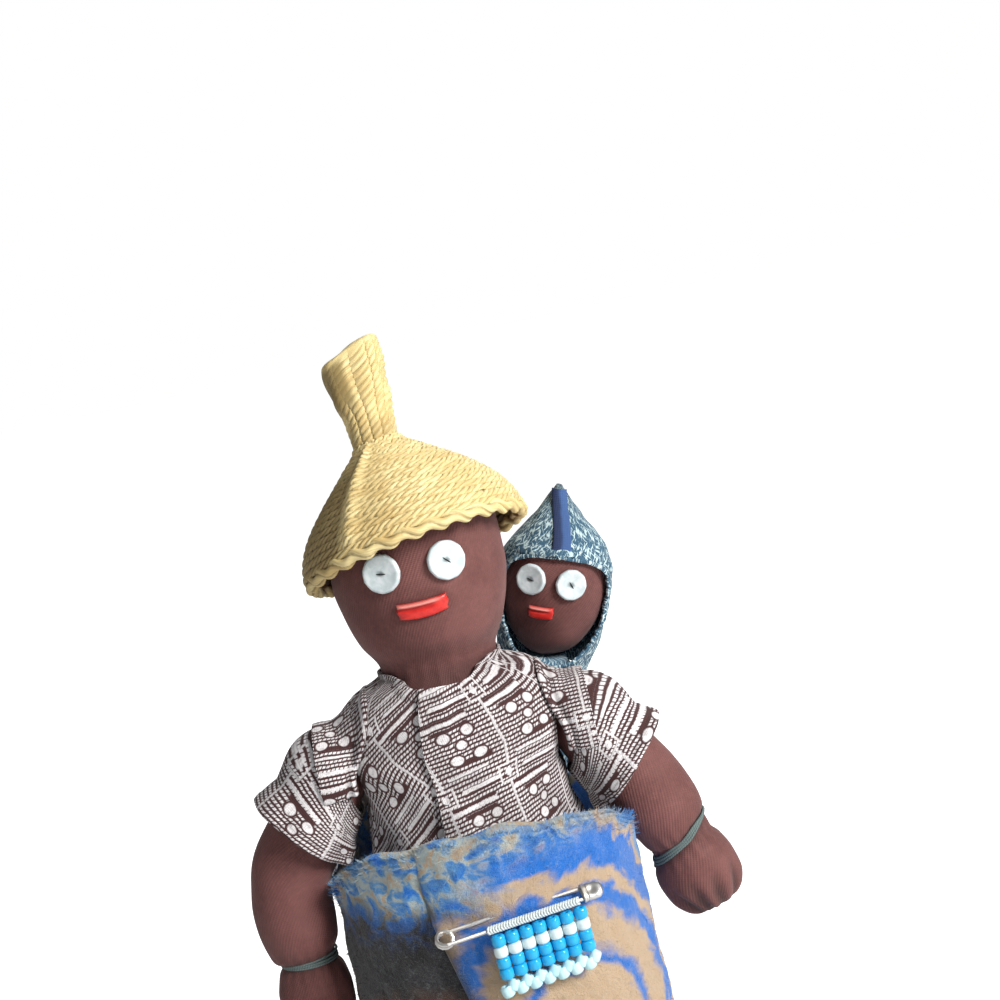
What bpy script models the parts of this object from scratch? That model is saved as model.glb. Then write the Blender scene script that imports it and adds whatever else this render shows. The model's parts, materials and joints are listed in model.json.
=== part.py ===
"""A stuffed cloth doll that carries a hooded baby on its back.

The doll wears a woven grass hat, a printed dress with short sleeves and a fleece blanket, which is
wound round the body and closed in front by a safety pin with a beaded tab. The part stands on the
card disc in its base, with the origin at the middle of the disc's underside, +Z up and -Y in front.
All sizes are in metres.
"""

import math

import bmesh
import bpy
import numpy as np
from mathutils import Euler, Matrix, Vector

# Gaps, and how far a cutter runs past what it cuts
CLEARANCE = 0.0003
CUT_OVERRUN = 0.003
SAMPLE_STEP = 0.00005

# Stuffed body: each height is measured from the one before it
CARD_THICKNESS = 0.0015
HIP_RISE = 0.0322
WAIST_RISE = 0.050
CHEST_RISE = 0.023
SHOULDER_RISE = 0.0155
NECK_RISE = 0.0185
NECK_LENGTH = 0.002
HIP_WIDTH = 0.062
HIP_DEPTH = 0.053
WAIST_WIDTH = 0.058
WAIST_DEPTH = 0.046
CHEST_WIDTH = 0.0465
CHEST_DEPTH = 0.036
SHOULDER_WIDTH = 0.058
SHOULDER_DEPTH = 0.029
NECK_WIDTH = 0.0275
NECK_DEPTH = 0.0245
# How far up from chest to shoulder the armpit lies, and how much it has widened there
ARMPIT_SHARES = (0.45, 0.12)
# How far up the slope from shoulder to neck, and how much of the shoulder is left there
SHOULDER_SLOPE_SHARES = [(0.42, 0.88), (0.76, 0.50)]

# Head
HEAD_HEIGHT = 0.0500
HEAD_WIDTH = 0.0424
HEAD_DEPTH = 0.0400
# Height up the head, and its girth there as a share of the widest
HEAD_SHARES = [
    (0.142, 0.878),
    (0.275, 0.970),
    (0.43, 1.0),
    (0.65, 0.975),
    (0.785, 0.865),
    (0.885, 0.66),
    (0.960, 0.38),
]

# Face
EYE_DIAMETER = 0.0089
EYE_THICKNESS = 0.0010
EYE_DISH_DEPTH = 0.0004
EYE_RIM_SHARE = 0.72
EYE_SPACING = 0.0149
EYE_HEIGHT_SHARE = 0.500
STITCH_HOLE_DIAMETER = 0.0011
MOUTH_WIDTH = 0.0120
MOUTH_HEIGHT = 0.0047
MOUTH_THICKNESS = 0.0013
MOUTH_CHANNEL_DEPTH = 0.0006
MOUTH_HEIGHT_SHARE = 0.304

# Arms: the drops run from the shoulder pivot straight down
ARM_WIDTH = 0.0196
ARM_DEPTH_SHARE = 0.95
PIVOT_OUT = 0.0028
PIVOT_DROP = 0.0020
RIGHT_WRIST_DROP = 0.0440
LEFT_WRIST_DROP = 0.0340
RIGHT_WRIST_WIDTH = 0.0146
LEFT_WRIST_WIDTH = 0.0158
RIGHT_HAND_WIDTH = 0.0180
LEFT_HAND_WIDTH = 0.0200
HAND_LENGTH = 0.0190
# How far behind the pivot the rings of the arm's round end lie, as shares of its radius
ARM_END_SHARES = [0.93, 0.72, 0.38]
HAND_DEPTH_SHARE = 0.82
HAND_SIDE_GAP = 0.0012
FINGERS = 4
FINGER_SHARE = 0.10
# How far down to the wrist, how far out towards the hand's line, and the girth there
RIGHT_ARM_SHARES = [
    (0.28, 0.54, 1.0),
    (0.54, 1.0, 1.01),
    (0.76, 1.07, 1.0),
    (0.92, 1.03, 0.90),
]
LEFT_ARM_SHARES = [
    (0.28, 0.48, 1.0),
    (0.54, 0.88, 1.01),
    (0.76, 1.03, 1.0),
    (0.92, 1.02, 0.90),
]
# How far down the hand, and its girth as a share of the widest
HAND_SHARES = [(0.20, 0.92), (0.42, 1.0), (0.66, 0.97), (0.86, 0.80), (0.96, 0.56)]
WRIST_BAND_WIDTH = 0.0028
WRIST_BAND_SHOULDER_SHARE = 0.6
WRIST_BAND_THICKNESS = 0.0009

# Dress: a bodice of three panels, two sleeves and a skirt
CLOTH_THICKNESS = 0.0008
BODICE_EASE = 0.0006
BODICE_HEM_DROP = 0.0010
NECKLINE_RISE = 0.0015
NECKLINE_DIP = 0.0046
NECKLINE_POINT = 8
FRONT_OPENING_TURN = -0.040
FRONT_LAP_TURN = 0.030
UNDERLAP_SHARE = 0.8
SLEEVE_EASE = 0.0009
ARMHOLE_EASE = 0.0008
SLEEVE_HEM_WIDTH = 0.0246
SLEEVE_HEM_ANGLE = math.radians(43)
SLEEVE_HEM_DROP = 0.0132
SLEEVE_MOUTH_SHARE = 0.46
SLEEVE_GUIDE_SHARE = 0.60
SLEEVE_FOLDS = 5
SLEEVE_FOLD_DEPTH = 0.0003
SKIRT_FLARE = 0.0012
SKIRT_FOLDS = 14
SKIRT_FOLD_DEPTH = 0.0006
SKIRT_HEM_HEIGHT = 0.0010

# Blanket: a fleece wound once round the body, with its outer end lapped over in front
BLANKET_THICKNESS = 0.0024
BLANKET_EASE = 0.0004
BLANKET_LAYER_GAP = 0.0006
BLANKET_HEM_HEIGHT = 0.009
BLANKET_SIDE_DROP = 0.0115
BLANKET_FRONT_RISE = 0.0100
BLANKET_BACK_RISE = 0.027
BLANKET_FLARE = 0.0016
BLANKET_TOP_DRAW_SHARE = 0.45
BLANKET_START_TURN = 0.090
BLANKET_LENGTH_TURNS = 1.155
LAP_START_TURNS = 0.80
LAP_END_TURNS = 0.97
FLAP_RECEDE_TURN = 0.075
BLANKET_FOLDS = 11
BLANKET_FOLD_DEPTH = 0.0008
BUNDLE_BLEND = 0.0025

# Hat of woven grass
HAT_RADIUS = 0.0280
HAT_CROWN_HEIGHT = 0.0275
HAT_WALL = 0.0010
HAT_TILT_BACK = math.radians(15)
HAT_LEAN = math.radians(-9.4)
HAT_OFFSET = 0.0010
HAT_NECK_RADIUS = 0.0056
# Height up the crown, and the radius there between the neck's (0) and the brim's (1)
HAT_SHARES = [
    (0.0, 1.0),
    (0.14, 0.95),
    (0.31, 0.84),
    (0.54, 0.60),
    (0.80, 0.24),
    (0.94, 0.04),
    (1.0, 0.0),
]
BRIM_EDGE_THICKNESS = 0.0028
BRIM_EDGE_BUMPS = 27
BRIM_EDGE_WAVE = 0.0004
TOPKNOT_HEIGHT = 0.0245
TOPKNOT_WIDTH = 0.0152
TOPKNOT_DEPTH = 0.0105
TOPKNOT_OFFSET = 0.0012
TOPKNOT_SLANT = math.radians(7)
TOPKNOT_TOP_SLOPE = 0.23
TOPKNOT_CORNER_POWER = 3.2
# Height up the topknot, and its girth between the hat's neck (0) and the widest (1)
TOPKNOT_SHARES = [(0.0, 0.0), (0.14, 0.02), (0.32, 0.22), (0.58, 0.80), (0.78, 1.0), (0.93, 0.90)]
TOPKNOT_CROWN_SHARE = 0.62

# Baby: its own frame has +Z up its back, and its origin at the middle of its head
BABY_HEAD_WIDTH = 0.0256
BABY_HEAD_DEPTH = 0.0232
BABY_HEAD_HEIGHT = 0.0330
BABY_HEAD_POWER = 2.4
BABY_LEAN = math.radians(19)
BABY_NOD = math.radians(8)
BABY_SIDE_ANGLE = math.radians(42)
BABY_HAT_GAP = 0.0006
BABY_HEIGHT_ABOVE_SHOULDER = 0.0278
BABY_EYE_DIAMETER = 0.0073
BABY_EYE_SPACING = 0.0097
BABY_EYE_RISE = 0.0030
BABY_MOUTH_WIDTH = 0.0060
BABY_MOUTH_HEIGHT = 0.0032
BABY_MOUTH_DROP = 0.0052
BABY_BODY_LENGTH = 0.0560
BABY_BODY_WIDTH = 0.0225
BABY_BODY_DEPTH = 0.0232
# How far down the baby's body, and its girth as a share of the widest
BABY_BODY_SHARES = [
    (0.0, 0.55),
    (0.10, 0.86),
    (0.28, 1.0),
    (0.60, 0.94),
    (0.86, 0.74),
    (0.97, 0.46),
    (1.0, 0.2),
]
HOOD_THICKNESS = 0.0010
HOOD_EASE = 0.0004
HOOD_TIP_RISE = 0.0270
HOOD_DROP = 0.0200
HOOD_TIP_RADIUS = 0.0012
HOOD_BROW_RISE = 0.0095
HOOD_OPENING_WIDTH = 0.0226
HOOD_STRIP_TOP_WIDTH = 0.0030
HOOD_STRIP_FOOT_WIDTH = 0.0058
HOOD_STRIP_THICKNESS = 0.0005
# Height up the hood from its hem to its tip, and its girth as a share of the widest
HOOD_SHARES = [
    (0.0, 0.86),
    (0.20, 0.96),
    (0.42, 1.0),
    (0.58, 0.96),
    (0.70, 0.80),
    (0.82, 0.54),
    (0.92, 0.27),
]

# Safety pin and beaded tab: the pin's own frame has +X from its coil to its cap
PIN_LENGTH = 0.0385
WIRE_DIAMETER = 0.0009
COIL_RADIUS = 0.0019
COIL_TURNS = 1.5
COIL_PITCH = 0.00136
PIN_HEIGHT = 0.0889
PIN_TURN = 0.035
PIN_RISE = math.radians(1.5)
PIN_ROLL = math.radians(42)
PIN_COIL_SHARE = 0.57
CAP_SPREAD = 0.0026
CAP_LENGTH = 0.0040
CAP_WALL = 0.0004
CAP_POWER = 4
# How far along the cap its rings lie, and how much its end narrows
CAP_SHARES = [0, 0.45, 0.8, 1]
CAP_NARROWING = 0.75
NEEDLE_DEPTH = 0.0008
NEEDLE_PRESS = math.radians(2.0)
NEEDLE_TUNNEL_GAP = 0.0004
PINCH_HEIGHT = 0.0016
PINCH_SPREAD = 0.0075
PINCH_SLIMNESS = 1.4
BEAD_COLUMNS = 7
BEAD_ROWS = 4
BEAD_WIDTH = 0.0032
BEAD_LENGTH = 0.0023
BEAD_GAP = 0.0001
BEAD_POWER = 2.6
THREAD_DIAMETER = 0.0006
TAB_DROP = 0.0022
TAB_START_SHARE = 0.265
LASHING_TURNS = 6
FRINGE_DROP = 0.0032
FRINGE_BEAD_DIAMETER = 0.0024
# Places across a fringe bead, as shares of the way to its neck
FRINGE_SHARES = [-0.9, 0, 0.9]

# Facets round and along the pieces
ROUND_BODY = 32
ROUND_LIMB = 20
ROUND_DISC = 14
ROUND_WIRE = 6
ROWS_BODY = 13
BLANKET_STEPS_PER_TURN = 44
COIL_STEPS_PER_TURN = 12
LASHING_STEPS_PER_TURN = 8
BLANKET_ROWS = 10

MATERIALS = {
    "skin": ((0.13, 0.055, 0.050, 1), 0.85, 0.0),
    "print": ((0.30, 0.22, 0.22, 1), 0.85, 0.0),
    "fleece": ((0.10, 0.25, 0.52, 1), 0.95, 0.0),
    "grass": ((0.72, 0.55, 0.26, 1), 0.75, 0.0),
    "disc": ((0.80, 0.86, 0.86, 1), 0.35, 0.0),
    "red": ((0.72, 0.04, 0.03, 1), 0.35, 0.0),
    "thread": ((0.16, 0.20, 0.20, 1), 0.80, 0.0),
    "card": ((0.42, 0.33, 0.22, 1), 0.90, 0.0),
    "hood": ((0.20, 0.36, 0.46, 1), 0.85, 0.0),
    "strip": ((0.07, 0.13, 0.30, 1), 0.85, 0.0),
    "baby_cloth": ((0.32, 0.50, 0.62, 1), 0.85, 0.0),
    "nickel": ((0.80, 0.80, 0.80, 1), 0.25, 1.0),
    "blue_bead": ((0.02, 0.42, 0.80, 1), 0.20, 0.0),
    "white_bead": ((0.80, 0.95, 0.97, 1), 0.15, 0.0),
    "white_thread": ((0.85, 0.88, 0.88, 1), 0.70, 0.0),
}


def read_stations(stations, place):
    """Read the later columns of a table at one place, on a smooth curve that never overshoots."""
    table = np.array(stations, dtype=float)
    knots, values = table[:, 0], table[:, 1:]
    place = min(max(place, knots[0]), knots[-1])
    steps = np.diff(knots)
    slopes = np.diff(values, axis=0) / steps[:, None]
    tangents = np.zeros_like(values)
    tangents[0], tangents[-1] = slopes[0], slopes[-1]
    before, after = slopes[:-1], slopes[1:]
    same_way = before * after > 0
    total = np.where(same_way, before + after, 1)
    tangents[1:-1] = np.where(same_way, 2 * before * after / total, 0)
    i = int(min(max(np.searchsorted(knots, place) - 1, 0), len(steps) - 1))
    t = (place - knots[i]) / steps[i]
    square, cube = t * t, t * t * t
    start_weight, end_weight = 2 * cube - 3 * square + 1, 3 * square - 2 * cube
    leave_weight, arrive_weight = cube - 2 * square + t, cube - square
    read = start_weight * values[i] + end_weight * values[i + 1]
    read += steps[i] * (leave_weight * tangents[i] + arrive_weight * tangents[i + 1])
    return [float(value) for value in read]


def ease(share):
    """Run smoothly from 0 to 1 as the share does."""
    share = min(max(share, 0), 1)
    return share * share * (3 - 2 * share)


def even_steps(first, last, count):
    """Give count + 1 evenly spaced places from first to last."""
    return [first + (last - first) * i / count for i in range(count + 1)]


def finish(name, slot):
    """Make one piece's own material, from the finish that it shares with like pieces."""
    colour, roughness, metallic = MATERIALS[slot]
    made = bpy.data.materials.new(f"{name}_finish")
    made.use_nodes = True
    shader = made.node_tree.nodes["Principled BSDF"]
    shader.inputs["Base Color"].default_value = colour
    shader.inputs["Roughness"].default_value = roughness
    shader.inputs["Metallic"].default_value = metallic
    made.diffuse_color = colour
    return made


def frame_empty(name, place, turn=None, parent=None):
    """Place an empty that carries the pieces of one sub-assembly."""
    empty = bpy.data.objects.new(name, None)
    bpy.context.scene.collection.objects.link(empty)
    empty.location = place
    empty.rotation_euler = turn or Euler((0, 0, 0))
    empty.parent = parent
    return empty


def add_piece(name, bm, slot, parent=None):
    """Turn a finished bmesh into a named object with its own material."""
    bmesh.ops.recalc_face_normals(bm, faces=bm.faces)
    if bm.calc_volume(signed=True) < 0:
        bmesh.ops.reverse_faces(bm, faces=bm.faces)
    mesh = bpy.data.meshes.new(name)
    bm.to_mesh(mesh)
    bm.free()
    mesh.shade_smooth()
    mesh.set_sharp_from_angle(angle=math.radians(50))
    piece = bpy.data.objects.new(name, mesh)
    piece.data.materials.append(finish(name, slot))
    bpy.context.scene.collection.objects.link(piece)
    piece.parent = parent
    return piece


def cut(piece, cutter, operation="DIFFERENCE"):
    """Cut one piece by a cutter, which is then kept as a guide only."""
    step = piece.modifiers.new(f"{cutter.name}_{operation.lower()}", "BOOLEAN")
    step.operation = operation
    step.solver = "EXACT"
    step.object = cutter
    cutter.hide_render = True
    cutter.display_type = "WIRE"


def fill_end(bm, ring, tip=None):
    """Close a ring of corners with a fan to its middle, or to a tip."""
    middle = tip or sum((v.co for v in ring), Vector()) / len(ring)
    centre = bm.verts.new(middle)
    for i, corner in enumerate(ring):
        bm.faces.new((corner, ring[(i + 1) % len(ring)], centre))


def bridge(bm, first, second, closed=True):
    """Join two rows of corners with quads."""
    count = len(first) if closed else len(first) - 1
    for i in range(count):
        j = (i + 1) % len(first)
        bm.faces.new((first[i], first[j], second[j], second[i]))


def solid_of_rings(rings, first_tip=None, last_tip=None):
    """Loft a solid through rings of points, closed at both ends."""
    bm = bmesh.new()
    rows = [[bm.verts.new(point) for point in ring] for ring in rings]
    for below, above in zip(rows, rows[1:]):
        bridge(bm, below, above)
    fill_end(bm, rows[0], first_tip)
    fill_end(bm, rows[-1], last_tip)
    return bm


def shell_of_grids(outer, inner, closed):
    """Make a wall between two grids of points, with its rims filled."""
    bm = bmesh.new()
    far = [[bm.verts.new(point) for point in row] for row in outer]
    near = [[bm.verts.new(point) for point in row] for row in inner]
    for rows in (far, near):
        for below, above in zip(rows, rows[1:]):
            bridge(bm, below, above, closed)
    bridge(bm, far[0], near[0], closed)
    bridge(bm, far[-1], near[-1], closed)
    if not closed:
        for column in (0, -1):
            bridge(bm, [row[column] for row in far], [row[column] for row in near], False)
    return bm


def ball(name, centre, radius):
    """Place a round cutter."""
    bm = bmesh.new()
    bmesh.ops.create_uvsphere(bm, u_segments=ROUND_BODY, v_segments=ROUND_BODY // 2, radius=radius)
    cutter = add_piece(name, bm, "thread")
    cutter.location = centre
    return cutter


def swept_tube(points, radius, sides=ROUND_WIRE):
    """Sweep a round wire through points, turning its rings as little as possible."""
    points = [Vector(point) for point in points]
    rings = []
    normal = None
    for i, point in enumerate(points):
        ahead = points[min(i + 1, len(points) - 1)] - points[max(i - 1, 0)]
        ahead.normalize()
        if normal is None:
            normal = ahead.orthogonal()
        normal = (normal - ahead * normal.dot(ahead)).normalized()
        side = ahead.cross(normal)
        turns = even_steps(0, math.tau, sides)[:-1]
        rings.append([point + radius * (math.cos(a) * normal + math.sin(a) * side) for a in turns])
    return solid_of_rings(rings)


def report_gap(name, points, diameter, steps_per_turn):
    """Print the least gap that a wound wire or thread keeps to itself, measured on its points."""
    apart = steps_per_turn // 2
    gaps = [(a - b).length for i, a in enumerate(points) for b in points[i + apart :]]
    print(f"{name}: least gap to itself {(min(gaps) - diameter) * 1000:.2f} mm")


def round_point(turn, half_width, half_depth, height):
    """Give the point of an oval section; turn 0 is the front and 0.25 the doll's left."""
    angle = turn * math.tau
    return Vector((half_width * math.sin(angle), -half_depth * math.cos(angle), height))


def pushed_out(surface, turn, height, distance):
    """Move a point of a surface along its outward normal."""
    step = SAMPLE_STEP
    tiny_turn = step / HIP_WIDTH
    point = surface(turn, height)
    across = surface(turn + tiny_turn, height) - surface(turn - tiny_turn, height)
    upward = surface(turn, height + step) - surface(turn, height - step)
    return point + across.cross(upward).normalized() * distance


def wrapped_panel(surface, turns, heights_at, inner_at, outer_at):
    """Grids of a panel that lies on a surface, between two distances from it."""
    inner, outer = [], []
    for share in even_steps(0, 1, len(heights_at(turns[0])) - 1):
        near_row, far_row = [], []
        for turn in turns:
            heights = heights_at(turn)
            height = heights[round(share * (len(heights) - 1))]
            near_row.append(pushed_out(surface, turn, height, inner_at(turn, share)))
            far_row.append(pushed_out(surface, turn, height, outer_at(turn, share)))
        inner.append(near_row)
        outer.append(far_row)
    return outer, inner


# Heights up the stuffed body
BASE_Z = CARD_THICKNESS + CLEARANCE
HIP_Z = BASE_Z + HIP_RISE
WAIST_Z = HIP_Z + WAIST_RISE
CHEST_Z = WAIST_Z + CHEST_RISE
SHOULDER_Z = CHEST_Z + SHOULDER_RISE
NECK_Z = SHOULDER_Z + NECK_RISE
NECK_TOP_Z = NECK_Z + NECK_LENGTH
CROWN_Z = NECK_TOP_Z + HEAD_HEIGHT


def body_stations():
    """Heights, half widths and half depths from the base to the top of the neck."""
    rows = [
        (BASE_Z, HIP_WIDTH / 2, HIP_DEPTH / 2),
        (HIP_Z, HIP_WIDTH / 2, HIP_DEPTH / 2),
        (WAIST_Z, WAIST_WIDTH / 2, WAIST_DEPTH / 2),
        (CHEST_Z, CHEST_WIDTH / 2, CHEST_DEPTH / 2),
    ]
    climb, widened = ARMPIT_SHARES
    width = CHEST_WIDTH + (SHOULDER_WIDTH - CHEST_WIDTH) * widened
    depth = CHEST_DEPTH + (SHOULDER_DEPTH - CHEST_DEPTH) * climb
    rows.append((CHEST_Z + SHOULDER_RISE * climb, width / 2, depth / 2))
    rows.append((SHOULDER_Z, SHOULDER_WIDTH / 2, SHOULDER_DEPTH / 2))
    for climb, left in SHOULDER_SLOPE_SHARES:
        width = NECK_WIDTH + (SHOULDER_WIDTH - NECK_WIDTH) * left
        depth = NECK_DEPTH + (SHOULDER_DEPTH - NECK_DEPTH) * left
        rows.append((SHOULDER_Z + NECK_RISE * climb, width / 2, depth / 2))
    rows.append((NECK_Z, NECK_WIDTH / 2, NECK_DEPTH / 2))
    rows.append((NECK_TOP_Z, NECK_WIDTH / 2, NECK_DEPTH / 2))
    return rows


BODY_STATIONS = body_stations()


def body_surface(turn, height):
    """The skin of the stuffed body."""
    half_width, half_depth = read_stations(BODY_STATIONS, height)
    return round_point(turn, half_width, half_depth, height)


def head_stations():
    """Heights, half widths and half depths of the head, from its seam at the neck to its crown."""
    rows = [
        (NECK_Z + CLEARANCE, NECK_WIDTH / 2, NECK_DEPTH / 2),
        (NECK_TOP_Z, NECK_WIDTH / 2, NECK_DEPTH / 2),
    ]
    for climb, girth in HEAD_SHARES:
        height = NECK_TOP_Z + HEAD_HEIGHT * climb
        rows.append((height, HEAD_WIDTH / 2 * girth, HEAD_DEPTH / 2 * girth))
    return rows


HEAD_STATIONS = head_stations()


def head_surface(turn, height):
    """The skin of the head."""
    half_width, half_depth = read_stations(HEAD_STATIONS, height)
    return round_point(turn, half_width, half_depth, height)


# Shoulder pivots, about which each arm and its sleeve turn
PIVOT_X = SHOULDER_WIDTH / 2 + PIVOT_OUT
PIVOT_Z = SHOULDER_Z - PIVOT_DROP
ARM_BALL_RADIUS = ARM_WIDTH / 2
SLEEVE_BALL_INNER = ARM_BALL_RADIUS + SLEEVE_EASE
SLEEVE_BALL_OUTER = SLEEVE_BALL_INNER + CLOTH_THICKNESS
ARMHOLE_RADIUS = SLEEVE_BALL_OUTER + ARMHOLE_EASE
SIDES = {"right": -1, "left": 1}
WRIST_DROPS = {"right": RIGHT_WRIST_DROP, "left": LEFT_WRIST_DROP}
WRIST_WIDTHS = {"right": RIGHT_WRIST_WIDTH, "left": LEFT_WRIST_WIDTH}
HAND_WIDTHS = {"right": RIGHT_HAND_WIDTH, "left": LEFT_HAND_WIDTH}
ARM_SHARES = {"right": RIGHT_ARM_SHARES, "left": LEFT_ARM_SHARES}

# Skirt and blanket, layer by layer outwards from the body
SKIRT_INNER = CLEARANCE
SKIRT_OUTER = SKIRT_INNER + CLOTH_THICKNESS
SKIRT_REACH = SKIRT_OUTER + SKIRT_FLARE + SKIRT_FOLD_DEPTH
BODICE_HEM_Z = WAIST_Z - BODICE_HEM_DROP
SKIRT_TOP_Z = BODICE_HEM_Z - CLEARANCE
BODICE_REACH = BODICE_EASE + 2 * CLOTH_THICKNESS + CLEARANCE
WRAP_HALF_WIDTH = HIP_WIDTH / 2 + SKIRT_REACH + BLANKET_EASE
WRAP_HALF_DEPTH = HIP_DEPTH / 2 + SKIRT_REACH + BLANKET_EASE
WRAP_OUTER_HALF_WIDTH = WRAP_HALF_WIDTH + BLANKET_THICKNESS
BLANKET_TOP_Z = CHEST_Z - BLANKET_SIDE_DROP
BLANKET_LAP = BLANKET_THICKNESS + BLANKET_LAYER_GAP


def stand(name):
    """The card disc that closes the base and carries the doll."""
    turns = even_steps(0, 1, ROUND_BODY)[:-1]
    rings = [
        [round_point(turn, HIP_WIDTH / 2, HIP_DEPTH / 2, height) for turn in turns]
        for height in (0, CARD_THICKNESS)
    ]
    bm = bmesh.new()
    low, high = [[bm.verts.new(point) for point in ring] for ring in rings]
    bridge(bm, low, high)
    bm.faces.new(low)
    bm.faces.new(high)
    add_piece(name, bm, "card")


def torso(name, armholes):
    """The stuffed body, hollowed at the shoulders for the arms."""
    turns = even_steps(0, 1, ROUND_BODY)[:-1]
    heights = even_steps(BASE_Z, WAIST_Z, ROWS_BODY // 3)
    heights += even_steps(WAIST_Z, NECK_Z, ROWS_BODY - ROWS_BODY // 3)[1:]
    rings = [[body_surface(turn, height) for turn in turns] for height in heights]
    body = add_piece(name, solid_of_rings(rings), "skin")
    for armhole in armholes:
        cut(body, armhole)


def head(name):
    """The stuffed head, from the neck seam up into the hat."""
    turns = even_steps(0, 1, ROUND_BODY)[:-1]
    top = HEAD_STATIONS[-1][0]
    heights = [NECK_Z + CLEARANCE] + even_steps(NECK_TOP_Z, top, ROWS_BODY - 1)
    rings = [[head_surface(turn, height) for turn in turns] for height in heights]
    add_piece(name, solid_of_rings(rings, last_tip=Vector((0, 0, CROWN_Z))), "skin")


def turn_at(surface, height, across):
    """Find the turn at which a surface lies a given way to the doll's left of its middle."""
    half_width = surface(0.25, height).x
    return math.asin(min(max(across / half_width, -1), 1)) / math.tau


def facing_matrix(point, normal, up):
    """Axes of a flat piece that lies on a surface: its own +Y runs out along the normal."""
    outward = normal.normalized()
    side = outward.cross(up).normalized()
    upward = side.cross(outward)
    return Matrix.Translation(point) @ Matrix((side, outward, upward)).transposed().to_4x4()


def sewn_disc(name, diameter, seat, parent=None):
    """A white disc with a sunk middle and a hole for the thread that holds it."""
    radius = diameter / 2
    hole = STITCH_HOLE_DIAMETER / 2
    rim = radius * EYE_RIM_SHARE
    floor_y = EYE_THICKNESS - EYE_DISH_DEPTH
    profile = [
        (hole, 0),
        (hole, floor_y),
        (rim * EYE_RIM_SHARE, floor_y),
        (rim, EYE_THICKNESS),
        (radius * math.sqrt(EYE_RIM_SHARE), EYE_THICKNESS),
        (radius, EYE_THICKNESS / 2),
        (radius, 0),
    ]
    bm = bmesh.new()
    rows = []
    for turn in even_steps(0, 1, ROUND_DISC)[:-1]:
        angle = turn * math.tau
        rows.append([bm.verts.new((r * math.cos(angle), y, r * math.sin(angle))) for r, y in profile])
    for first, second in zip(rows, rows[1:] + rows[:1]):
        bridge(bm, first, second)
    disc = add_piece(name, bm, "disc", parent)
    disc.matrix_local = seat


def face_seat(surface, height, across, diameter):
    """Seat a disc on a face: it touches where the cloth stands proudest under it."""
    turn = turn_at(surface, height, across)
    point = surface(turn, height)
    normal = pushed_out(surface, turn, height, CLEARANCE) - point
    seat = facing_matrix(point, normal, Vector((0, 0, 1)))
    return seat @ Matrix.Translation(Vector((0, CLEARANCE, 0)))


def mouth(name, surface, height, width, depth, bottom, top, parent=None):
    """A red strip that follows the face, with a channel along it."""
    reach = turn_at(surface, height, width / 2)
    turns = even_steps(-reach, reach, 5)
    heights = even_steps(bottom, top, 4)

    def outer_at(turn, share):
        """The strip swells between its two rims."""
        swell = MOUTH_CHANNEL_DEPTH * math.cos(share * math.tau * 3 / 2) ** 2
        return CLEARANCE + depth - MOUTH_CHANNEL_DEPTH + swell

    outer, inner = wrapped_panel(
        surface, turns, lambda turn: heights, lambda turn, share: CLEARANCE, outer_at
    )
    add_piece(name, shell_of_grids(outer, inner, False), "red", parent)


def face():
    """Two eyes and a mouth, sewn on the head."""
    eye_z = NECK_TOP_Z + HEAD_HEIGHT * EYE_HEIGHT_SHARE
    for side, sign in SIDES.items():
        seat = face_seat(head_surface, eye_z, sign * EYE_SPACING / 2, EYE_DIAMETER)
        sewn_disc(f"{side}_eye", EYE_DIAMETER, seat)
    mouth_z = NECK_TOP_Z + HEAD_HEIGHT * MOUTH_HEIGHT_SHARE
    bottom, top = mouth_z - MOUTH_HEIGHT / 2, mouth_z + MOUTH_HEIGHT / 2
    mouth("mouth", head_surface, mouth_z, MOUTH_WIDTH, MOUTH_THICKNESS, bottom, top)


def hand_out(side):
    """How far out from the pivot the hand hangs, so that it clears the blanket."""
    return WRAP_OUTER_HALF_WIDTH + HAND_WIDTHS[side] / 2 + HAND_SIDE_GAP - PIVOT_X


def arm_stations(side):
    """Drops below the pivot, distances out and half widths, down to the fingertips."""
    drop, out = WRIST_DROPS[side], hand_out(side)
    half_arm, half_wrist = ARM_WIDTH / 2, WRIST_WIDTHS[side] / 2
    rows = [(0, 0, half_arm)]
    rows += [(drop * s, out * o, half_arm * girth) for s, o, girth in ARM_SHARES[side]]
    rows.append((drop, out, half_wrist))
    for s, girth in HAND_SHARES:
        rows.append((drop + HAND_LENGTH * s, out, HAND_WIDTHS[side] / 2 * girth))
    return rows


def arm_middle(side, drop):
    """The arm's middle line in the pivot's frame, and its half width there."""
    out, half_width = read_stations(arm_stations(side), drop)
    return Vector((SIDES[side] * out, 0, -drop)), half_width


def arm_direction(side, drop):
    """The way that the arm's middle line runs."""
    first, _ = arm_middle(side, max(drop - SAMPLE_STEP, 0))
    second, _ = arm_middle(side, drop + SAMPLE_STEP)
    return (second - first).normalized()


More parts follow.
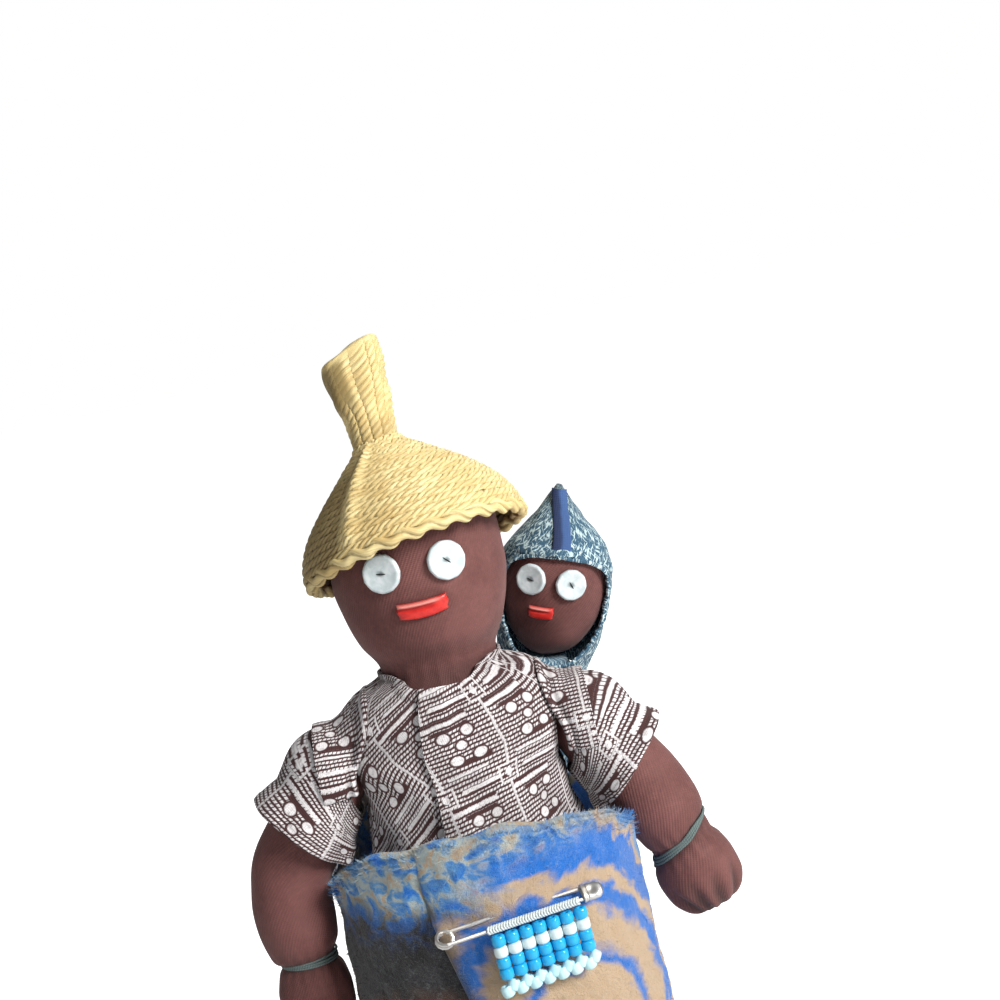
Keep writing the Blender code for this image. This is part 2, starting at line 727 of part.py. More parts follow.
def arm(side, pivot):
    """An arm with its hand in one, gathered at the wrist and puckered at the fingertips."""
    drop = WRIST_DROPS[side]
    length = drop + HAND_LENGTH * HAND_SHARES[-1][0]
    front = Vector((0, -1, 0))
    rings = []
    start = arm_direction(side, 0)
    across = start.cross(front)
    for share in ARM_END_SHARES:
        back = ARM_BALL_RADIUS * share
        radius = math.sqrt(ARM_BALL_RADIUS**2 - back**2)
        angles = [turn * math.tau for turn in even_steps(0, 1, ROUND_LIMB)[:-1]]
        rings.append([radius * (math.cos(a) * across + math.sin(a) * front) - start * back for a in angles])
    band = WRIST_BAND_WIDTH / 2
    down_arm = even_steps(0, drop - band, 8) + [drop, drop + band]
    down_hand = [drop + HAND_LENGTH * s for s, _ in HAND_SHARES]
    for place in down_arm + down_hand:
        middle, half_width = arm_middle(side, place)
        along = arm_direction(side, min(place, length - SAMPLE_STEP))
        across = along.cross(front).normalized()
        on_hand = ease((place - drop) / HAND_LENGTH)
        depth_share = 1 + (ARM_DEPTH_SHARE - 1) * ease(place / drop)
        depth_share += (HAND_DEPTH_SHARE - ARM_DEPTH_SHARE) * on_hand
        ring = []
        for turn in even_steps(0, 1, ROUND_LIMB)[:-1]:
            angle = turn * math.tau
            pucker = 1 - FINGER_SHARE * on_hand * (1 - math.cos(angle * FINGERS)) / 2
            offset = math.cos(angle) * across + math.sin(angle) * depth_share * front
            ring.append(middle + half_width * pucker * offset)
        rings.append(ring)
    add_piece(f"{side}_arm", solid_of_rings(rings), "skin", pivot)


def wrist_band(side, pivot):
    """The band of thread that ties the cloth in at the wrist."""
    drop = WRIST_DROPS[side]
    front = Vector((0, -1, 0))
    reach = WRIST_BAND_WIDTH / 2
    outer, inner = [], []
    for share in even_steps(-1, 1, 2):
        place = drop + reach * share
        middle, half_width = arm_middle(side, place)
        across = arm_direction(side, place).cross(front).normalized()
        bulge = WRIST_BAND_THICKNESS * (1 - (1 - WRIST_BAND_SHOULDER_SHARE) * share * share)
        near, far = [], []
        for turn in even_steps(0, 1, ROUND_LIMB)[:-1]:
            angle = turn * math.tau
            offset = math.cos(angle) * across + math.sin(angle) * front
            near.append(middle + (half_width + 2 * CLEARANCE) * offset)
            far.append(middle + (half_width + 2 * CLEARANCE + bulge) * offset)
        outer.append(far)
        inner.append(near)
    add_piece(f"{side}_wrist_thread", shell_of_grids(outer, inner, True), "thread", pivot)


def clear_of_arm(side, point, room):
    """Move a point of the sleeve away from the arm inside it, and tell which way is out."""
    reach = WRIST_DROPS[side] * SLEEVE_GUIDE_SHARE
    nearest, half_width = Vector(), ARM_BALL_RADIUS
    for drop in even_steps(0, reach, 24):
        middle, here = arm_middle(side, drop)
        if (point - middle).length < (point - nearest).length:
            nearest, half_width = middle, here
    outward = point - nearest
    distance = max(outward.length, half_width + room)
    outward.normalize()
    return nearest + outward * distance, outward


def sleeve(side, pivot):
    """A short sleeve: a ball over the shoulder that opens into a flared mouth."""
    sign = SIDES[side]
    hem_middle, _ = arm_middle(side, SLEEVE_HEM_DROP)
    mouth_x = -ARM_BALL_RADIUS * SLEEVE_MOUTH_SHARE
    start_radius = math.sqrt(SLEEVE_BALL_INNER**2 - mouth_x**2)
    hem_radius = SLEEVE_HEM_WIDTH / 2 - CLOTH_THICKNESS
    outer, inner = [], []
    for share in even_steps(0, 1, 8):
        angle = SLEEVE_HEM_ANGLE * ease(share)
        middle = Vector((sign * mouth_x, 0, 0)).lerp(hem_middle, share)
        radius = start_radius + (hem_radius - start_radius) * share
        upward = Vector((sign * math.sin(angle), 0, math.cos(angle)))
        near, far = [], []
        for turn in even_steps(0, 1, ROUND_LIMB + 4)[:-1]:
            spin = turn * math.tau
            fold = SLEEVE_FOLD_DEPTH * share * (1 - math.cos(spin * SLEEVE_FOLDS))
            offset = math.cos(spin) * upward + math.sin(spin) * Vector((0, -1, 0))
            point = middle + (radius + fold) * offset
            point, outward = clear_of_arm(side, point, SLEEVE_EASE)
            near.append(point)
            far.append(point + CLOTH_THICKNESS * outward)
        outer.append(far)
        inner.append(near)
    add_piece(f"{side}_sleeve", shell_of_grids(outer, inner, True), "print", pivot)


def arms():
    """Both arms, each on an empty at its shoulder pivot, with its thread and its sleeve."""
    for side, sign in SIDES.items():
        pivot = frame_empty(f"{side}_shoulder_pivot", (sign * PIVOT_X, 0, PIVOT_Z))
        arm(side, pivot)
        wrist_band(side, pivot)
        sleeve(side, pivot)


def neckline(turn):
    """The height of the bodice's neckline, which dips in front."""
    front = ease(math.cos(turn * math.tau)) ** NECKLINE_POINT
    return NECK_Z + NECKLINE_RISE - NECKLINE_DIP * front


def bodice(armholes):
    """The dress above the waist: a back and two fronts, the left one lapped over the right."""
    side_gap = CLEARANCE / (math.pi * CHEST_WIDTH)
    lap = CLOTH_THICKNESS + CLEARANCE

    def heights_at(turn):
        """Rows from the waist seam to the neckline, close together over the shoulder."""
        top = neckline(turn)
        return even_steps(BODICE_HEM_Z, CHEST_Z, 2) + even_steps(CHEST_Z, top, 11)[1:]

    def lapped(turn, share):
        """The left front rises over the edge of the right one."""
        return BODICE_EASE + lap * ease((FRONT_OPENING_TURN + 2 * FRONT_LAP_TURN - turn) / FRONT_LAP_TURN)

    def flat(turn, share):
        """The other panels lie straight on the body."""
        return BODICE_EASE

    lap_end = FRONT_OPENING_TURN + FRONT_LAP_TURN * UNDERLAP_SHARE
    panels = {
        "dress_back": (0.25 + side_gap, 0.75 - side_gap, 16, flat),
        "dress_right_front": (-0.25, lap_end, 11, flat),
        "dress_left_front": (FRONT_OPENING_TURN, 0.25, 13, lapped),
    }
    for name, (start, end, count, inner_at) in panels.items():
        turns = even_steps(start, end, count)
        outer, inner = wrapped_panel(
            body_surface,
            turns,
            heights_at,
            inner_at,
            lambda turn, share, at=inner_at: at(turn, share) + CLOTH_THICKNESS,
        )
        panel = add_piece(name, shell_of_grids(outer, inner, False), "print")
        for armhole in armholes:
            cut(panel, armhole)


def skirt(name):
    """The dress below the waist, flared and gathered into folds."""
    turns = even_steps(0, 1, SKIRT_FOLDS * 3)[:-1]
    heights = even_steps(SKIRT_HEM_HEIGHT, SKIRT_TOP_Z, 4)
    outer, inner = [], []
    for height in heights:
        spread = 1 - (height - SKIRT_HEM_HEIGHT) / (SKIRT_TOP_Z - SKIRT_HEM_HEIGHT)
        half_width, half_depth = read_stations(BODY_STATIONS, height)
        near, far = [], []
        for turn in turns:
            fold = SKIRT_FOLD_DEPTH * (1 + math.cos(turn * math.tau * SKIRT_FOLDS)) / 2
            out = SKIRT_INNER + (SKIRT_FLARE + fold) * spread
            near.append(round_point(turn, half_width + out, half_depth + out, height))
            out += CLOTH_THICKNESS
            far.append(round_point(turn, half_width + out, half_depth + out, height))
        outer.append(far)
        inner.append(near)
    add_piece(name, shell_of_grids(outer, inner, True), "print")


# The hat's own frame: +Z up its axis, with the origin in the middle of its brim
HAT_TURN = Euler((-HAT_TILT_BACK, HAT_LEAN, 0))
HAT_AXES = HAT_TURN.to_matrix()
HAT_HUB = Vector((HAT_OFFSET, 0, NECK_TOP_Z + HEAD_HEIGHT * EYE_HEIGHT_SHARE))


def hat_surface(turn, height):
    """The outside of the crown, in the hat's frame."""
    (share,) = read_stations(HAT_SHARES, height / HAT_CROWN_HEIGHT)
    radius = HAT_NECK_RADIUS + (HAT_RADIUS - HAT_NECK_RADIUS) * share
    return round_point(turn, radius, radius, height)


def crown_rows():
    """Heights up the crown's outside."""
    return even_steps(0, HAT_CROWN_HEIGHT, 8)


def crown_lining():
    """Radii and heights of the crown's inside, from the brim to its peak."""
    inside = [pushed_out(hat_surface, 0.25, height, -HAT_WALL) for height in crown_rows()]
    profile = [(point.x, point.z) for point in inside if point.x > HAT_WALL]
    profile[0] = (profile[0][0], 0)
    return [row for row in profile if row[1] < HAT_CROWN_HEIGHT - HAT_WALL]


def hat_seat():
    """Find the brim's middle, by lowering the hat along its axis until it rests on the head."""
    lining = crown_lining()
    radii = [radius for radius, _ in lining]
    heights = [height for _, height in lining]
    top = HEAD_STATIONS[-1][0]
    levels = even_steps(HAT_HUB.z, top, ROWS_BODY * 2)
    skin = [head_surface(turn, z) for z in levels for turn in even_steps(0, 1, ROUND_BODY * 2)]
    skin.append(Vector((0, 0, CROWN_Z)))
    local = [HAT_AXES.transposed() @ (point - HAT_HUB) for point in skin]

    def clears(lift):
        """Tell whether the head keeps its gap inside the crown at this lift."""
        for point in local:
            height = point.z - lift
            if height > heights[-1]:
                return False
            room = np.interp(height, heights, radii)
            if height > 0 and math.hypot(point.x, point.y) + 2 * CLEARANCE > room:
                return False
        return True

    low, high = -HEAD_HEIGHT, HEAD_HEIGHT
    while high - low > SAMPLE_STEP:
        lift = (low + high) / 2
        if clears(lift):
            high = lift
        else:
            low = lift
    return HAT_HUB + HAT_AXES @ Vector((0, 0, high))


BRIM_MIDDLE = hat_seat()


def hat():
    """The hat on its own axis: crown, brim edge and topknot."""
    axis = frame_empty("hat_axis", BRIM_MIDDLE, HAT_TURN)
    hat_crown("hat_crown", axis)
    brim_edge("hat_brim_edge", axis)
    topknot("hat_topknot", axis)


def hat_crown(name, axis):
    """The woven crown: a thin cup that narrows to the topknot's neck."""
    turns = even_steps(0, 1, ROUND_BODY)[:-1]
    outer = [[hat_surface(turn, height) for turn in turns] for height in crown_rows()]
    inner = [[round_point(turn, r, r, z) for turn in turns] for r, z in crown_lining()]
    bm = bmesh.new()
    far = [[bm.verts.new(point) for point in row] for row in outer]
    near = [[bm.verts.new(point) for point in row] for row in inner]
    for rows in (far, near):
        for below, above in zip(rows, rows[1:]):
            bridge(bm, below, above)
        fill_end(bm, rows[-1])
    bridge(bm, far[0], near[0])
    add_piece(name, bm, "grass", axis)


def brim_edge(name, axis):
    """The twisted edge under the brim, which rises and falls with each twist."""
    radius = BRIM_EDGE_THICKNESS / 2
    rings = []
    for turn in even_steps(0, 1, BRIM_EDGE_BUMPS * 3)[:-1]:
        wave = math.cos(turn * math.tau * BRIM_EDGE_BUMPS)
        girth = radius + BRIM_EDGE_WAVE * wave
        drop = -radius - BRIM_EDGE_WAVE - CLEARANCE
        middle = round_point(turn, HAT_RADIUS - radius, HAT_RADIUS - radius, drop)
        outward = round_point(turn, 1, 1, 0)
        spins = [spin * math.tau for spin in even_steps(0, 1, ROUND_WIRE - 1)[:-1]]
        rings.append([middle + girth * (math.cos(a) * outward + Vector((0, 0, math.sin(a)))) for a in spins])
    bm = bmesh.new()
    rows = [[bm.verts.new(point) for point in ring] for ring in rings]
    for first, second in zip(rows, rows[1:] + rows[:1]):
        bridge(bm, first, second)
    add_piece(name, bm, "grass", axis)


def squared_point(turn, half_width, half_depth, height, power):
    """A point of a section that is rounder or squarer by its power."""
    angle = turn * math.tau
    sine, cosine = math.sin(angle), math.cos(angle)
    across = math.copysign(abs(sine) ** (2 / power), sine)
    front = math.copysign(abs(cosine) ** (2 / power), cosine)
    return Vector((half_width * across, -half_depth * front, height))


def topknot(name, axis):
    """The upright knot of woven grass, wide and squared above its round neck."""
    foot = HAT_CROWN_HEIGHT + CLEARANCE
    rings = []
    for share, girth in TOPKNOT_SHARES + [(1.0, TOPKNOT_CROWN_SHARE)]:
        half_width = HAT_NECK_RADIUS + (TOPKNOT_WIDTH / 2 - HAT_NECK_RADIUS) * girth
        half_depth = HAT_NECK_RADIUS + (TOPKNOT_DEPTH / 2 - HAT_NECK_RADIUS) * girth
        if share == 1:
            half_width = TOPKNOT_WIDTH / 2 * TOPKNOT_CROWN_SHARE
            half_depth = TOPKNOT_DEPTH / 2 * TOPKNOT_CROWN_SHARE
        power = 2 + (TOPKNOT_CORNER_POWER - 2) * girth
        height = TOPKNOT_HEIGHT * share
        shift = Vector((height * math.tan(TOPKNOT_SLANT) - TOPKNOT_OFFSET * girth, 0, 0))
        ring = []
        for turn in even_steps(0, 1, ROUND_LIMB)[:-1]:
            point = squared_point(turn, half_width, half_depth, foot + height, power)
            ring.append(point + shift + Vector((0, 0, point.x * TOPKNOT_TOP_SLOPE * ease(share))))
        rings.append(ring)
    add_piece(name, solid_of_rings(rings), "grass", axis)


# The baby's frame: beside and behind the hat's brim, leaning out and nodding forward
HOOD_HALF_WIDTH = BABY_HEAD_WIDTH / 2 + HOOD_EASE + HOOD_THICKNESS
HOOD_HALF_DEPTH = BABY_HEAD_DEPTH / 2 + HOOD_EASE + HOOD_THICKNESS
BABY_TURN = Euler((BABY_NOD, BABY_LEAN, 0))
BABY_AXIS = BABY_TURN.to_matrix() @ Vector((0, 0, 1))
BABY_REACH = HAT_RADIUS + HOOD_HALF_WIDTH + BABY_HAT_GAP
BABY_PLACE = Vector(
    (
        BABY_REACH * math.cos(BABY_SIDE_ANGLE),
        BABY_REACH * math.sin(BABY_SIDE_ANGLE),
        SHOULDER_Z + BABY_HEIGHT_ABOVE_SHOULDER,
    )
)
BABY_CHIN = -BABY_HEAD_HEIGHT / 2
BABY_NECK = BABY_CHIN - CLEARANCE
BUNDLE_RADIUS = BABY_BODY_WIDTH / 2 / math.cos(BABY_LEAN) + CLEARANCE
BUNDLE_FOOT_Z = BABY_PLACE.z + BABY_AXIS.z * (BABY_NECK - BABY_BODY_LENGTH)


def baby_head_surface(turn, height):
    """The skin of the baby's head, in the baby's frame."""
    rise = min(abs(height) / (BABY_HEAD_HEIGHT / 2), 1)
    girth = max(1 - rise**BABY_HEAD_POWER, 0) ** (1 / BABY_HEAD_POWER)
    return round_point(turn, BABY_HEAD_WIDTH / 2 * girth, BABY_HEAD_DEPTH / 2 * girth, height)


def hood_stations():
    """Heights, half widths and half depths of the hood's outside."""
    height = HOOD_TIP_RISE + HOOD_DROP
    rows = [(height * s - HOOD_DROP, HOOD_HALF_WIDTH * g, HOOD_HALF_DEPTH * g) for s, g in HOOD_SHARES]
    return rows + [(HOOD_TIP_RISE, HOOD_TIP_RADIUS, HOOD_TIP_RADIUS)]


HOOD_STATIONS = hood_stations()


def hood_surface(turn, height):
    """The outside of the pointed hood, in the baby's frame."""
    half_width, half_depth = read_stations(HOOD_STATIONS, height)
    return round_point(turn, half_width, half_depth, height)


def baby():
    """The baby in its own frame: body, head, face and hood."""
    frame = frame_empty("baby_frame", BABY_PLACE, BABY_TURN)
    baby_body("baby_body", frame)
    turns = even_steps(0, 1, ROUND_LIMB)[:-1]
    angles = [math.pi * step for step in even_steps(0, 1, ROWS_BODY - 3)[1:-1]]
    heights = [BABY_CHIN * math.cos(angle) for angle in angles]
    rings = [[baby_head_surface(turn, height) for turn in turns] for height in heights]
    chin, crown = Vector((0, 0, BABY_CHIN)), Vector((0, 0, -BABY_CHIN))
    add_piece("baby_head", solid_of_rings(rings, chin, crown), "skin", frame)
    for side, sign in SIDES.items():
        seat = face_seat(baby_head_surface, BABY_EYE_RISE, sign * BABY_EYE_SPACING / 2, BABY_EYE_DIAMETER)
        sewn_disc(f"baby_{side}_eye", BABY_EYE_DIAMETER, seat, frame)
    bottom = -BABY_MOUTH_DROP - BABY_MOUTH_HEIGHT / 2
    top = bottom + BABY_MOUTH_HEIGHT
    surface = baby_head_surface
    mouth("baby_mouth", surface, -BABY_MOUTH_DROP, BABY_MOUTH_WIDTH, EYE_THICKNESS, bottom, top, frame)
    hood("baby_hood", frame)
    hood_strip("baby_hood_strip", frame)


def baby_body(name, frame):
    """The baby's wrapped body, which narrows to its foot in the blanket."""
    rings = []
    for share, girth in BABY_BODY_SHARES:
        height = BABY_NECK - BABY_BODY_LENGTH * share
        turns = even_steps(0, 1, ROUND_LIMB)[:-1]
        half_width, half_depth = BABY_BODY_WIDTH / 2 * girth, BABY_BODY_DEPTH / 2 * girth
        rings.append([round_point(turn, half_width, half_depth, height) for turn in turns])
    add_piece(name, solid_of_rings(rings), "baby_cloth", frame)


def hood(name, frame):
    """The hood: a thin pointed cap, open for the face and at the neck."""
    turns = even_steps(0, 1, ROUND_LIMB)[:-1]
    heights = even_steps(-HOOD_DROP, HOOD_TIP_RISE, 10)
    outer = [[hood_surface(turn, height) for turn in turns] for height in heights]
    bm = bmesh.new()
    far = [[bm.verts.new(point) for point in row] for row in outer]
    near = []
    for height in heights:
        half_width, half_depth = read_stations(HOOD_STATIONS, height)
        if half_width > HOOD_THICKNESS * 3:
            wall = HOOD_THICKNESS
            row = [round_point(turn, half_width - wall, half_depth - wall, height) for turn in turns]
            near.append([bm.verts.new(point) for point in row])
    for rows in (far, near):
        for below, above in zip(rows, rows[1:]):
            bridge(bm, below, above)
        fill_end(bm, rows[-1])
    bridge(bm, far[0], near[0])
    piece = add_piece(name, bm, "hood", frame)
    cut(piece, face_opening("hood_face_opening", frame))


def face_opening(name, frame):
    """The arched cutter that opens the hood's front."""
    half_width = HOOD_OPENING_WIDTH / 2
    spring = HOOD_BROW_RISE - half_width
    arch = []
    for angle in even_steps(0, math.pi, 12):
        arch.append((half_width * math.cos(angle), spring + half_width * math.sin(angle)))
    foot = -HOOD_DROP - CUT_OVERRUN
    outline = [(half_width, foot)] + arch + [(-half_width, foot)]
    front, back = -HOOD_HALF_DEPTH - CUT_OVERRUN, -CUT_OVERRUN
    bm = bmesh.new()
    near, far = [[bm.verts.new((x, y, z)) for x, z in outline] for y in (front, back)]
    bridge(bm, near, far)
    bm.faces.new(near)
    bm.faces.new(far)
    return add_piece(name, bm, "hood", frame)


def hood_strip(name, frame):
    """The plain strip sewn up the hood's front, from the brow to near the tip."""
    foot, top = HOOD_BROW_RISE + 2 * CLEARANCE, HOOD_TIP_RISE - HOOD_TIP_RADIUS
    outer, inner = [], []
    for share in even_steps(0, 1, 8):
        height = foot + (top - foot) * share
        width = HOOD_STRIP_FOOT_WIDTH + (HOOD_STRIP_TOP_WIDTH - HOOD_STRIP_FOOT_WIDTH) * share
        width = min(width, hood_surface(0.25, height).x)
        reach = turn_at(hood_surface, height, width / 2)
        near, far = [], []
        for turn in even_steps(-reach, reach, 4):
            near.append(pushed_out(hood_surface, turn, height, CLEARANCE))
            far.append(pushed_out(hood_surface, turn, height, CLEARANCE + HOOD_STRIP_THICKNESS))
        inner.append(near)
        outer.append(far)
    add_piece(name, shell_of_grids(outer, inner, False), "strip", frame)


def bundle_at(height):
    """The middle of the baby's body across the blanket at one height, and how much it bulges."""
    reach = (max(height, BUNDLE_FOOT_Z) - BABY_PLACE.z) / BABY_AXIS.z
    middle = BABY_PLACE + BABY_AXIS * reach
    inside = Vector((0, WRAP_HALF_DEPTH - BUNDLE_RADIUS, 0))
    full = ease((height - BLANKET_HEM_HEIGHT) / (BUNDLE_FOOT_Z - BLANKET_HEM_HEIGHT))
    return inside.lerp(Vector((middle.x, middle.y, 0)), full)


def wrap_support(angle, height):
    """How far the blanket's inside reaches from the middle, in the way that it faces."""
    up_top = ease((height - PIN_HEIGHT) / (BLANKET_TOP_Z - PIN_HEIGHT))
    drawn = CHEST_DEPTH / 2 + BODICE_REACH + BLANKET_EASE
    half_depth = WRAP_HALF_DEPTH + (drawn - WRAP_HALF_DEPTH) * up_top * BLANKET_TOP_DRAW_SHARE
    flare = BLANKET_FLARE * ease((WAIST_Z - height) / (WAIST_Z - BLANKET_HEM_HEIGHT))
    sine, cosine = math.sin(angle), math.cos(angle)
    body = math.hypot((WRAP_HALF_WIDTH + flare) * sine, (half_depth + flare) * cosine)
    middle = bundle_at(height)
    bundle = middle.x * sine - middle.y * cosine + BUNDLE_RADIUS
    further = max(body, bundle)
    nearer = min(body, bundle)
    return further + BUNDLE_BLEND * math.log(1 + math.exp((nearer - further) / BUNDLE_BLEND))


def wrap_point(angle, height, distance):
    """A point at one distance outside the blanket's innermost surface."""
    step = SAMPLE_STEP / HIP_WIDTH * math.tau
    reach = wrap_support(angle, height)
    slope = (wrap_support(angle + step, height) - wrap_support(angle - step, height)) / (2 * step)
    outward = Vector((math.sin(angle), -math.cos(angle), 0))
    along = Vector((math.cos(angle), math.sin(angle), 0))
    return outward * (reach + distance) + along * slope + Vector((0, 0, height))


def blanket_top(angle):
    """The height of the blanket's top edge: low at the sides and highest behind the baby."""
    front = ease(math.cos(angle)) ** 2
    back = ease(-math.cos(angle)) ** 2
    return BLANKET_TOP_Z + BLANKET_FRONT_RISE * front + BLANKET_BACK_RISE * back


def blanket_fold(angle, height):
    """How far the hanging folds stand out at one place."""
    down = (BLANKET_TOP_Z - height) / (BLANKET_TOP_Z - BLANKET_HEM_HEIGHT)
    return BLANKET_FOLD_DEPTH * ease(down) * (1 + math.cos(angle * BLANKET_FOLDS)) / 2


def pinch(angle, height):
    """How far the pin gathers the outer flap into a ridge."""
    across = WRAP_HALF_WIDTH * (angle - PIN_TURN * math.tau)
    distance = math.hypot(across, (height - PIN_HEIGHT) * PINCH_SLIMNESS) / PINCH_SPREAD
    return PINCH_HEIGHT * math.exp(-distance * distance / 2)


def blanket_place(share, height_share):
    """The angle, height and inner distance of one place on the blanket."""
    start = BLANKET_START_TURN * math.tau
    full = BLANKET_LENGTH_TURNS * math.tau
    top = blanket_top(start - full * share)
    height = BLANKET_HEM_HEIGHT + (top - BLANKET_HEM_HEIGHT) * height_share
    recede = ease((PIN_HEIGHT - height) / (PIN_HEIGHT - BLANKET_HEM_HEIGHT))
    gone = (full - FLAP_RECEDE_TURN * math.tau * recede) * share
    angle = start - gone
    lap = BLANKET_LAP * ease((gone / math.tau - LAP_START_TURNS) / (LAP_END_TURNS - LAP_START_TURNS))
    distance = lap + blanket_fold(angle, height)
    if gone > math.pi:
        distance += pinch(angle + math.tau, height)
    return angle, height, distance


def blanket(name, tunnel):
    """The blanket as one long strip: round the body, over the baby and lapped over its own start."""
    columns = round(BLANKET_STEPS_PER_TURN * BLANKET_LENGTH_TURNS)
    outer, inner = [], []
    for height_share in even_steps(0, 1, BLANKET_ROWS):
        near, far = [], []
        for share in even_steps(0, 1, columns):
            angle, height, distance = blanket_place(share, height_share)
            near.append(wrap_point(angle, height, distance))
            far.append(wrap_point(angle, height, distance + BLANKET_THICKNESS))
        outer.append(far)
        inner.append(near)
    cloth = add_piece(name, shell_of_grids(outer, inner, False), "fleece")
    cut(cloth, tunnel)


# The pin's frame: +X from its coil to its cap, +Z from the fixed wire to the needle
PIN_ANGLE = PIN_TURN * math.tau
PIN_OUTWARD = Vector((math.sin(PIN_ANGLE), -math.cos(PIN_ANGLE), 0))
PIN_ALONG = Vector((math.cos(PIN_ANGLE), math.sin(PIN_ANGLE), 0)) * math.cos(PIN_RISE)
PIN_ALONG += Vector((0, 0, math.sin(PIN_RISE)))
PIN_UPWARD = PIN_OUTWARD.cross(PIN_ALONG)
PIN_APART = PIN_UPWARD * math.cos(PIN_ROLL) - PIN_OUTWARD * math.sin(PIN_ROLL)
PIN_INWARD = PIN_APART.cross(PIN_ALONG)
PIN_AXES = Matrix((PIN_ALONG, PIN_INWARD, PIN_APART)).transposed()
COIL_WIDTH = COIL_PITCH * COIL_TURNS
CAP_X = PIN_LENGTH - COIL_RADIUS


def needle_point(along):
    """A point of the needle's middle line in the pin's frame."""
    share = along / CAP_X
    return Vector((along, COIL_WIDTH * (1 - share), COIL_RADIUS + (CAP_SPREAD / 2 - COIL_RADIUS) * share))


def spine_point(along):
    """A point of the fixed wire's middle line in the pin's frame."""
    share = along / CAP_X
    return Vector((along, 0, -COIL_RADIUS + (COIL_RADIUS - CAP_SPREAD / 2) * share))


def pin_place():
    """Find the coil's middle, so that the needle runs just under the fleece that it gathers."""
    distance = BLANKET_LAP + BLANKET_THICKNESS + blanket_fold(PIN_ANGLE, PIN_HEIGHT) + PINCH_HEIGHT
    surface = wrap_point(PIN_ANGLE, PIN_HEIGHT, distance)
    under = surface - PIN_OUTWARD * (NEEDLE_DEPTH + WIRE_DIAMETER / 2)
    return under - PIN_AXES @ needle_point(CAP_X * PIN_COIL_SHARE)


PIN_PLACE = pin_place()
PIN_MATRIX = Matrix.Translation(PIN_PLACE) @ PIN_AXES.to_4x4()


def safety_pin():
    """The pin: its fixed wire with the coil, the needle that is pressed open, and the cap."""
    frame = frame_empty("pin_coil_axis", PIN_PLACE, PIN_AXES.to_euler())
    wire = WIRE_DIAMETER / 2
    coil = []
    for share in even_steps(0, 1, round(COIL_TURNS * COIL_STEPS_PER_TURN)):
        angle = -math.pi / 2 - share * COIL_TURNS * math.tau
        place = (COIL_RADIUS * math.cos(angle), COIL_WIDTH * share, COIL_RADIUS * math.sin(angle))
        coil.append(Vector(place))
    report_gap("pin_spine", coil, WIRE_DIAMETER, COIL_STEPS_PER_TURN)
    spine = [spine_point(along) for along in even_steps(CAP_X, 0, 6)]
    add_piece("pin_spine", swept_tube(spine[:-1] + coil, wire), "nickel", frame)
    needle = [needle_point(along) for along in even_steps(WIRE_DIAMETER, CAP_X - WIRE_DIAMETER, 6)]
    add_piece("pin_needle", swept_tube(needle, wire), "nickel", frame)
    pin_cap("pin_cap", frame)
    return needle_tunnel("needle_tunnel", frame)


def pin_cap(name, frame):
    """The cap: a flattened sheet cup over both wire ends."""
    room = WIRE_DIAMETER / 2 + CLEARANCE
    outer, inner = [], []
    for share in CAP_SHARES:
        narrow = math.sqrt(max(1 - (share * CAP_NARROWING) ** CAP_POWER, 0))
        for rows, wall in ((inner, 0), (outer, CAP_WALL)):
            half_height = (CAP_SPREAD / 2 + room) * (narrow if wall else 1) + wall
            half_width = room + wall
            along = CAP_X - CAP_LENGTH + (CAP_LENGTH + WIRE_DIAMETER + wall) * share
            turns = even_steps(0, 1, 12)[:-1]
            ring = [squared_point(turn, half_width, half_height, 0, CAP_POWER) for turn in turns]
            rows.append([Vector((along, point.x, point.y)) for point in ring])
    bm = bmesh.new()
    for rows in (outer, inner):
        corners = [[bm.verts.new(point) for point in row] for row in rows]
        for first, second in zip(corners, corners[1:]):
            bridge(bm, first, second)
        fill_end(bm, corners[-1])
        rows[0] = corners[0]
    bridge(bm, outer[0], inner[0])
    add_piece(name, bm, "nickel", frame)


def needle_tunnel(name, frame):
    """The slit in the fleece that the needle runs through, with room to press the needle."""
    room = WIRE_DIAMETER / 2 + NEEDLE_TUNNEL_GAP
    rings = []
    for along in even_steps(COIL_RADIUS * 2, CAP_X, 2):
        middle = needle_point(along)
        travel = along * math.tan(NEEDLE_PRESS)
        corners = [(-room, room), (room, room), (room, -room - travel), (-room, -room - travel)]
        rings.append([middle + Vector((0, y, z)) for y, z in corners])
    return add_piece(name, solid_of_rings(rings), "fleece", frame)


# The tab's frame: +X along the fixed wire that it hangs from, +Z up
TAB_ALONG = (PIN_AXES @ (spine_point(CAP_X) - spine_point(0))).normalized()
TAB_INWARD = Vector((0, 0, 1)).cross(TAB_ALONG).normalized()
TAB_UPWARD = TAB_ALONG.cross(TAB_INWARD)
TAB_AXES = Matrix((TAB_ALONG, TAB_INWARD, TAB_UPWARD)).transposed()
BEAD_PITCH = BEAD_WIDTH + BEAD_GAP
TAB_WIDTH = BEAD_PITCH * BEAD_COLUMNS
TAB_MIDDLE = CAP_X * TAB_START_SHARE + TAB_WIDTH / 2
TAB_PLACE = PIN_MATRIX @ spine_point(TAB_MIDDLE)
LASHING_RADIUS = (WIRE_DIAMETER + THREAD_DIAMETER) / 2 + CLEARANCE
ROW_PITCH = BEAD_LENGTH + CLEARANCE
FIRST_ROW_Z = -LASHING_RADIUS - THREAD_DIAMETER / 2 - CLEARANCE - BEAD_LENGTH / 2
ROW_SLOTS = ["blue_bead", "white_bead", "blue_bead", "blue_bead"]
ROW_NAMES = ["first", "second", "third", "fourth"]
# Place across a bead from its middle to its side, and its girth there
BEAD_SHARES = [(-0.80, 0.72), (0, 1.0), (0.80, 0.72)]


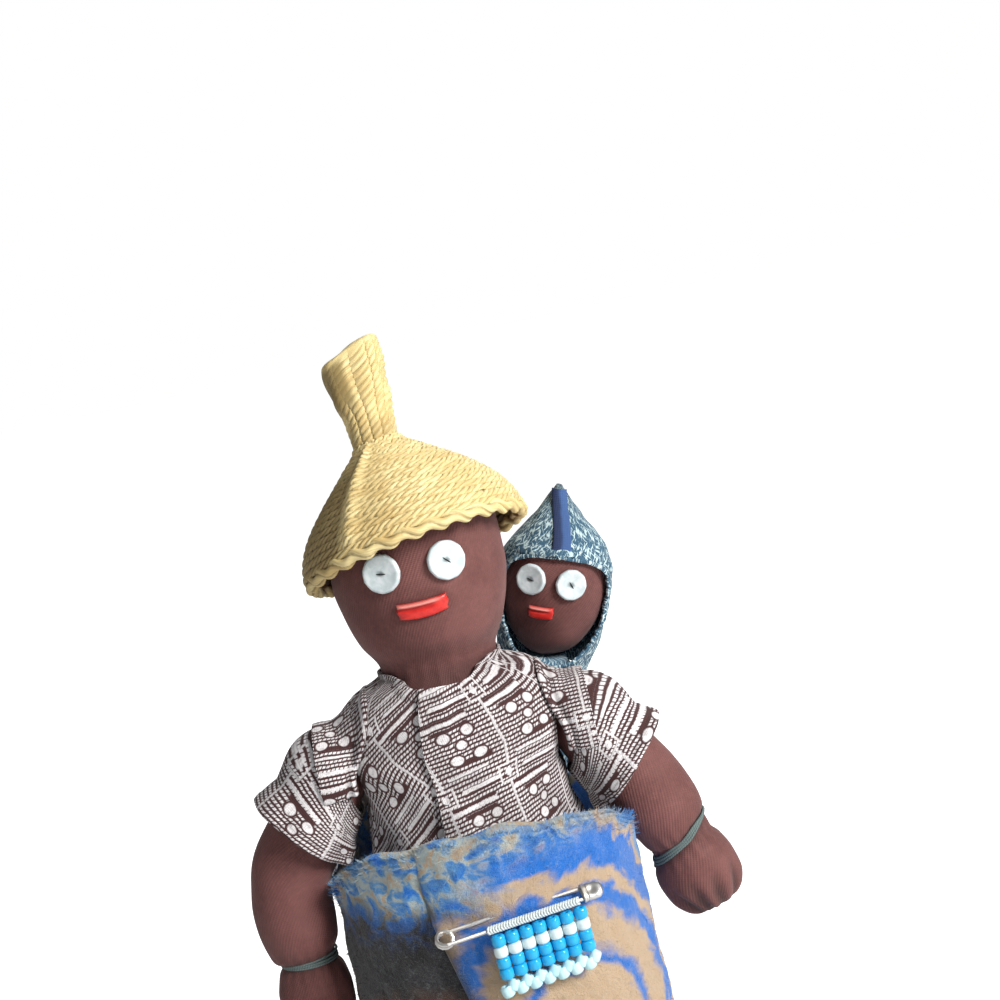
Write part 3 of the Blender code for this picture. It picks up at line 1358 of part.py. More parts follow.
def bead_tab():
    """The beaded tab: rows of seed beads, a fringe of clear ones and the lashing on the pin."""
    frame = frame_empty("bead_tab_axis", TAB_PLACE, TAB_AXES.to_euler())
    for row in range(BEAD_ROWS):
        height = FIRST_ROW_Z - ROW_PITCH * row
        bead_row(f"{ROW_NAMES[row]}_bead_row", height, ROW_SLOTS[row], frame)
    bead_fringe("bead_fringe", FIRST_ROW_Z - ROW_PITCH * (BEAD_ROWS - 1), frame)
    lashing("tab_lashing", frame)


def bead_row(name, height, slot, frame):
    """One row of upright seed beads, held side by side by their thread."""
    thread = THREAD_DIAMETER / 2
    sections = []
    for column in range(BEAD_COLUMNS):
        middle = BEAD_PITCH * (column + 0.5) - TAB_WIDTH / 2
        sections.append((middle - BEAD_PITCH / 2, thread, thread))
        for place, girth in BEAD_SHARES:
            sections.append((middle + BEAD_WIDTH / 2 * place, BEAD_WIDTH / 2 * girth, BEAD_LENGTH / 2))
    sections.append((TAB_WIDTH / 2, thread, thread))
    rings = []
    for x, half_depth, half_height in sections:
        turns = even_steps(1 / 12, 13 / 12, 6)[:-1]
        ring = [squared_point(turn, half_depth, half_height, 0, BEAD_POWER) for turn in turns]
        rings.append([Vector((x, point.x, height + point.y)) for point in ring])
    add_piece(name, solid_of_rings(rings), slot, frame)


def bead_fringe(name, above, frame):
    """The fringe: one thread of clear beads that zigzags under the last row."""
    radius = FRINGE_BEAD_DIAMETER / 2
    top = above - BEAD_LENGTH / 2 - CLEARANCE - radius
    beads = []
    for i in range(BEAD_COLUMNS * 2):
        drop = 0 if i % 2 else FRINGE_DROP - FRINGE_BEAD_DIAMETER / 2
        beads.append(Vector((BEAD_PITCH / 2 * (i + 0.5) - TAB_WIDTH / 2, 0, top - drop)))
    turns = [turn * math.tau for turn in even_steps(0, 1, ROUND_WIRE)[:-1]]
    neck = THREAD_DIAMETER / 2
    rings = []

    def ring_at(middle, girth):
        """An upright ring of the fringe."""
        rings.append([middle + girth * Vector((0, math.sin(a), math.cos(a))) for a in turns])

    for i, middle in enumerate(beads):
        for share in FRINGE_SHARES:
            across = BEAD_PITCH / 4 * share
            girth = math.sqrt(max(radius * radius - across * across, neck * neck))
            ring_at(middle + Vector((across, 0, 0)), girth)
        if i < len(beads) - 1:
            ring_at((middle + beads[i + 1]) / 2, neck)
    add_piece(name, solid_of_rings(rings), "white_bead", frame)


def lashing(name, frame):
    """The thread that winds round the pin's fixed wire, from bead to bead."""
    points = []
    length = BEAD_PITCH * LASHING_TURNS - BEAD_WIDTH / 2
    for share in even_steps(0, 1, LASHING_TURNS * LASHING_STEPS_PER_TURN):
        angle = share * LASHING_TURNS * math.tau
        x = length * (share - 0.5)
        points.append(Vector((x, LASHING_RADIUS * math.sin(angle), -LASHING_RADIUS * math.cos(angle))))
    report_gap(name, points, THREAD_DIAMETER, LASHING_STEPS_PER_TURN)
    add_piece(name, swept_tube(points, THREAD_DIAMETER / 2, 5), "white_thread", frame)


def main():
    """Clear the scene and build the doll."""
    for old in list(bpy.data.objects):
        bpy.data.objects.remove(old)
    armholes = []
    for side, sign in SIDES.items():
        armholes.append(ball(f"{side}_armhole", (sign * PIVOT_X, 0, PIVOT_Z), ARMHOLE_RADIUS))
    stand("base_disc")
    torso("torso", armholes)
    head("head")
    face()
    arms()
    bodice(armholes)
    skirt("dress_skirt")
    hat()
    baby()
    tunnel = safety_pin()
    blanket("blanket", tunnel)
    bead_tab()
    bpy.context.view_layer.update()


if __name__ == "__main__":
    main()
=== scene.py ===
"""The looks of a stuffed cloth doll that carries a hooded baby: forms, cloth, finishes and light.

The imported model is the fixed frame. Each soft solid of it is replaced by a fuller form with its own
procedural finish. The pin's wires and the card disc keep their solids, with better finishes. All
sizes are in metres, +Z is up the doll, -Y out of its front and +X towards its left arm. Cloth maps
are in millimetres.
"""

import json
import logging
import math
from collections.abc import Callable, Sequence
from dataclasses import dataclass, field
from enum import Enum

import bpy
import numpy as np
from mathutils import Euler, Matrix, Vector

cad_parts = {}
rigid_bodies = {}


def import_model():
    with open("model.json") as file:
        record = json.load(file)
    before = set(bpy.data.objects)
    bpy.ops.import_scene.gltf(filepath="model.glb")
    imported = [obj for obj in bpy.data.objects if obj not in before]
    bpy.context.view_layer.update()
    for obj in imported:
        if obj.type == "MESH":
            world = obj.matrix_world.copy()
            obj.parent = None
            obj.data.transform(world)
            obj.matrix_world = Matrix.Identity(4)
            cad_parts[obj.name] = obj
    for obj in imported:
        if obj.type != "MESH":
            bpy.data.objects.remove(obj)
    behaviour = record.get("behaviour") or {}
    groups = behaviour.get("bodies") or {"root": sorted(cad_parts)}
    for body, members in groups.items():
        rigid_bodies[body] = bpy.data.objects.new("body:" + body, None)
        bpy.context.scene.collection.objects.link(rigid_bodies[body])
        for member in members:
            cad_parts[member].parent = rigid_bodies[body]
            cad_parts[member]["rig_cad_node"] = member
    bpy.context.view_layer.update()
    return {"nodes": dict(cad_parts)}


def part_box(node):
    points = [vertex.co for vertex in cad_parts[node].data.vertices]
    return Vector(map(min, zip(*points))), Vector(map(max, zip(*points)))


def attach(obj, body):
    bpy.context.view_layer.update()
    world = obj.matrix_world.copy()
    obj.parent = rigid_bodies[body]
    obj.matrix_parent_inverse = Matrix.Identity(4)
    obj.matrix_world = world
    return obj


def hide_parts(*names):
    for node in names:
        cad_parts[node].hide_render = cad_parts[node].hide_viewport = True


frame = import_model()
LOG = logging.getLogger("doll")
TAU = math.tau
MM = 0.001
CLEARANCE = 0.0003
SHOULDER = (0.0318, 0.0, 0.1205)
BABY_MIDDLE = (0.031807, 0.028639, 0.1503)

Grid = np.ndarray


# ---------------------------------------------------------------- forms


def ease(share: Grid) -> Grid:
    """Run smoothly from 0 to 1 as the share does."""
    share = np.clip(share, 0, 1)
    return share * share * (3 - 2 * share)


def bump(place: Grid, middle: float, spread: float) -> Grid:
    """A smooth hump of height 1 about a middle."""
    return np.exp(-(((place - middle) / spread) ** 2))


def lumps(points: Grid, size: float, seed: int) -> Grid:
    """Smooth unevenness of cloth or stuffing.

    Args:
        points: places, with x, y and z in the last axis.
        size: the usual width of a lump.
        seed: which unevenness.

    Returns:
        A value of about -1 to 1 for each place.
    """
    maker = np.random.default_rng(seed)
    total = np.zeros(points.shape[:-1])
    for _ in range(7):
        way = maker.normal(size=3)
        way *= TAU / (size * maker.uniform(0.8, 1.7) * np.linalg.norm(way))
        total += np.sin(points @ way + maker.uniform(0, TAU))
    return total / 3


@dataclass(frozen=True)
class Profile:
    """A smooth table whose first column is a place, read without overshoot.

    Attributes:
        rows: places in rising order, each with the values there.
    """

    rows: tuple[tuple[float, ...], ...]

    def read(self, place: Grid) -> list[Grid]:
        """Read the table.

        Args:
            place: where to read it.

        Returns:
            One grid for each value column.
        """
        table = np.array(self.rows, float)
        knots, values = table[:, 0], table[:, 1:]
        place = np.clip(np.asarray(place, float), knots[0], knots[-1])
        widths = np.diff(knots)
        slopes = np.diff(values, axis=0) / widths[:, None]
        tangents = np.zeros_like(values)
        tangents[0], tangents[-1] = slopes[0], slopes[-1]
        before, after = slopes[:-1], slopes[1:]
        same_way = before * after > 0
        total = np.where(same_way, before + after, 1)
        tangents[1:-1] = np.where(same_way, 2 * before * after / total, 0)
        i = np.clip(np.searchsorted(knots, place) - 1, 0, len(widths) - 1)
        t = ((place - knots[i]) / widths[i])[..., None]
        square, cube = t * t, t * t * t
        read = (2 * cube - 3 * square + 1) * values[i] + (3 * square - 2 * cube) * values[i + 1]
        bend = (cube - 2 * square + t) * tangents[i] + (cube - square) * tangents[i + 1]
        read = read + widths[i][..., None] * bend
        return [read[..., column] for column in range(read.shape[-1])]


def oval(turn: Grid, half_width: Grid, half_depth: Grid, height: Grid) -> Grid:
    """Points of oval sections.

    Args:
        turn: how far round from the front, 0.25 at the doll's left.
        half_width: half the width of the section.
        half_depth: half its depth.
        height: its height.

    Returns:
        Points, with x, y and z in the last axis.
    """
    angle = np.asarray(turn) * TAU
    x, y = half_width * np.sin(angle), -half_depth * np.cos(angle)
    return np.stack(np.broadcast_arrays(x, y, height), axis=-1)


def shares(columns: int, rows: int) -> tuple[Grid, Grid]:
    """Shares across and along a grid with that many faces each way."""
    return np.meshgrid(np.linspace(0, 1, columns + 1), np.linspace(0, 1, rows + 1))


def unit(ways: Grid) -> Grid:
    """Directions of length 1."""
    return ways / np.maximum(np.linalg.norm(ways, axis=-1, keepdims=True), 1e-12)


def grid_normals(points: Grid, closed: bool) -> Grid:
    """Outward directions of a grid whose columns run round and whose rows rise.

    Args:
        points: the grid.
        closed: whether its last column lies on its first.

    Returns:
        A direction of length 1 for each point.
    """
    if closed:
        ring = points[:, :-1]
        across = np.roll(ring, -1, axis=1) - np.roll(ring, 1, axis=1)
        across = np.concatenate([across, across[:, :1]], axis=1)
    else:
        across = np.gradient(points, axis=1)
    return unit(np.cross(across, np.gradient(points, axis=0)))


def raised(points: Grid, depth: Grid, closed: bool) -> Grid:
    """Move a grid outwards by a depth at each point."""
    return points + grid_normals(points, closed) * np.asarray(depth)[..., None]


def moved(points: Grid, place: Matrix) -> Grid:
    """Carry points from a piece's own frame into the doll's."""
    turn = np.array(place.to_3x3())
    return points @ turn.T + np.array(place.translation)


def activate(piece: bpy.types.Object) -> None:
    """Select one piece alone and make it the active one."""
    bpy.ops.object.select_all(action="DESELECT")
    piece.select_set(True)
    bpy.context.view_layer.objects.active = piece


def apply_modifier(piece: bpy.types.Object, kind: str, **values: object) -> None:
    """Add a modifier with these values and apply it."""
    activate(piece)
    step = piece.modifiers.new(kind.lower(), kind)
    for name, value in values.items():
        setattr(step, name, value)
    bpy.ops.object.modifier_apply(modifier=step.name)


def lay_grid(
    name: str,
    points: Grid,
    cloth: tuple[Grid, Grid] | None = None,
    masks: dict[str, Grid] | None = None,
    weld: bool = False,
) -> bpy.types.Object:
    """Add a grid primitive and lay its corners on a grid of points.

    Args:
        name: the piece's name.
        points: where its corners go, one row of the array for each row of corners.
        cloth: the cloth's own millimetres across and along, for its UV map.
        masks: values kept on the corners for the finish.
        weld: whether corners that meet are joined.

    Returns:
        The piece.
    """
    rows, columns = points.shape[0] - 1, points.shape[1] - 1
    bpy.ops.object.select_all(action="DESELECT")
    bpy.ops.mesh.primitive_grid_add(x_subdivisions=columns, y_subdivisions=rows, size=1)
    piece = bpy.context.object
    piece.name = piece.data.name = name
    mesh = piece.data
    flat = np.empty(len(mesh.vertices) * 3)
    mesh.vertices.foreach_get("co", flat)
    flat = flat.reshape(-1, 3) + 0.5
    column = np.rint(flat[:, 0] * columns).astype(int)
    row = np.rint(flat[:, 1] * rows).astype(int)
    mesh.vertices.foreach_set("co", points[row, column].ravel())
    corners = np.empty(len(mesh.loops), int)
    mesh.loops.foreach_get("vertex_index", corners)
    if cloth is not None:
        flat_map = np.stack([side[row, column][corners] for side in cloth], axis=-1)
        mesh.uv_layers[0].data.foreach_set("uv", flat_map.ravel())
    for mask, values in (masks or {}).items():
        kept = mesh.attributes.new(mask, "FLOAT", "POINT")
        kept.data.foreach_set("value", values[row, column].astype(np.float32))
    mesh.update()
    if weld:
        edit(piece, lambda: bpy.ops.mesh.remove_doubles(threshold=1e-7))
    bpy.ops.object.shade_smooth()
    return piece


def edit(piece: bpy.types.Object, action: Callable[[], object]) -> None:
    """Run one operator on the whole of a piece in edit mode."""
    activate(piece)
    bpy.ops.object.mode_set(mode="EDIT")
    bpy.ops.mesh.select_all(action="SELECT")
    action()
    bpy.ops.object.mode_set(mode="OBJECT")


def turn_outwards(piece: bpy.types.Object) -> None:
    """Point every face of a closed piece outwards."""
    edit(piece, lambda: bpy.ops.mesh.normals_make_consistent(inside=False))


def join(name: str, pieces: Sequence[bpy.types.Object]) -> bpy.types.Object:
    """Join pieces into one mesh with the first one's finish."""
    activate(pieces[0])
    for piece in pieces:
        piece.select_set(True)
    bpy.ops.object.join()
    pieces[0].name = pieces[0].data.name = name
    return pieces[0]


def tube_points(path: Grid, radius: Grid | float, sides: int, closed: bool = False) -> Grid:
    """Rings round a path, turned as little as possible.

    Args:
        path: the middle line's points.
        radius: the tube's radius, or one for each point.
        sides: corners in a ring.
        closed: whether the path comes back to its start.

    Returns:
        A grid with one row for each point of the path.
    """
    ahead = unit(np.gradient(path, axis=0))
    if closed:
        ahead[0] = ahead[-1] = unit(path[1] - path[-2])
    normal = np.cross(ahead[0], (0.31, 0.17, 0.93))
    rings = []
    radii = np.broadcast_to(radius, len(path))
    angles = np.linspace(0, TAU, sides + 1)[:, None]
    for point, way, reach in zip(path, ahead, radii):
        normal = unit(normal - way * (normal @ way))
        side = np.cross(way, normal)
        rings.append(point + reach * (np.cos(angles) * normal + np.sin(angles) * side))
    return np.array(rings)


def tube(
    name: str, path: Grid, radius: Grid | float, sides: int = 10, closed: bool = False
) -> bpy.types.Object:
    """Make a round thread or wire through points, with its ends closed.

    Args:
        name: the piece's name.
        path: the middle line's points.
        radius: the radius, or one for each point.
        sides: corners in a ring.
        closed: whether the path comes back to its start.

    Returns:
        The piece.
    """
    points = tube_points(path, radius, sides, closed)
    if not closed:
        tips = [np.broadcast_to(end, points[0].shape) for end in (path[0], path[-1])]
        points = np.concatenate([tips[:1], points, tips[1:]])
    length = np.linspace(0, np.linalg.norm(np.diff(path, axis=0), axis=1).sum() / MM, len(points))
    round_it = np.linspace(0, TAU * np.max(radius) / MM, sides + 1)
    piece = lay_grid(name, points, tuple(np.meshgrid(round_it, length)), weld=True)
    turn_outwards(piece)
    return piece


@dataclass(frozen=True)
class Stuffing:
    """Wadding that swells a sewn form, worked out by a short cloth simulation at ten times size.

    Attributes:
        pressure: how hard the wadding pushes.
        cap: the furthest that a point may move.
        frames: how long the cloth moves.
        enlarge: how many times larger the form is meanwhile.
    """

    pressure: float = 4.0
    cap: float = 0.0009
    frames: int = 14
    enlarge: float = 10.0

    def fill(self, piece: bpy.types.Object, held: Callable[[Vector], float]) -> None:
        """Swell a piece.

        Args:
            piece: a closed form, slightly smaller than it ends.
            held: how firmly a point is sewn down, from 0 to 1.
        """
        mesh = piece.data
        start = np.empty(len(mesh.vertices) * 3)
        mesh.vertices.foreach_get("co", start)
        start = start.reshape(-1, 3)
        sewn = piece.vertex_groups.new(name="sewn")
        for i, point in enumerate(start):
            sewn.add([i], held(Vector(point)), "REPLACE")
        mesh.vertices.foreach_set("co", (start * self.enlarge).ravel())
        mesh.update()
        activate(piece)
        step = piece.modifiers.new("cloth", "CLOTH")
        step.settings.use_pressure = True
        step.settings.uniform_pressure_force = self.pressure
        step.settings.vertex_group_mass = sewn.name
        step.settings.effector_weights.gravity = 0
        scene = bpy.context.scene
        for number in range(1, self.frames + 1):
            scene.frame_set(number)
        shaped = piece.evaluated_get(bpy.context.evaluated_depsgraph_get()).data
        end = np.empty_like(start).ravel()
        shaped.vertices.foreach_get("co", end)
        travel = end.reshape(-1, 3) / self.enlarge - start
        length = np.linalg.norm(travel, axis=1, keepdims=True)
        travel *= np.minimum(1, self.cap / np.maximum(length, 1e-9))
        piece.modifiers.remove(step)
        piece.vertex_groups.remove(sewn)
        scene.frame_set(1)
        mesh.vertices.foreach_set("co", (start + travel).ravel())
        mesh.update()


# ---------------------------------------------------------------- finishes


class Field:
    """A value that flows through a node tree; arithmetic on it adds the nodes."""

    def __init__(self, tree: bpy.types.NodeTree, socket: bpy.types.NodeSocket) -> None:
        """Keep the tree and the socket that the value comes out of."""
        self.tree = tree
        self.socket = socket

    def math(self, operation: str, *others: "Field | float") -> "Field":
        """Add a Math node.

        Args:
            operation: the node's operation.
            others: its second and third value.

        Returns:
            What comes out of it.
        """
        node = self.tree.nodes.new("ShaderNodeMath")
        node.operation = operation
        for slot, value in zip(node.inputs, (self, *others)):
            if isinstance(value, Field):
                self.tree.links.new(value.socket, slot)
            else:
                slot.default_value = value
        return Field(self.tree, node.outputs[0])

    def __add__(self, other: "Field | float") -> "Field":
        """Add."""
        return self.math("ADD", other)

    def __sub__(self, other: "Field | float") -> "Field":
        """Take away."""
        return self.math("SUBTRACT", other)

    def __mul__(self, other: "Field | float") -> "Field":
        """Multiply."""
        return self.math("MULTIPLY", other)

    def cell(self, pitch: float) -> "Field":
        """How far from the middle of its cell a place lies, from -0.5 to 0.5 cells."""
        return (self * (1 / pitch)).math("FRACT") - 0.5

    def within(self, reach: float, soft: float) -> "Field":
        """1 where the size of the value is under a reach, with a soft edge."""
        node = self.tree.nodes.new("ShaderNodeMapRange")
        node.interpolation_type = "SMOOTHSTEP"
        self.tree.links.new(self.math("ABSOLUTE").socket, node.inputs["Value"])
        node.inputs["From Min"].default_value = reach - soft
        node.inputs["From Max"].default_value = reach + soft
        node.inputs["To Min"].default_value = 1
        node.inputs["To Max"].default_value = 0
        return Field(self.tree, node.outputs["Result"])

    def ramp(self, low: float, high: float, first: float = 0, last: float = 1) -> "Field":
        """Run smoothly from a first to a last value between two places."""
        node = self.tree.nodes.new("ShaderNodeMapRange")
        node.interpolation_type = "SMOOTHSTEP"
        self.tree.links.new(self.socket, node.inputs["Value"])
        for slot, value in zip(("From Min", "From Max", "To Min", "To Max"), (low, high, first, last)):
            node.inputs[slot].default_value = value
        return Field(self.tree, node.outputs["Result"])


Colour = tuple[float, float, float]


def linear(red: int, green: int, blue: int) -> Colour:
    """Turn a screen colour of 0 to 255 into light."""
    return tuple(((v / 255 + 0.055) / 1.055) ** 2.4 if v > 10 else v / 3294.6 for v in (red, green, blue))


class Tree:
    """A material's or a group's node tree, with short ways to add its nodes."""

    def __init__(self, tree: bpy.types.NodeTree) -> None:
        """Keep the tree."""
        self.tree = tree

    def add(self, kind: str, inputs: dict[str, object] | None = None, **settings: object) -> bpy.types.Node:
        """Add a node.

        Args:
            kind: the node's type, without its first part.
            inputs: what goes into its sockets, by name.
            settings: its own properties.

        Returns:
            The node.
        """
        node = self.tree.nodes.new("ShaderNode" + kind)
        for name, value in settings.items():
            setattr(node, name, value)
        for name, value in (inputs or {}).items():
            slot = node.inputs[name]
            if isinstance(value, Field):
                self.tree.links.new(value.socket, slot)
            elif isinstance(value, tuple) and len(value) == 3 and slot.type == "RGBA":
                slot.default_value = (*value, 1)
            else:
                slot.default_value = value
        return node

    def out(self, node: bpy.types.Node, name: str | int) -> Field:
        """One output of a node."""
        return Field(self.tree, node.outputs[name])

    def cloth(self) -> Field:
        """The piece's cloth map, in millimetres."""
        return self.out(self.add("UVMap"), "UV")

    def place(self) -> Field:
        """The place in the doll's frame."""
        return self.out(self.add("TexCoord"), "Object")

    def mask(self, name: str) -> Field:
        """A value kept on the piece's corners."""
        return self.out(self.add("Attribute", attribute_name=name), "Fac")

    def sides(self, vector: Field) -> tuple[Field, Field, Field]:
        """The three parts of a vector."""
        node = self.add("SeparateXYZ", {"Vector": vector})
        return self.out(node, "X"), self.out(node, "Y"), self.out(node, "Z")

    def vector(self, x: Field | float, y: Field | float, z: Field | float = 0.0) -> Field:
        """A vector from its parts."""
        return self.out(self.add("CombineXYZ", {"X": x, "Y": y, "Z": z}), "Vector")

    def stretch(self, vector: Field, by: tuple[float, float, float]) -> Field:
        """Scale a vector's parts."""
        node = self.add("VectorMath", operation="MULTIPLY")
        self.tree.links.new(vector.socket, node.inputs[0])
        node.inputs[1].default_value = by
        return self.out(node, "Vector")

    def noise(self, vector: Field, scale: float, detail: float = 2, distortion: float = 0) -> Field:
        """Cloudy unevenness from 0 to 1."""
        inputs = {"Vector": vector, "Scale": scale, "Detail": detail, "Distortion": distortion}
        return self.out(self.add("TexNoise", inputs), "Fac")

    def mix(self, share: Field | float, first: Field | Colour, second: Field | Colour) -> Field:
        """Blend two colours."""
        node = self.add("Mix", data_type="RGBA")
        for slot, value in ((0, share), (6, first), (7, second)):
            if isinstance(value, Field):
                self.tree.links.new(value.socket, node.inputs[slot])
            else:
                node.inputs[slot].default_value = (*value, 1) if slot else value
        return self.out(node, 2)

    def shades(self, share: Field, stops: Sequence[tuple[float, Colour]]) -> Field:
        """Read colours off a ramp."""
        node = self.add("ValToRGB", {"Fac": share})
        ramp = node.color_ramp
        ramp.interpolation = "EASE"
        while len(ramp.elements) < len(stops):
            ramp.elements.new(0.5)
        for element, (place, colour) in zip(ramp.elements, stops):
            element.position = place
            element.color = (*colour, 1)
        return self.out(node, "Color")


class Effect(Enum):
    """The effects that several finishes share, each a node group."""

    WEAVE = "plain_weave"
    TWILL = "twill_ribs"
    FIBRES = "loose_fibres"
    WEAR = "handling_wear"
    STITCH = "print_motifs"


@dataclass(frozen=True)
class Effects:
    """Builds the shared node groups, each once, and places them in a material."""

    def group(self, effect: Effect) -> bpy.types.NodeTree:
        """Find or build a group."""
        found = bpy.data.node_groups.get(effect.value)
        if found is None:
            found = bpy.data.node_groups.new(effect.value, "ShaderNodeTree")
            getattr(self, effect.name.lower())(found)
        return found

    def use(self, tree: Tree, effect: Effect, **inputs: object) -> bpy.types.Node:
        """Place a group in a tree.

        Args:
            tree: the material's tree.
            effect: which group.
            inputs: values of its inputs, by name.

        Returns:
            The group's node.
        """
        node = tree.tree.nodes.new("ShaderNodeGroup")
        node.node_tree = self.group(effect)
        for name, value in inputs.items():
            slot = node.inputs[name]
            if isinstance(value, Field):
                tree.tree.links.new(value.socket, slot)
            else:
                slot.default_value = value
        return node

    def ends(
        self, made: bpy.types.NodeTree, inputs: dict[str, object], outputs: Sequence[str]
    ) -> tuple[Tree, dict[str, Field], bpy.types.Node]:
        """Give a group its sockets.

        Args:
            made: the group.
            inputs: its inputs with their values; "Vector" is a vector and the others numbers.
            outputs: its outputs, all numbers.

        Returns:
            The tree, its inputs as fields and its output node.
        """
        for name, value in inputs.items():
            kind = "NodeSocketVector" if name == "Vector" else "NodeSocketFloat"
            made_socket = made.interface.new_socket(name, in_out="INPUT", socket_type=kind)
            if kind == "NodeSocketFloat":
                made_socket.default_value = value
        for name in outputs:
            made.interface.new_socket(name, in_out="OUTPUT", socket_type="NodeSocketFloat")
        tree = Tree(made)
        start = made.nodes.new("NodeGroupInput")
        end = made.nodes.new("NodeGroupOutput")
        return tree, {name: Field(made, start.outputs[name]) for name in inputs}, end

    def weave(self, made: bpy.types.NodeTree) -> None:
        """Threads over and under each other."""
        tree, given, end = self.ends(made, {"Vector": None, "Pitch": 0.5}, ["Height", "Shade"])
        x, y, _ = tree.sides(given["Vector"])
        scale = given["Pitch"].math("POWER", -1.0) * math.pi
        u, v = (x * scale).math("SINE"), (y * scale).math("SINE")
        height = (u * u) * (v * v)
        uneven = tree.noise(given["Vector"], 1.7, 3)
        tree.tree.links.new((height * 0.8 + uneven * 0.4).socket, end.inputs["Height"])
        tree.tree.links.new((height * 0.35 + uneven * 0.65).socket, end.inputs["Shade"])

    def twill(self, made: bpy.types.NodeTree) -> None:
        """Fine ribs that run slantwise, broken by the crossing threads."""
        tree, given, end = self.ends(made, {"Vector": None, "Pitch": 0.7}, ["Height", "Shade"])
        x, y, _ = tree.sides(given["Vector"])
        scale = given["Pitch"].math("POWER", -1.0) * TAU
        rib = ((x * 0.86 - y * 0.5) * scale).math("SINE") * 0.5 + 0.5
        cross = ((x * 0.4 + y * 0.9) * scale * 1.6).math("SINE") * 0.5 + 0.5
        uneven = tree.noise(given["Vector"], 0.8, 4)
        height = rib * 0.7 + cross * 0.3
        tree.tree.links.new((height * (uneven * 0.8 + 0.4)).socket, end.inputs["Height"])
        tree.tree.links.new((height * 0.18 + uneven * 0.82).socket, end.inputs["Shade"])

    def fibres(self, made: bpy.types.NodeTree) -> None:
        """Short loose fibres that lie every way, as on fleece."""
        tree, given, end = self.ends(made, {"Vector": None, "Pitch": 1.0}, ["Height", "Shade"])
        scale = given["Pitch"].math("POWER", -1.0)
        warped = tree.out(
            tree.add("VectorMath", {"Vector": given["Vector"], "Scale": scale}, operation="SCALE"), "Vector"
        )
        clumps = tree.noise(warped, 0.55, 4, 1.2)
        one_way = tree.noise(tree.stretch(warped, (1.1, 4.2, 1.0)), 1.3, 3, 0.8)
        other_way = tree.noise(tree.stretch(warped, (4.6, 1.2, 1.0)), 1.1, 3, 0.8)
        strands = one_way.math("MAXIMUM", other_way)
        tree.tree.links.new((clumps * 0.55 + strands * 0.6).socket, end.inputs["Height"])
        tree.tree.links.new((clumps * 0.4 + strands * 0.6).socket, end.inputs["Shade"])

    def wear(self, made: bpy.types.NodeTree) -> None:
        """Broad soft patches where hands have rubbed or dust has settled."""
        tree, given, end = self.ends(made, {"Vector": None, "Size": 12.0}, ["Patch", "Speck"])
        scale = given["Size"].math("POWER", -1.0)
        sized = tree.out(
            tree.add("VectorMath", {"Vector": given["Vector"], "Scale": scale}, operation="SCALE"), "Vector"
        )
        tree.tree.links.new(tree.noise(sized, 1.0, 4, 0.6).ramp(0.32, 0.68).socket, end.inputs["Patch"])
        tree.tree.links.new(tree.noise(sized, 16.0, 2).ramp(0.55, 0.75).socket, end.inputs["Speck"])

    def stitch(self, made: bpy.types.NodeTree) -> None:
        """White print on cotton: rows of slanted dashes, groups of five dots and double bars."""
        tree, given, end = self.ends(made, {"Vector": None, "Wide": 17.3, "High": 20.7}, ["Ink"])
        x, y, _ = tree.sides(given["Vector"])
        wobble = (tree.noise(given["Vector"], 0.30, 2) - 0.5) * 0.7
        x, y = x + wobble, y + wobble
        u = ((x.math("DIVIDE", given["Wide"])).math("FRACT") - 0.5) * given["Wide"]
        v = ((y.math("DIVIDE", given["High"]) + 0.25).math("FRACT") - 0.25) * given["High"]
        row = y.cell(1.04)
        lean = x - row * 0.62
        dash = lean.cell(1.0).within(0.37, 0.10) * row.within(0.26, 0.11)

        def oval_at(dot_x: float, dot_y: float, reach: float, soft: float) -> Field:
            """A round dot."""
            far = ((u - dot_x) * 0.80).math("POWER", 2.0) + (v - dot_y).math("POWER", 2.0)
            return far.math("SQRT").within(reach, soft)

        def most(values: Sequence[Field]) -> Field:
            """The largest of several values."""
            total = values[0]
            for value in values[1:]:
                total = total.math("MAXIMUM", value)
            return total

        spots = (
            (2.4, 2.9, 1.12), (-3.1, 2.9, 1.12), (0.0, 0.0, 0.95), (3.1, -3.3, 1.12), (-2.3, -3.3, 1.12),
        )
        dots = most([oval_at(*spot, 0.16) for spot in spots])
        halo = most([oval_at(across, up, reach + 0.42, 0.12) for across, up, reach in spots])
        plain = (v.math("ABSOLUTE") - 4.55).within(0.46, 0.10) * (u + v * 0.25).within(4.6, 0.5)
        wall = (u.math("ABSOLUTE") - 8.65).within(0.34, 0.12)
        low, high = v - 6.15, v - 13.9
        bars = most([
            low.within(0.46, 0.10) * (u + 2.4).within(6.3, 0.2),
            (v - 10.1).within(0.46, 0.10) * (u - 2.2).within(6.4, 0.2),
            high.within(0.30, 0.10) * (u + 1.2).within(5.2, 0.2),
        ])
        gutter = most([
            (v - 7.0).within(0.26, 0.08) * (u + 2.4).within(6.3, 0.2),
            (v - 9.2).within(0.22, 0.08) * (u - 2.2).within(6.4, 0.2),
        ])
        box_x, box_y = u.math("ABSOLUTE") - 8.65, v - 10.1
        reach = box_x.math("ABSOLUTE").math("MAXIMUM", box_y.math("ABSOLUTE") * 1.2)
        frame_line = (reach - 2.35).within(0.26, 0.10)
        inside = reach.within(2.1, 0.1)
        pip = (box_x.math("POWER", 2.0) + box_y.math("POWER", 2.0)).math("SQRT").within(0.92, 0.18)
        ink = dash * (most([plain, halo, gutter]) * -1 + 1)
        outside = inside * -1 + 1
        ink = most([ink, dots, bars * outside, wall * outside * 0.8, frame_line * 0.85, pip])
        worn = tree.noise(given["Vector"], 1.3, 3).ramp(0.30, 0.52, 0.66, 1)
        tree.tree.links.new((ink * worn).socket, end.inputs["Ink"])


EFFECTS = Effects()


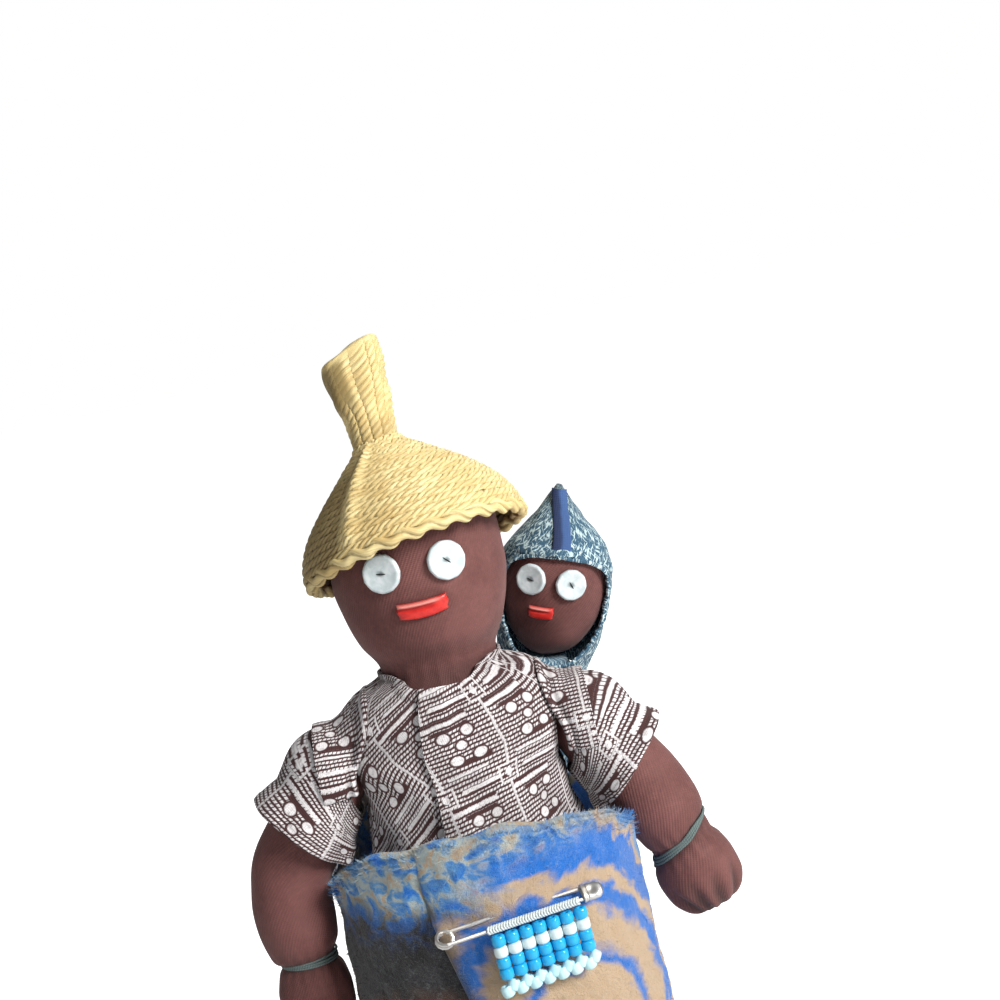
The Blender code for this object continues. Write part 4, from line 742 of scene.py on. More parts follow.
@dataclass(frozen=True)
class Finish:
    """A finish of one material slot, dressed on pieces.

    Attributes:
        name: the material's name.
        slot: the record's slot that it stands for.
        colour: its main colour.
        second: its other colour, for painted shade in hollows, prints or patches.
        roughness: how dull it is.
        sheen: how strongly its loose fibres catch the light.
        relief: the height of its bumps, in millimetres.
        shader: further values of the shader's sockets.
    """

    name: str
    slot: str
    colour: Colour
    second: Colour
    roughness: float = 0.85
    sheen: float = 0.0
    relief: float = 0.25
    shader: dict[str, float] = field(default_factory=dict)

    def material(self) -> bpy.types.Material:
        """Find or build the material."""
        found = bpy.data.materials.get(self.name)
        if found is not None:
            return found
        made = bpy.data.materials.new(self.name)
        made.use_nodes = True
        made.diffuse_color = (*self.colour, 1)
        shader = made.node_tree.nodes["Principled BSDF"]
        shader.inputs["Roughness"].default_value = self.roughness
        shader.inputs["Sheen Weight"].default_value = self.sheen
        shader.inputs["Sheen Roughness"].default_value = 0.45
        for name, value in self.shader.items():
            shader.inputs[name].default_value = value
        tree = Tree(made.node_tree)
        colour, height, dull = self.look(tree)
        tree.tree.links.new(colour.socket, shader.inputs["Base Color"])
        if dull is not None:
            tree.tree.links.new(dull.socket, shader.inputs["Roughness"])
        relief = tree.add("Bump", {"Height": height, "Strength": 1.0, "Distance": self.relief * MM})
        tree.tree.links.new(relief.outputs["Normal"], shader.inputs["Normal"])
        return made

    def look(self, tree: Tree) -> tuple[Field, Field, Field | None]:
        """Build the finish's colour, height and roughness.

        Args:
            tree: the material's tree.

        Returns:
            The three, the last one None where it is even.
        """
        raise NotImplementedError

    def dress(self, piece: bpy.types.Object) -> bpy.types.Object:
        """Put the finish on a piece."""
        piece.data.materials.clear()
        piece.data.materials.append(self.material())
        return piece


@dataclass(frozen=True)
class StuffedCotton(Finish):
    """Brown woven cotton over wadding."""

    def look(self, tree: Tree) -> tuple[Field, Field, Field | None]:
        """Twill ribs, rubbed patches and painted shade in the hollows."""
        ribs = EFFECTS.use(tree, Effect.TWILL, Vector=tree.cloth(), Pitch=0.72)
        worn = EFFECTS.use(tree, Effect.WEAR, Vector=tree.stretch(tree.place(), (1000, 1000, 1000)), Size=13.0)
        patch, speck = tree.out(worn, "Patch"), tree.out(worn, "Speck")
        colour = tree.mix(tree.out(ribs, "Shade"), self.second, self.colour)
        rubbed = tuple(min(1, v * 1.35 + 0.012) for v in self.colour)
        colour = tree.mix(patch * 0.35 + speck * 0.12, colour, rubbed)
        # Painted shade: darken the cloth where the mask marks creases, folds, the wrist ties and the neck.
        colour = tree.mix(tree.mask("hollow") * 0.85, colour, tuple(v * 0.3 for v in self.second))
        return colour, tree.out(ribs, "Height"), patch * -0.12 + self.roughness


@dataclass(frozen=True)
class PrintedCotton(Finish):
    """Brown cotton with a white print of rows, panels and dots."""

    def look(self, tree: Tree) -> tuple[Field, Field, Field | None]:
        """The print over a plain weave, greyer where it is soiled, with painted shade in the hollows."""
        cloth = tree.cloth()
        ink = tree.out(EFFECTS.use(tree, Effect.STITCH, Vector=cloth), "Ink")
        weave = EFFECTS.use(tree, Effect.WEAVE, Vector=cloth, Pitch=0.45)
        worn = EFFECTS.use(tree, Effect.WEAR, Vector=cloth, Size=18.0)
        ground = tree.mix(tree.out(weave, "Shade"), tuple(v * 0.62 for v in self.colour), self.colour)
        white = tree.mix(tree.out(worn, "Patch") * 0.35, self.second, tuple(v * 0.72 for v in self.second))
        colour = tree.mix(ink, ground, white)
        # Painted shade: the mask darkens seams, the troughs of folds and the cloth near the armholes.
        colour = tree.mix(tree.mask("hollow") * 0.8, colour, tuple(v * 0.22 for v in self.colour))
        return colour, ink * 0.35 + tree.out(weave, "Height") * 0.65, ink * -0.12 + self.roughness


@dataclass(frozen=True)
class Fleece(Finish):
    """Blanket fleece, blue and tan in swirls over charcoal, paler at its rolled top."""

    tan: Colour = (0.5, 0.35, 0.2)
    pale: Colour = (0.4, 0.5, 0.55)
    dark: Colour = (0.03, 0.03, 0.035)
    brown: Colour = (0.08, 0.05, 0.03)

    def look(self, tree: Tree) -> tuple[Field, Field, Field | None]:
        """Swirled bands about the tab, smoke at the covered end, a pale mottled top and painted shadow along the flap's
        free end below the pin.
        """
        cloth = tree.cloth()
        x, y, _ = tree.sides(cloth)
        fibres = EFFECTS.use(tree, Effect.FIBRES, Vector=cloth, Pitch=1.1)
        broad = tree.noise(cloth, 0.060, 3, 0.4) - 0.5
        drift = broad * 13 + (tree.noise(cloth, 0.22, 3, 0.6) - 0.5) * 6.5
        reach = ((x - 240).math("POWER", 2.0) + (y - 60).math("POWER", 2.0)).math("SQRT") + drift
        tan, blue = self.tan, self.colour
        bands = [
            (0.20, tan), (0.27, blue), (0.35, tan), (0.44, tan), (0.50, blue), (0.55, blue), (0.60, tan),
            (0.635, tan), (0.68, blue), (0.79, blue), (0.83, tan), (0.87, self.second), (0.92, blue),
            (1.0, self.pale),
        ]
        folded = (reach * (1 / 104)).math("PINGPONG", 0.5) * 2
        swirl = tree.shades(folded, bands)
        cloudy = tree.noise(cloth, 0.10, 4, 0.6)
        smoke = tree.mix(cloudy.ramp(0.35, 0.62), self.dark, tuple(v * 2.0 for v in self.dark))
        smoke = tree.mix((y + broad * 40).ramp(64, 76, 0.75, 0.0) * cloudy.ramp(0.3, 0.5), smoke, self.brown)
        mottled = tree.noise(cloth, 0.26, 4, 0.9)
        roll = tree.shades(mottled, ((0.34, self.colour), (0.45, self.second), (0.55, self.pale), (0.66, self.tan)))
        low_roll = tree.mix(mottled.ramp(0.42, 0.6), tuple(v * 0.55 for v in self.colour), smoke)
        covered = y + drift * 0.6
        left = tree.mix(covered.ramp(81, 90), smoke, low_roll)
        left = tree.mix(covered.ramp(87, 95), left, roll)
        colour = tree.mix((x + drift).ramp(84, 118), left, swirl)
        hidden = (x + drift * 0.4).ramp(243, 258) * (y + drift * 0.3).ramp(86, 91)
        colour = tree.mix(hidden, colour, left)
        colour = tree.mix((y + drift * 0.35).ramp(97, 103, 0, 0.8), colour, roll)
        # Painted shadow: darken the last few millimetres of the flap's free end below the pin.
        edge = x.ramp(256, 262, 0, 0.7) * y.ramp(84, 90, 1, 0)
        colour = tree.mix(edge, colour, tuple(v * 0.5 for v in self.dark))
        shade = tree.out(fibres, "Shade")
        colour = tree.mix(shade.ramp(0.28, 0.50, 0.40, 0), colour, tuple(v * 0.4 for v in self.dark))
        colour = tree.mix(shade.ramp(0.52, 0.78, 0, 0.42), colour, self.pale)
        return colour, tree.out(fibres, "Height"), None


@dataclass(frozen=True)
class WovenGrass(Finish):
    """Dry grass, twined in rows of coiled strands."""

    def look(self, tree: Tree) -> tuple[Field, Field, Field | None]:
        """Each strand has its own shade and fine streaks, with painted shade between the strands, on the shaded side
        and inside; the map counts strands and rows.
        """
        x, y, _ = tree.sides(tree.cloth())
        across, along = x.cell(1.0), y.cell(1.0)
        number = tree.vector(x.math("FLOOR"), y.math("FLOOR"))
        strand = tree.out(tree.add("TexWhiteNoise", {"Vector": number}), "Value")
        edge = across.within(0.42, 0.13) * (along.within(0.48, 0.12) * 0.45 + 0.55)
        gap = (edge * -1 + 1) * (tree.mask("smooth") * -1 + 1)
        fine = tree.noise(tree.vector(x * 9.0, y * 0.8), 1.0, 3)
        worn = EFFECTS.use(tree, Effect.WEAR, Vector=tree.stretch(tree.place(), (1000, 1000, 1000)), Size=12.0)
        straw = tree.mix(strand * 0.75, self.colour, self.second)
        pale = tuple(min(1, v * 1.22 + 0.05) for v in self.colour)
        straw = tree.mix(fine.ramp(0.45, 0.7) * 0.55, straw, pale)
        straw = tree.mix(fine.ramp(0.30, 0.42, 0.45, 0), straw, tuple(v * 0.6 for v in self.second))
        straw = tree.mix(tree.out(worn, "Patch") * 0.30, straw, self.second)
        # Painted shade: the mask darkens the straw on the hat's side away from the light, in its lining and at the
        # knot's foot.
        straw = tree.mix(tree.mask("browned"), straw, tuple(v * 0.42 for v in self.second))
        # Painted shade between the strands, darker still where the shade mask is high.
        colour = tree.mix(gap * (tree.mask("browned") * 0.9 + 0.42), straw, (0.115, 0.060, 0.020))
        round_it = (across * across * -2.6 + 1) * (along * along * -2.2 + 1)
        return colour, round_it * (gap * -1 + 1) + fine * 0.12, fine * -0.25 + self.roughness


@dataclass(frozen=True)
class SewnDisc(Finish):
    """A polished white disc, greyed and pierced in its middle."""

    def look(self, tree: Tree) -> tuple[Field, Field, Field | None]:
        """Cloudy white, darker grey about the middle where the thread goes in."""
        cloth = tree.cloth()
        x, y, _ = tree.sides(cloth)
        cloudy = tree.noise(cloth, 0.45, 3, 0.6)
        far = ((x * 0.75 + y * 0.35).math("POWER", 2.0) + (y * 0.9 - x * 0.3).math("POWER", 2.0)).math("SQRT")
        darker_middle = (far + cloudy * 0.9).ramp(0.55, 1.5, 1, 0)
        colour = tree.mix(cloudy.ramp(0.3, 0.7), self.second, self.colour)
        colour = tree.mix(darker_middle * 0.8, colour, (0.10, 0.13, 0.14))
        return colour, cloudy, cloudy.ramp(0.3, 0.8, self.roughness, self.roughness + 0.2)


@dataclass(frozen=True)
class GlossyStrip(Finish):
    """A red strip with a painted pale highlight on its upper rim and painted shade in the duller channel under it."""

    def look(self, tree: Tree) -> tuple[Field, Field, Field | None]:
        """Painted shade deepens the red in the channel; a painted pink highlight lies on the rim and at the notched
        end.
        """
        cloth = tree.cloth()
        uneven = tree.noise(cloth, 0.6, 3)
        colour = tree.mix(uneven.ramp(0.3, 0.7), self.second, self.colour)
        # Painted highlight: the rim mask lightens the raised upper rim towards pale pink.
        colour = tree.mix(tree.mask("rim") * 0.75, colour, (0.86, 0.42, 0.36))
        # Painted shade: the mask darkens the channel to deep red; it also makes the channel duller.
        colour = tree.mix(tree.mask("hollow") * 0.6, colour, (0.20, 0.008, 0.008))
        return colour, uneven, tree.mask("hollow") * 0.3 + self.roughness


@dataclass(frozen=True)
class TwistedThread(Finish):
    """Spun thread: fine plies that wind round it."""

    def look(self, tree: Tree) -> tuple[Field, Field, Field | None]:
        """Plies by the thread's own map."""
        x, y, _ = tree.sides(tree.cloth())
        ply = ((x * 1.2 + y * 1.6) * TAU).math("SINE") * 0.5 + 0.5
        uneven = tree.noise(tree.cloth(), 2.0, 3)
        colour = tree.mix(ply * 0.6 + uneven * 0.4, self.second, self.colour)
        return colour, ply * 0.7 + uneven * 0.3, uneven * 0.15 + self.roughness


@dataclass(frozen=True)
class KnitCloth(Finish):
    """Knit cloth with white strokes that run slantwise."""

    strokes: float = 1.0

    def look(self, tree: Tree) -> tuple[Field, Field, Field | None]:
        """Two sets of short strokes over a fine weave, with painted shade in the hollows."""
        cloth = tree.cloth()
        x, y, _ = tree.sides(cloth)
        weave = EFFECTS.use(tree, Effect.WEAVE, Vector=cloth, Pitch=0.6)
        drift = (tree.noise(cloth, 0.5, 2) - 0.5) * 1.6
        first = tree.noise(tree.vector((x - y * 0.8 + drift) * 1.5, (x * 0.8 + y) * 0.34), 1.0, 2)
        second = tree.noise(tree.vector((x + y * 1.1 + drift) * 1.4, (y - x * 0.9) * 0.32, 3.0), 1.0, 2)
        white = first.ramp(0.51, 0.60).math("MAXIMUM", second.ramp(0.56, 0.64)) * self.strokes
        ground = tree.mix(tree.out(weave, "Shade"), tuple(v * 0.5 for v in self.colour), self.colour)
        colour = tree.mix(white, ground, self.second)
        # Painted shade just inside the hood's rolled front edge, from the mask.
        colour = tree.mix(tree.mask("hollow") * 0.8, colour, tuple(v * 0.15 for v in self.colour))
        return colour, white * 0.6 + tree.out(weave, "Height") * 0.5, None


@dataclass(frozen=True)
class PlainStrip(Finish):
    """Plain blue binding, with painted shade on one half."""

    def look(self, tree: Tree) -> tuple[Field, Field, Field | None]:
        """A fine weave, with painted shade left of the middle."""
        cloth = tree.cloth()
        x, _, _ = tree.sides(cloth)
        weave = EFFECTS.use(tree, Effect.WEAVE, Vector=cloth, Pitch=0.4)
        # Painted shade: the half of the ridge towards the doll's right, turned from the light, is darker.
        half = (x + (tree.noise(cloth, 0.4, 2) - 0.5) * 0.8).ramp(-0.5, 0.6)
        colour = tree.mix(half, self.second, self.colour)
        colour = tree.mix(tree.out(weave, "Shade") * 0.4, colour, tuple(v * 0.4 for v in self.second))
        return colour, tree.out(weave, "Height"), None


@dataclass(frozen=True)
class PlatedWire(Finish):
    """Nickel plating with hairline scratches and dull, brown-tarnished hollows."""

    def look(self, tree: Tree) -> tuple[Field, Field, Field | None]:
        """Scratches and tarnish by place."""
        place = tree.stretch(tree.place(), (1000, 1000, 1000))
        scratches = tree.noise(tree.stretch(place, (0.6, 6.0, 6.0)), 1.2, 3)
        worn = EFFECTS.use(tree, Effect.WEAR, Vector=place, Size=6.0)
        colour = tree.mix(tree.out(worn, "Patch") * 0.55, self.colour, self.second)
        dull = scratches * 0.22 + tree.out(worn, "Patch") * 0.15 + self.roughness
        return colour, scratches, dull


@dataclass(frozen=True)
class SeedBead(Finish):
    """Glass of a seed bead, a little uneven from bead to bead."""

    def look(self, tree: Tree) -> tuple[Field, Field, Field | None]:
        """Shade by bead and by swirl."""
        place = tree.stretch(tree.place(), (1000, 1000, 1000))
        swirl = tree.noise(place, 0.9, 2, 0.5)
        colour = tree.mix(tree.mask("bead") * 0.7 + swirl * 0.3, self.second, self.colour)
        return colour, swirl, swirl.ramp(0.3, 0.7, self.roughness, self.roughness + 0.12)


@dataclass(frozen=True)
class PlainCard(Finish):
    """Grey-brown card with pressed fibres."""

    def look(self, tree: Tree) -> tuple[Field, Field, Field | None]:
        """Fibres and soiled edges by place."""
        place = tree.stretch(tree.place(), (1000, 1000, 1000))
        fibres = EFFECTS.use(tree, Effect.FIBRES, Vector=place, Pitch=1.4)
        worn = EFFECTS.use(tree, Effect.WEAR, Vector=place, Size=20.0)
        colour = tree.mix(tree.out(fibres, "Shade"), self.second, self.colour)
        colour = tree.mix(tree.out(worn, "Patch") * 0.3, colour, tuple(v * 0.6 for v in self.colour))
        return colour, tree.out(fibres, "Height"), None


SKIN = StuffedCotton("stuffed_cotton", "skin", linear(118, 70, 66), linear(78, 45, 43), 0.82, 0.10, 0.09)
PRINT = PrintedCotton("printed_cotton", "print", linear(76, 42, 42), linear(236, 232, 234), 0.85, 0.05, 0.16)
FLEECE = Fleece(
    "blanket_fleece", "fleece", linear(22, 112, 206), linear(90, 150, 206), 0.95, 0.30, 0.9,
    tan=linear(198, 170, 138), pale=linear(182, 194, 192), dark=linear(30, 29, 33), brown=linear(92, 62, 40),
)
GRASS = WovenGrass("woven_grass", "grass", linear(236, 216, 158), linear(204, 172, 106), 0.62, 0.0, 0.12)
DISC = SewnDisc("sewn_disc", "disc", linear(226, 234, 238), linear(196, 210, 214), 0.28, 0.0, 0.05)
RED = GlossyStrip("red_strip", "red", linear(224, 50, 42), linear(196, 34, 30), 0.30, 0.0, 0.05)
WRIST_THREAD = TwistedThread("wrist_thread", "thread", linear(120, 136, 134), linear(70, 84, 84), 0.8, 0.0, 0.05)
EYE_THREAD = TwistedThread("eye_thread", "thread", linear(46, 52, 54), linear(24, 28, 30), 0.8, 0.0, 0.05)
LASHING = TwistedThread(
    "lashing_thread", "white_thread", linear(228, 234, 234), linear(196, 208, 210), 0.95, 0.0, 0.05
)
HOOD = KnitCloth("hood_knit", "hood", linear(64, 108, 136), linear(196, 220, 226), 0.85, 0.1, 0.22)
BABY_KNIT = KnitCloth(
    "baby_knit", "baby_cloth", linear(76, 122, 152), linear(196, 218, 226), 0.85, 0.1, 0.22, strokes=0.9
)
STRIP = PlainStrip("hood_strip", "strip", linear(62, 96, 152), linear(32, 50, 92), 0.8, 0.05, 0.08)
NICKEL = PlatedWire(
    "nickel_plate", "nickel", (0.80, 0.80, 0.79), (0.46, 0.38, 0.29), 0.20, 0.0, 0.02, {"Metallic": 1.0}
)
BLUE_BEAD = SeedBead("blue_bead", "blue_bead", linear(44, 172, 218), linear(26, 142, 200), 0.16, 0.0, 0.02)
WHITE_BEAD = SeedBead("white_bead", "white_bead", linear(196, 236, 246), linear(150, 214, 232), 0.14, 0.0, 0.02)
CLEAR_BEAD = SeedBead("clear_bead", "white_bead", linear(214, 244, 248), linear(176, 226, 238), 0.12, 0.0, 0.02)
CARD = PlainCard("plain_card", "card", linear(172, 156, 130), linear(140, 122, 98), 0.9, 0.0, 0.1)


def ride(piece: bpy.types.Object, body: str, *nodes: str) -> bpy.types.Object:
    """Let a piece move with a body and stand for nodes of it.

    Args:
        piece: the finished piece.
        body: the body that it rides on.
        nodes: the solids that it replaces.

    Returns:
        The piece.
    """
    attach(piece, body)
    if nodes:
        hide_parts(*nodes)
    LOG.info("%s rides on %s: %d corners", piece.name, body, len(piece.data.vertices))
    return piece


# ---------------------------------------------------------------- stuffed figure


class Side(Enum):
    """A side of the doll, with the way that it lies along X."""

    RIGHT = -1
    LEFT = 1

    @property
    def word(self) -> str:
        """The side's name in the record."""
        return self.name.lower()


@dataclass(frozen=True)
class Eye:
    """A sewn disc with its thread, in a frame whose +Y runs out of the face."""

    diameter: float
    thickness: float = 0.0010
    corners: int = 11
    outline: tuple[tuple[float, float], ...] = (
        (0, 0), (1.0, 0), (1.0, 0.35), (0.965, 0.82), (0.90, 1.0), (0.82, 0.99),
        (0.74, 0.93), (0.62, 0.86), (0.35, 0.80), (0.10, 0.72), (0, 0.68),
    )

    def build(self, name: str, seat: Matrix, slant: float) -> list[bpy.types.Object]:
        """Make the disc and the stitch over its middle.

        Args:
            name: the disc's name.
            seat: where it sits on the face.
            slant: the way that its thread runs, in radians.

        Returns:
            The disc and the thread.
        """
        radius = self.diameter / 2
        girth, out = (np.array(column)[:, None] for column in zip(*self.outline))
        angle = np.linspace(0, TAU, 67)[None, :]
        facet = TAU / self.corners
        flat = math.cos(facet / 2) / np.cos(np.mod(angle, facet) - facet / 2)
        reach = radius * girth * (1 + (flat - 1) * 0.45 * ease((girth - 0.6) / 0.4))
        points = np.stack(
            np.broadcast_arrays(-reach * np.cos(angle), self.thickness * out, reach * np.sin(angle)), axis=-1
        )
        cloth = (points[..., 0] / MM, points[..., 2] / MM)
        disc = lay_grid(name, moved(points, seat), cloth, weld=True)
        turn_outwards(disc)
        DISC.dress(disc)
        along = np.linspace(-1, 1, 17)
        arc = np.stack(
            [
                along * radius * 0.25 * math.cos(slant),
                self.thickness * 0.70 + 0.00014 * (1 - along**2),
                along * radius * 0.25 * math.sin(slant),
            ],
            axis=-1,
        )
        thread = tube(f"{name}_thread", moved(arc, seat), 0.00016 * (1 - 0.5 * along**2), 8)
        EYE_THREAD.dress(thread)
        return [disc, thread]


def seat_on(surface: Callable[[Grid, Grid], Grid], height: float, across: float, proud: float) -> Matrix:
    """Find the frame of a flat piece on a face: its +Y runs outwards.

    Args:
        surface: the face, by turn and height.
        height: how high the piece sits.
        across: how far to the doll's left of the middle.
        proud: how far it stands off.

    Returns:
        The frame.
    """
    half_width = surface(0.25, height)[0]
    turn = math.asin(across / half_width) / TAU
    step = 0.00005
    point = Vector(surface(turn, height))
    round_it = Vector(surface(turn + 0.001, height)) - Vector(surface(turn - 0.001, height))
    upward = Vector(surface(turn, height + step)) - Vector(surface(turn, height - step))
    outward = round_it.cross(upward).normalized()
    side = outward.cross(Vector((0, 0, 1))).normalized()
    axes = Matrix((side, outward, side.cross(outward))).transposed()
    return Matrix.Translation(point + outward * proud) @ axes.to_4x4()


@dataclass(frozen=True)
class Mouth:
    """A glossy strip that follows a face, with a raised rim over a channel."""

    width: float
    height: float
    thickness: float
    smile: float = 0.0005

    def build(
        self, name: str, surface: Callable[[Grid, Grid], Grid], middle: float, place: Matrix, shift: float = 0.0
    ) -> bpy.types.Object:
        """Make the strip.

        Args:
            name: the piece's name.
            surface: the face, by turn and height.
            middle: the height of the strip's middle line.
            place: the face's frame.
            shift: how far it lies to the doll's left of the middle.

        Returns:
            The piece.
        """
        across, up = shares(56, 22)
        side = across * 2 - 1
        edge = 1 - 0.10 * side**2 - 0.25 * ease((side - 0.86) / 0.14) * bump(up, 0.55, 0.2)
        lift = self.smile * side**2 + self.smile * 0.5 * side
        half_width = surface(0.25, middle)[0]
        reach = side * self.width / 2 * (1 - 0.03 * np.sin(up * 9)) + shift
        turn = np.arcsin(np.clip(reach / half_width, -1, 1)) / TAU
        high = middle + lift + (up - 0.5) * self.height * edge
        rounded = np.sqrt(np.clip(1 - side**10, 0, 1)) * np.sqrt(np.clip(1 - (up * 2 - 1) ** 6, 0, 1))
        # The rim and the channel shape the strip; as masks they also carry a painted highlight on the rim and painted
        # shade in the channel.
        rim = bump(up, 0.86, 0.10) * ease((0.9 - side) / 0.5)
        channel = bump(up, 0.66, 0.09) * ease((0.75 - side) / 0.7)
        depth = self.thickness * rounded * (0.82 + 0.18 * rim - 0.42 * channel) + CLEARANCE
        points = raised(surface(turn, high), depth, False)
        cloth = (side * self.width / 2 / MM, up * self.height / MM)
        strip = lay_grid(name, moved(points, place), cloth, {"rim": rim, "hollow": channel})
        apply_modifier(strip, "SOLIDIFY", thickness=CLEARANCE * 0.8, offset=-1)
        return RED.dress(strip)


@dataclass(frozen=True)
class Figure:
    """The stuffed body and head, with the face, on its card disc."""

    head_height: float = 0.0500
    neck_top: float = 0.1430
    neck: float = 0.1410
    neck_foot: float = 0.1372
    crown: float = 0.1930
    pivot: tuple[float, float, float] = SHOULDER
    armhole: float = 0.0123
    eye_height_share: float = 0.500
    eye_spacing: float = 0.0149
    mouth_height_share: float = 0.304
    eye: Eye = Eye(0.0094)
    mouth: Mouth = Mouth(0.0118, 0.0041, 0.0013)
    body: Profile = Profile(
        (
            (0.0018, 0.0310, 0.0265),
            (0.0340, 0.0310, 0.0265),
            (0.0840, 0.0290, 0.0230),
            (0.1070, 0.02325, 0.0180),
            (0.113975, 0.02394, 0.016425),
            (0.1225, 0.0290, 0.0145),
            (0.13027, 0.02717, 0.01423),
            (0.13656, 0.021375, 0.013375),
            (0.1410, 0.01375, 0.01225),
            (0.1430, 0.01375, 0.01225),
        )
    )
    face: Profile = Profile(
        (
            (0.1411, 0.01410, 0.01245),
            (0.1430, 0.01410, 0.01245),
            (0.1501, 0.0176, 0.01756),
            (0.15675, 0.0198, 0.0194),
            (0.1645, 0.0212, 0.0200),
            (0.1755, 0.02067, 0.0195),
            (0.18225, 0.018338, 0.0173),
            (0.18725, 0.013992, 0.0132),
            (0.1910, 0.008056, 0.0076),
        )
    )

    def body_surface(self, turn: Grid, height: Grid) -> Grid:
        """The skin of the body."""
        return oval(turn, *self.body.read(height), height)

    def head_surface(self, turn: Grid, height: Grid) -> Grid:
        """The skin of the head, which runs on over the body's neck."""
        on_head = ease((height - self.neck + 0.0012) / 0.0034)
        neck, face = self.body.read(height), self.face.read(height)
        sides = [low + (high - low) * on_head + 0.00012 * (1 - on_head) for low, high in zip(neck, face)]
        return oval(turn, *sides, height)

    @property
    def eye_z(self) -> float:
        """The eyes' height."""
        return self.neck_top + self.head_height * self.eye_height_share

    @property
    def mouth_z(self) -> float:
        """The mouth's height."""
        return self.neck_top + self.head_height * self.mouth_height_share

    def clear_armholes(self, points: Grid, room: float) -> Grid:
        """Press points out of the two balls that the arms turn in."""
        for side in Side:
            middle = np.array(self.pivot) * (side.value, 1, 1)
            away = points - middle
            far = np.linalg.norm(away, axis=-1, keepdims=True)
            points = np.where(far < room, middle + away / np.maximum(far, 1e-9) * room, points)
        return points

    def build(self) -> None:
        """Make the body, the head, the face and the disc."""
        self.build_body()
        self.build_head()
        self.build_face()
        self.build_disc()

    def build_body(self) -> None:
        """The stuffed body, a little uneven, with dishes where the arms turn."""
        turn, up = shares(72, 76)
        height = 0.0018 + (self.neck - 0.0001 - 0.0018) * up
        points = self.body_surface(turn, height)
        points = raised(points, -0.0002 + 0.0002 * lumps(points, 0.018, 3), True)
        points[..., 2] = height
        points = self.clear_armholes(points, self.armhole)
        ends = [np.broadcast_to(row.mean(axis=0), row.shape) for row in (points[0], points[-1])]
        points = np.concatenate([ends[:1], points, ends[1:]])
        cloth = (np.vstack([turn[:1], turn, turn[-1:]]) * 180, points[..., 2] / MM)
        neck_shade = 0.9 * ease((points[..., 2] - 0.136) / 0.003)
        body = lay_grid("stuffed_body", points, cloth, {"hollow": neck_shade}, weld=True)
        SKIN.dress(body)
        ride(body, "figure", "torso")

    def build_head(self) -> None:
        """The stuffed head: gathered at the neck and dimpled where the face is sewn on."""
        turn, _ = shares(96, 64)
        top = 0.90 + 0.10 * np.sin(np.linspace(0, 1, 9)[1:-1] * math.pi / 2)
        spread = np.concatenate([np.linspace(0, 0.90, 57), top, [1]])
        height = np.broadcast_to((self.neck_foot + (0.1910 - self.neck_foot) * spread)[:, None], turn.shape)
        points = self.head_surface(turn, height)
        low = ease((0.152 - height) / 0.010)
        gather = 0.00010 * low * np.cos(turn * TAU * 23) * bump(turn, 0.0, 9)
        # Painted shade under the head where it meets the neck.
        hollow = 0.55 * ease((0.1465 - height) / 0.007)
        dimple = np.zeros_like(height)
        for across in (-self.eye_spacing / 2, self.eye_spacing / 2):
            far = np.hypot(points[..., 0] - across, points[..., 2] - self.eye_z)
            dimple += np.where(points[..., 1] < 0, bump(far, 0, 0.0052), 0)
        mouth_far = np.hypot(points[..., 0] * 0.6, points[..., 2] - self.mouth_z)
        dimple += 0.5 * np.where(points[..., 1] < 0, bump(mouth_far, 0, 0.0042), 0)
        swell = 0.00025 * lumps(points, 0.016, 8)
        points = raised(points, gather + swell - 0.00018 * dimple, True)
        tip = np.broadcast_to((0, 0, self.crown), points[-1:].shape)
        base = np.broadcast_to(points[0].mean(axis=0), points[:1].shape)
        points = np.concatenate([base, points, tip])
        frame_rows = lambda grid: np.vstack([grid[:1], grid, grid[-1:]])
        cloth = (frame_rows(turn) * 128, points[..., 2] / MM)
        head = lay_grid("stuffed_head", points, cloth, {"hollow": frame_rows(hollow)}, weld=True)
        Stuffing(pressure=3.0, cap=0.0004).fill(head, lambda p: 1.0 if p.z < 0.1445 or (p.y < -0.012 and p.z < 0.174) else 0.0)
        apply_modifier(head, "SUBSURF", levels=1, render_levels=1)
        SKIN.dress(head)
        ride(head, "figure", "head")

    def build_face(self) -> None:
        """Two discs and the mouth, on the head."""
        for side, slant in ((Side.RIGHT, 0.15), (Side.LEFT, 0.75)):
            seat = seat_on(self.head_surface, self.eye_z, side.value * self.eye_spacing / 2, CLEARANCE)
            disc, thread = self.eye.build(f"{side.word}_eye_disc", seat, slant)
            ride(disc, "figure", f"{side.word}_eye")
            ride(thread, "figure")
        strip = self.mouth.build("mouth_strip", self.head_surface, self.mouth_z, Matrix.Identity(4))
        ride(strip, "figure", "mouth")

    def build_disc(self) -> None:
        """The card disc keeps its solid."""
        CARD.dress(frame["nodes"]["base_disc"])


# ---------------------------------------------------------------- arms


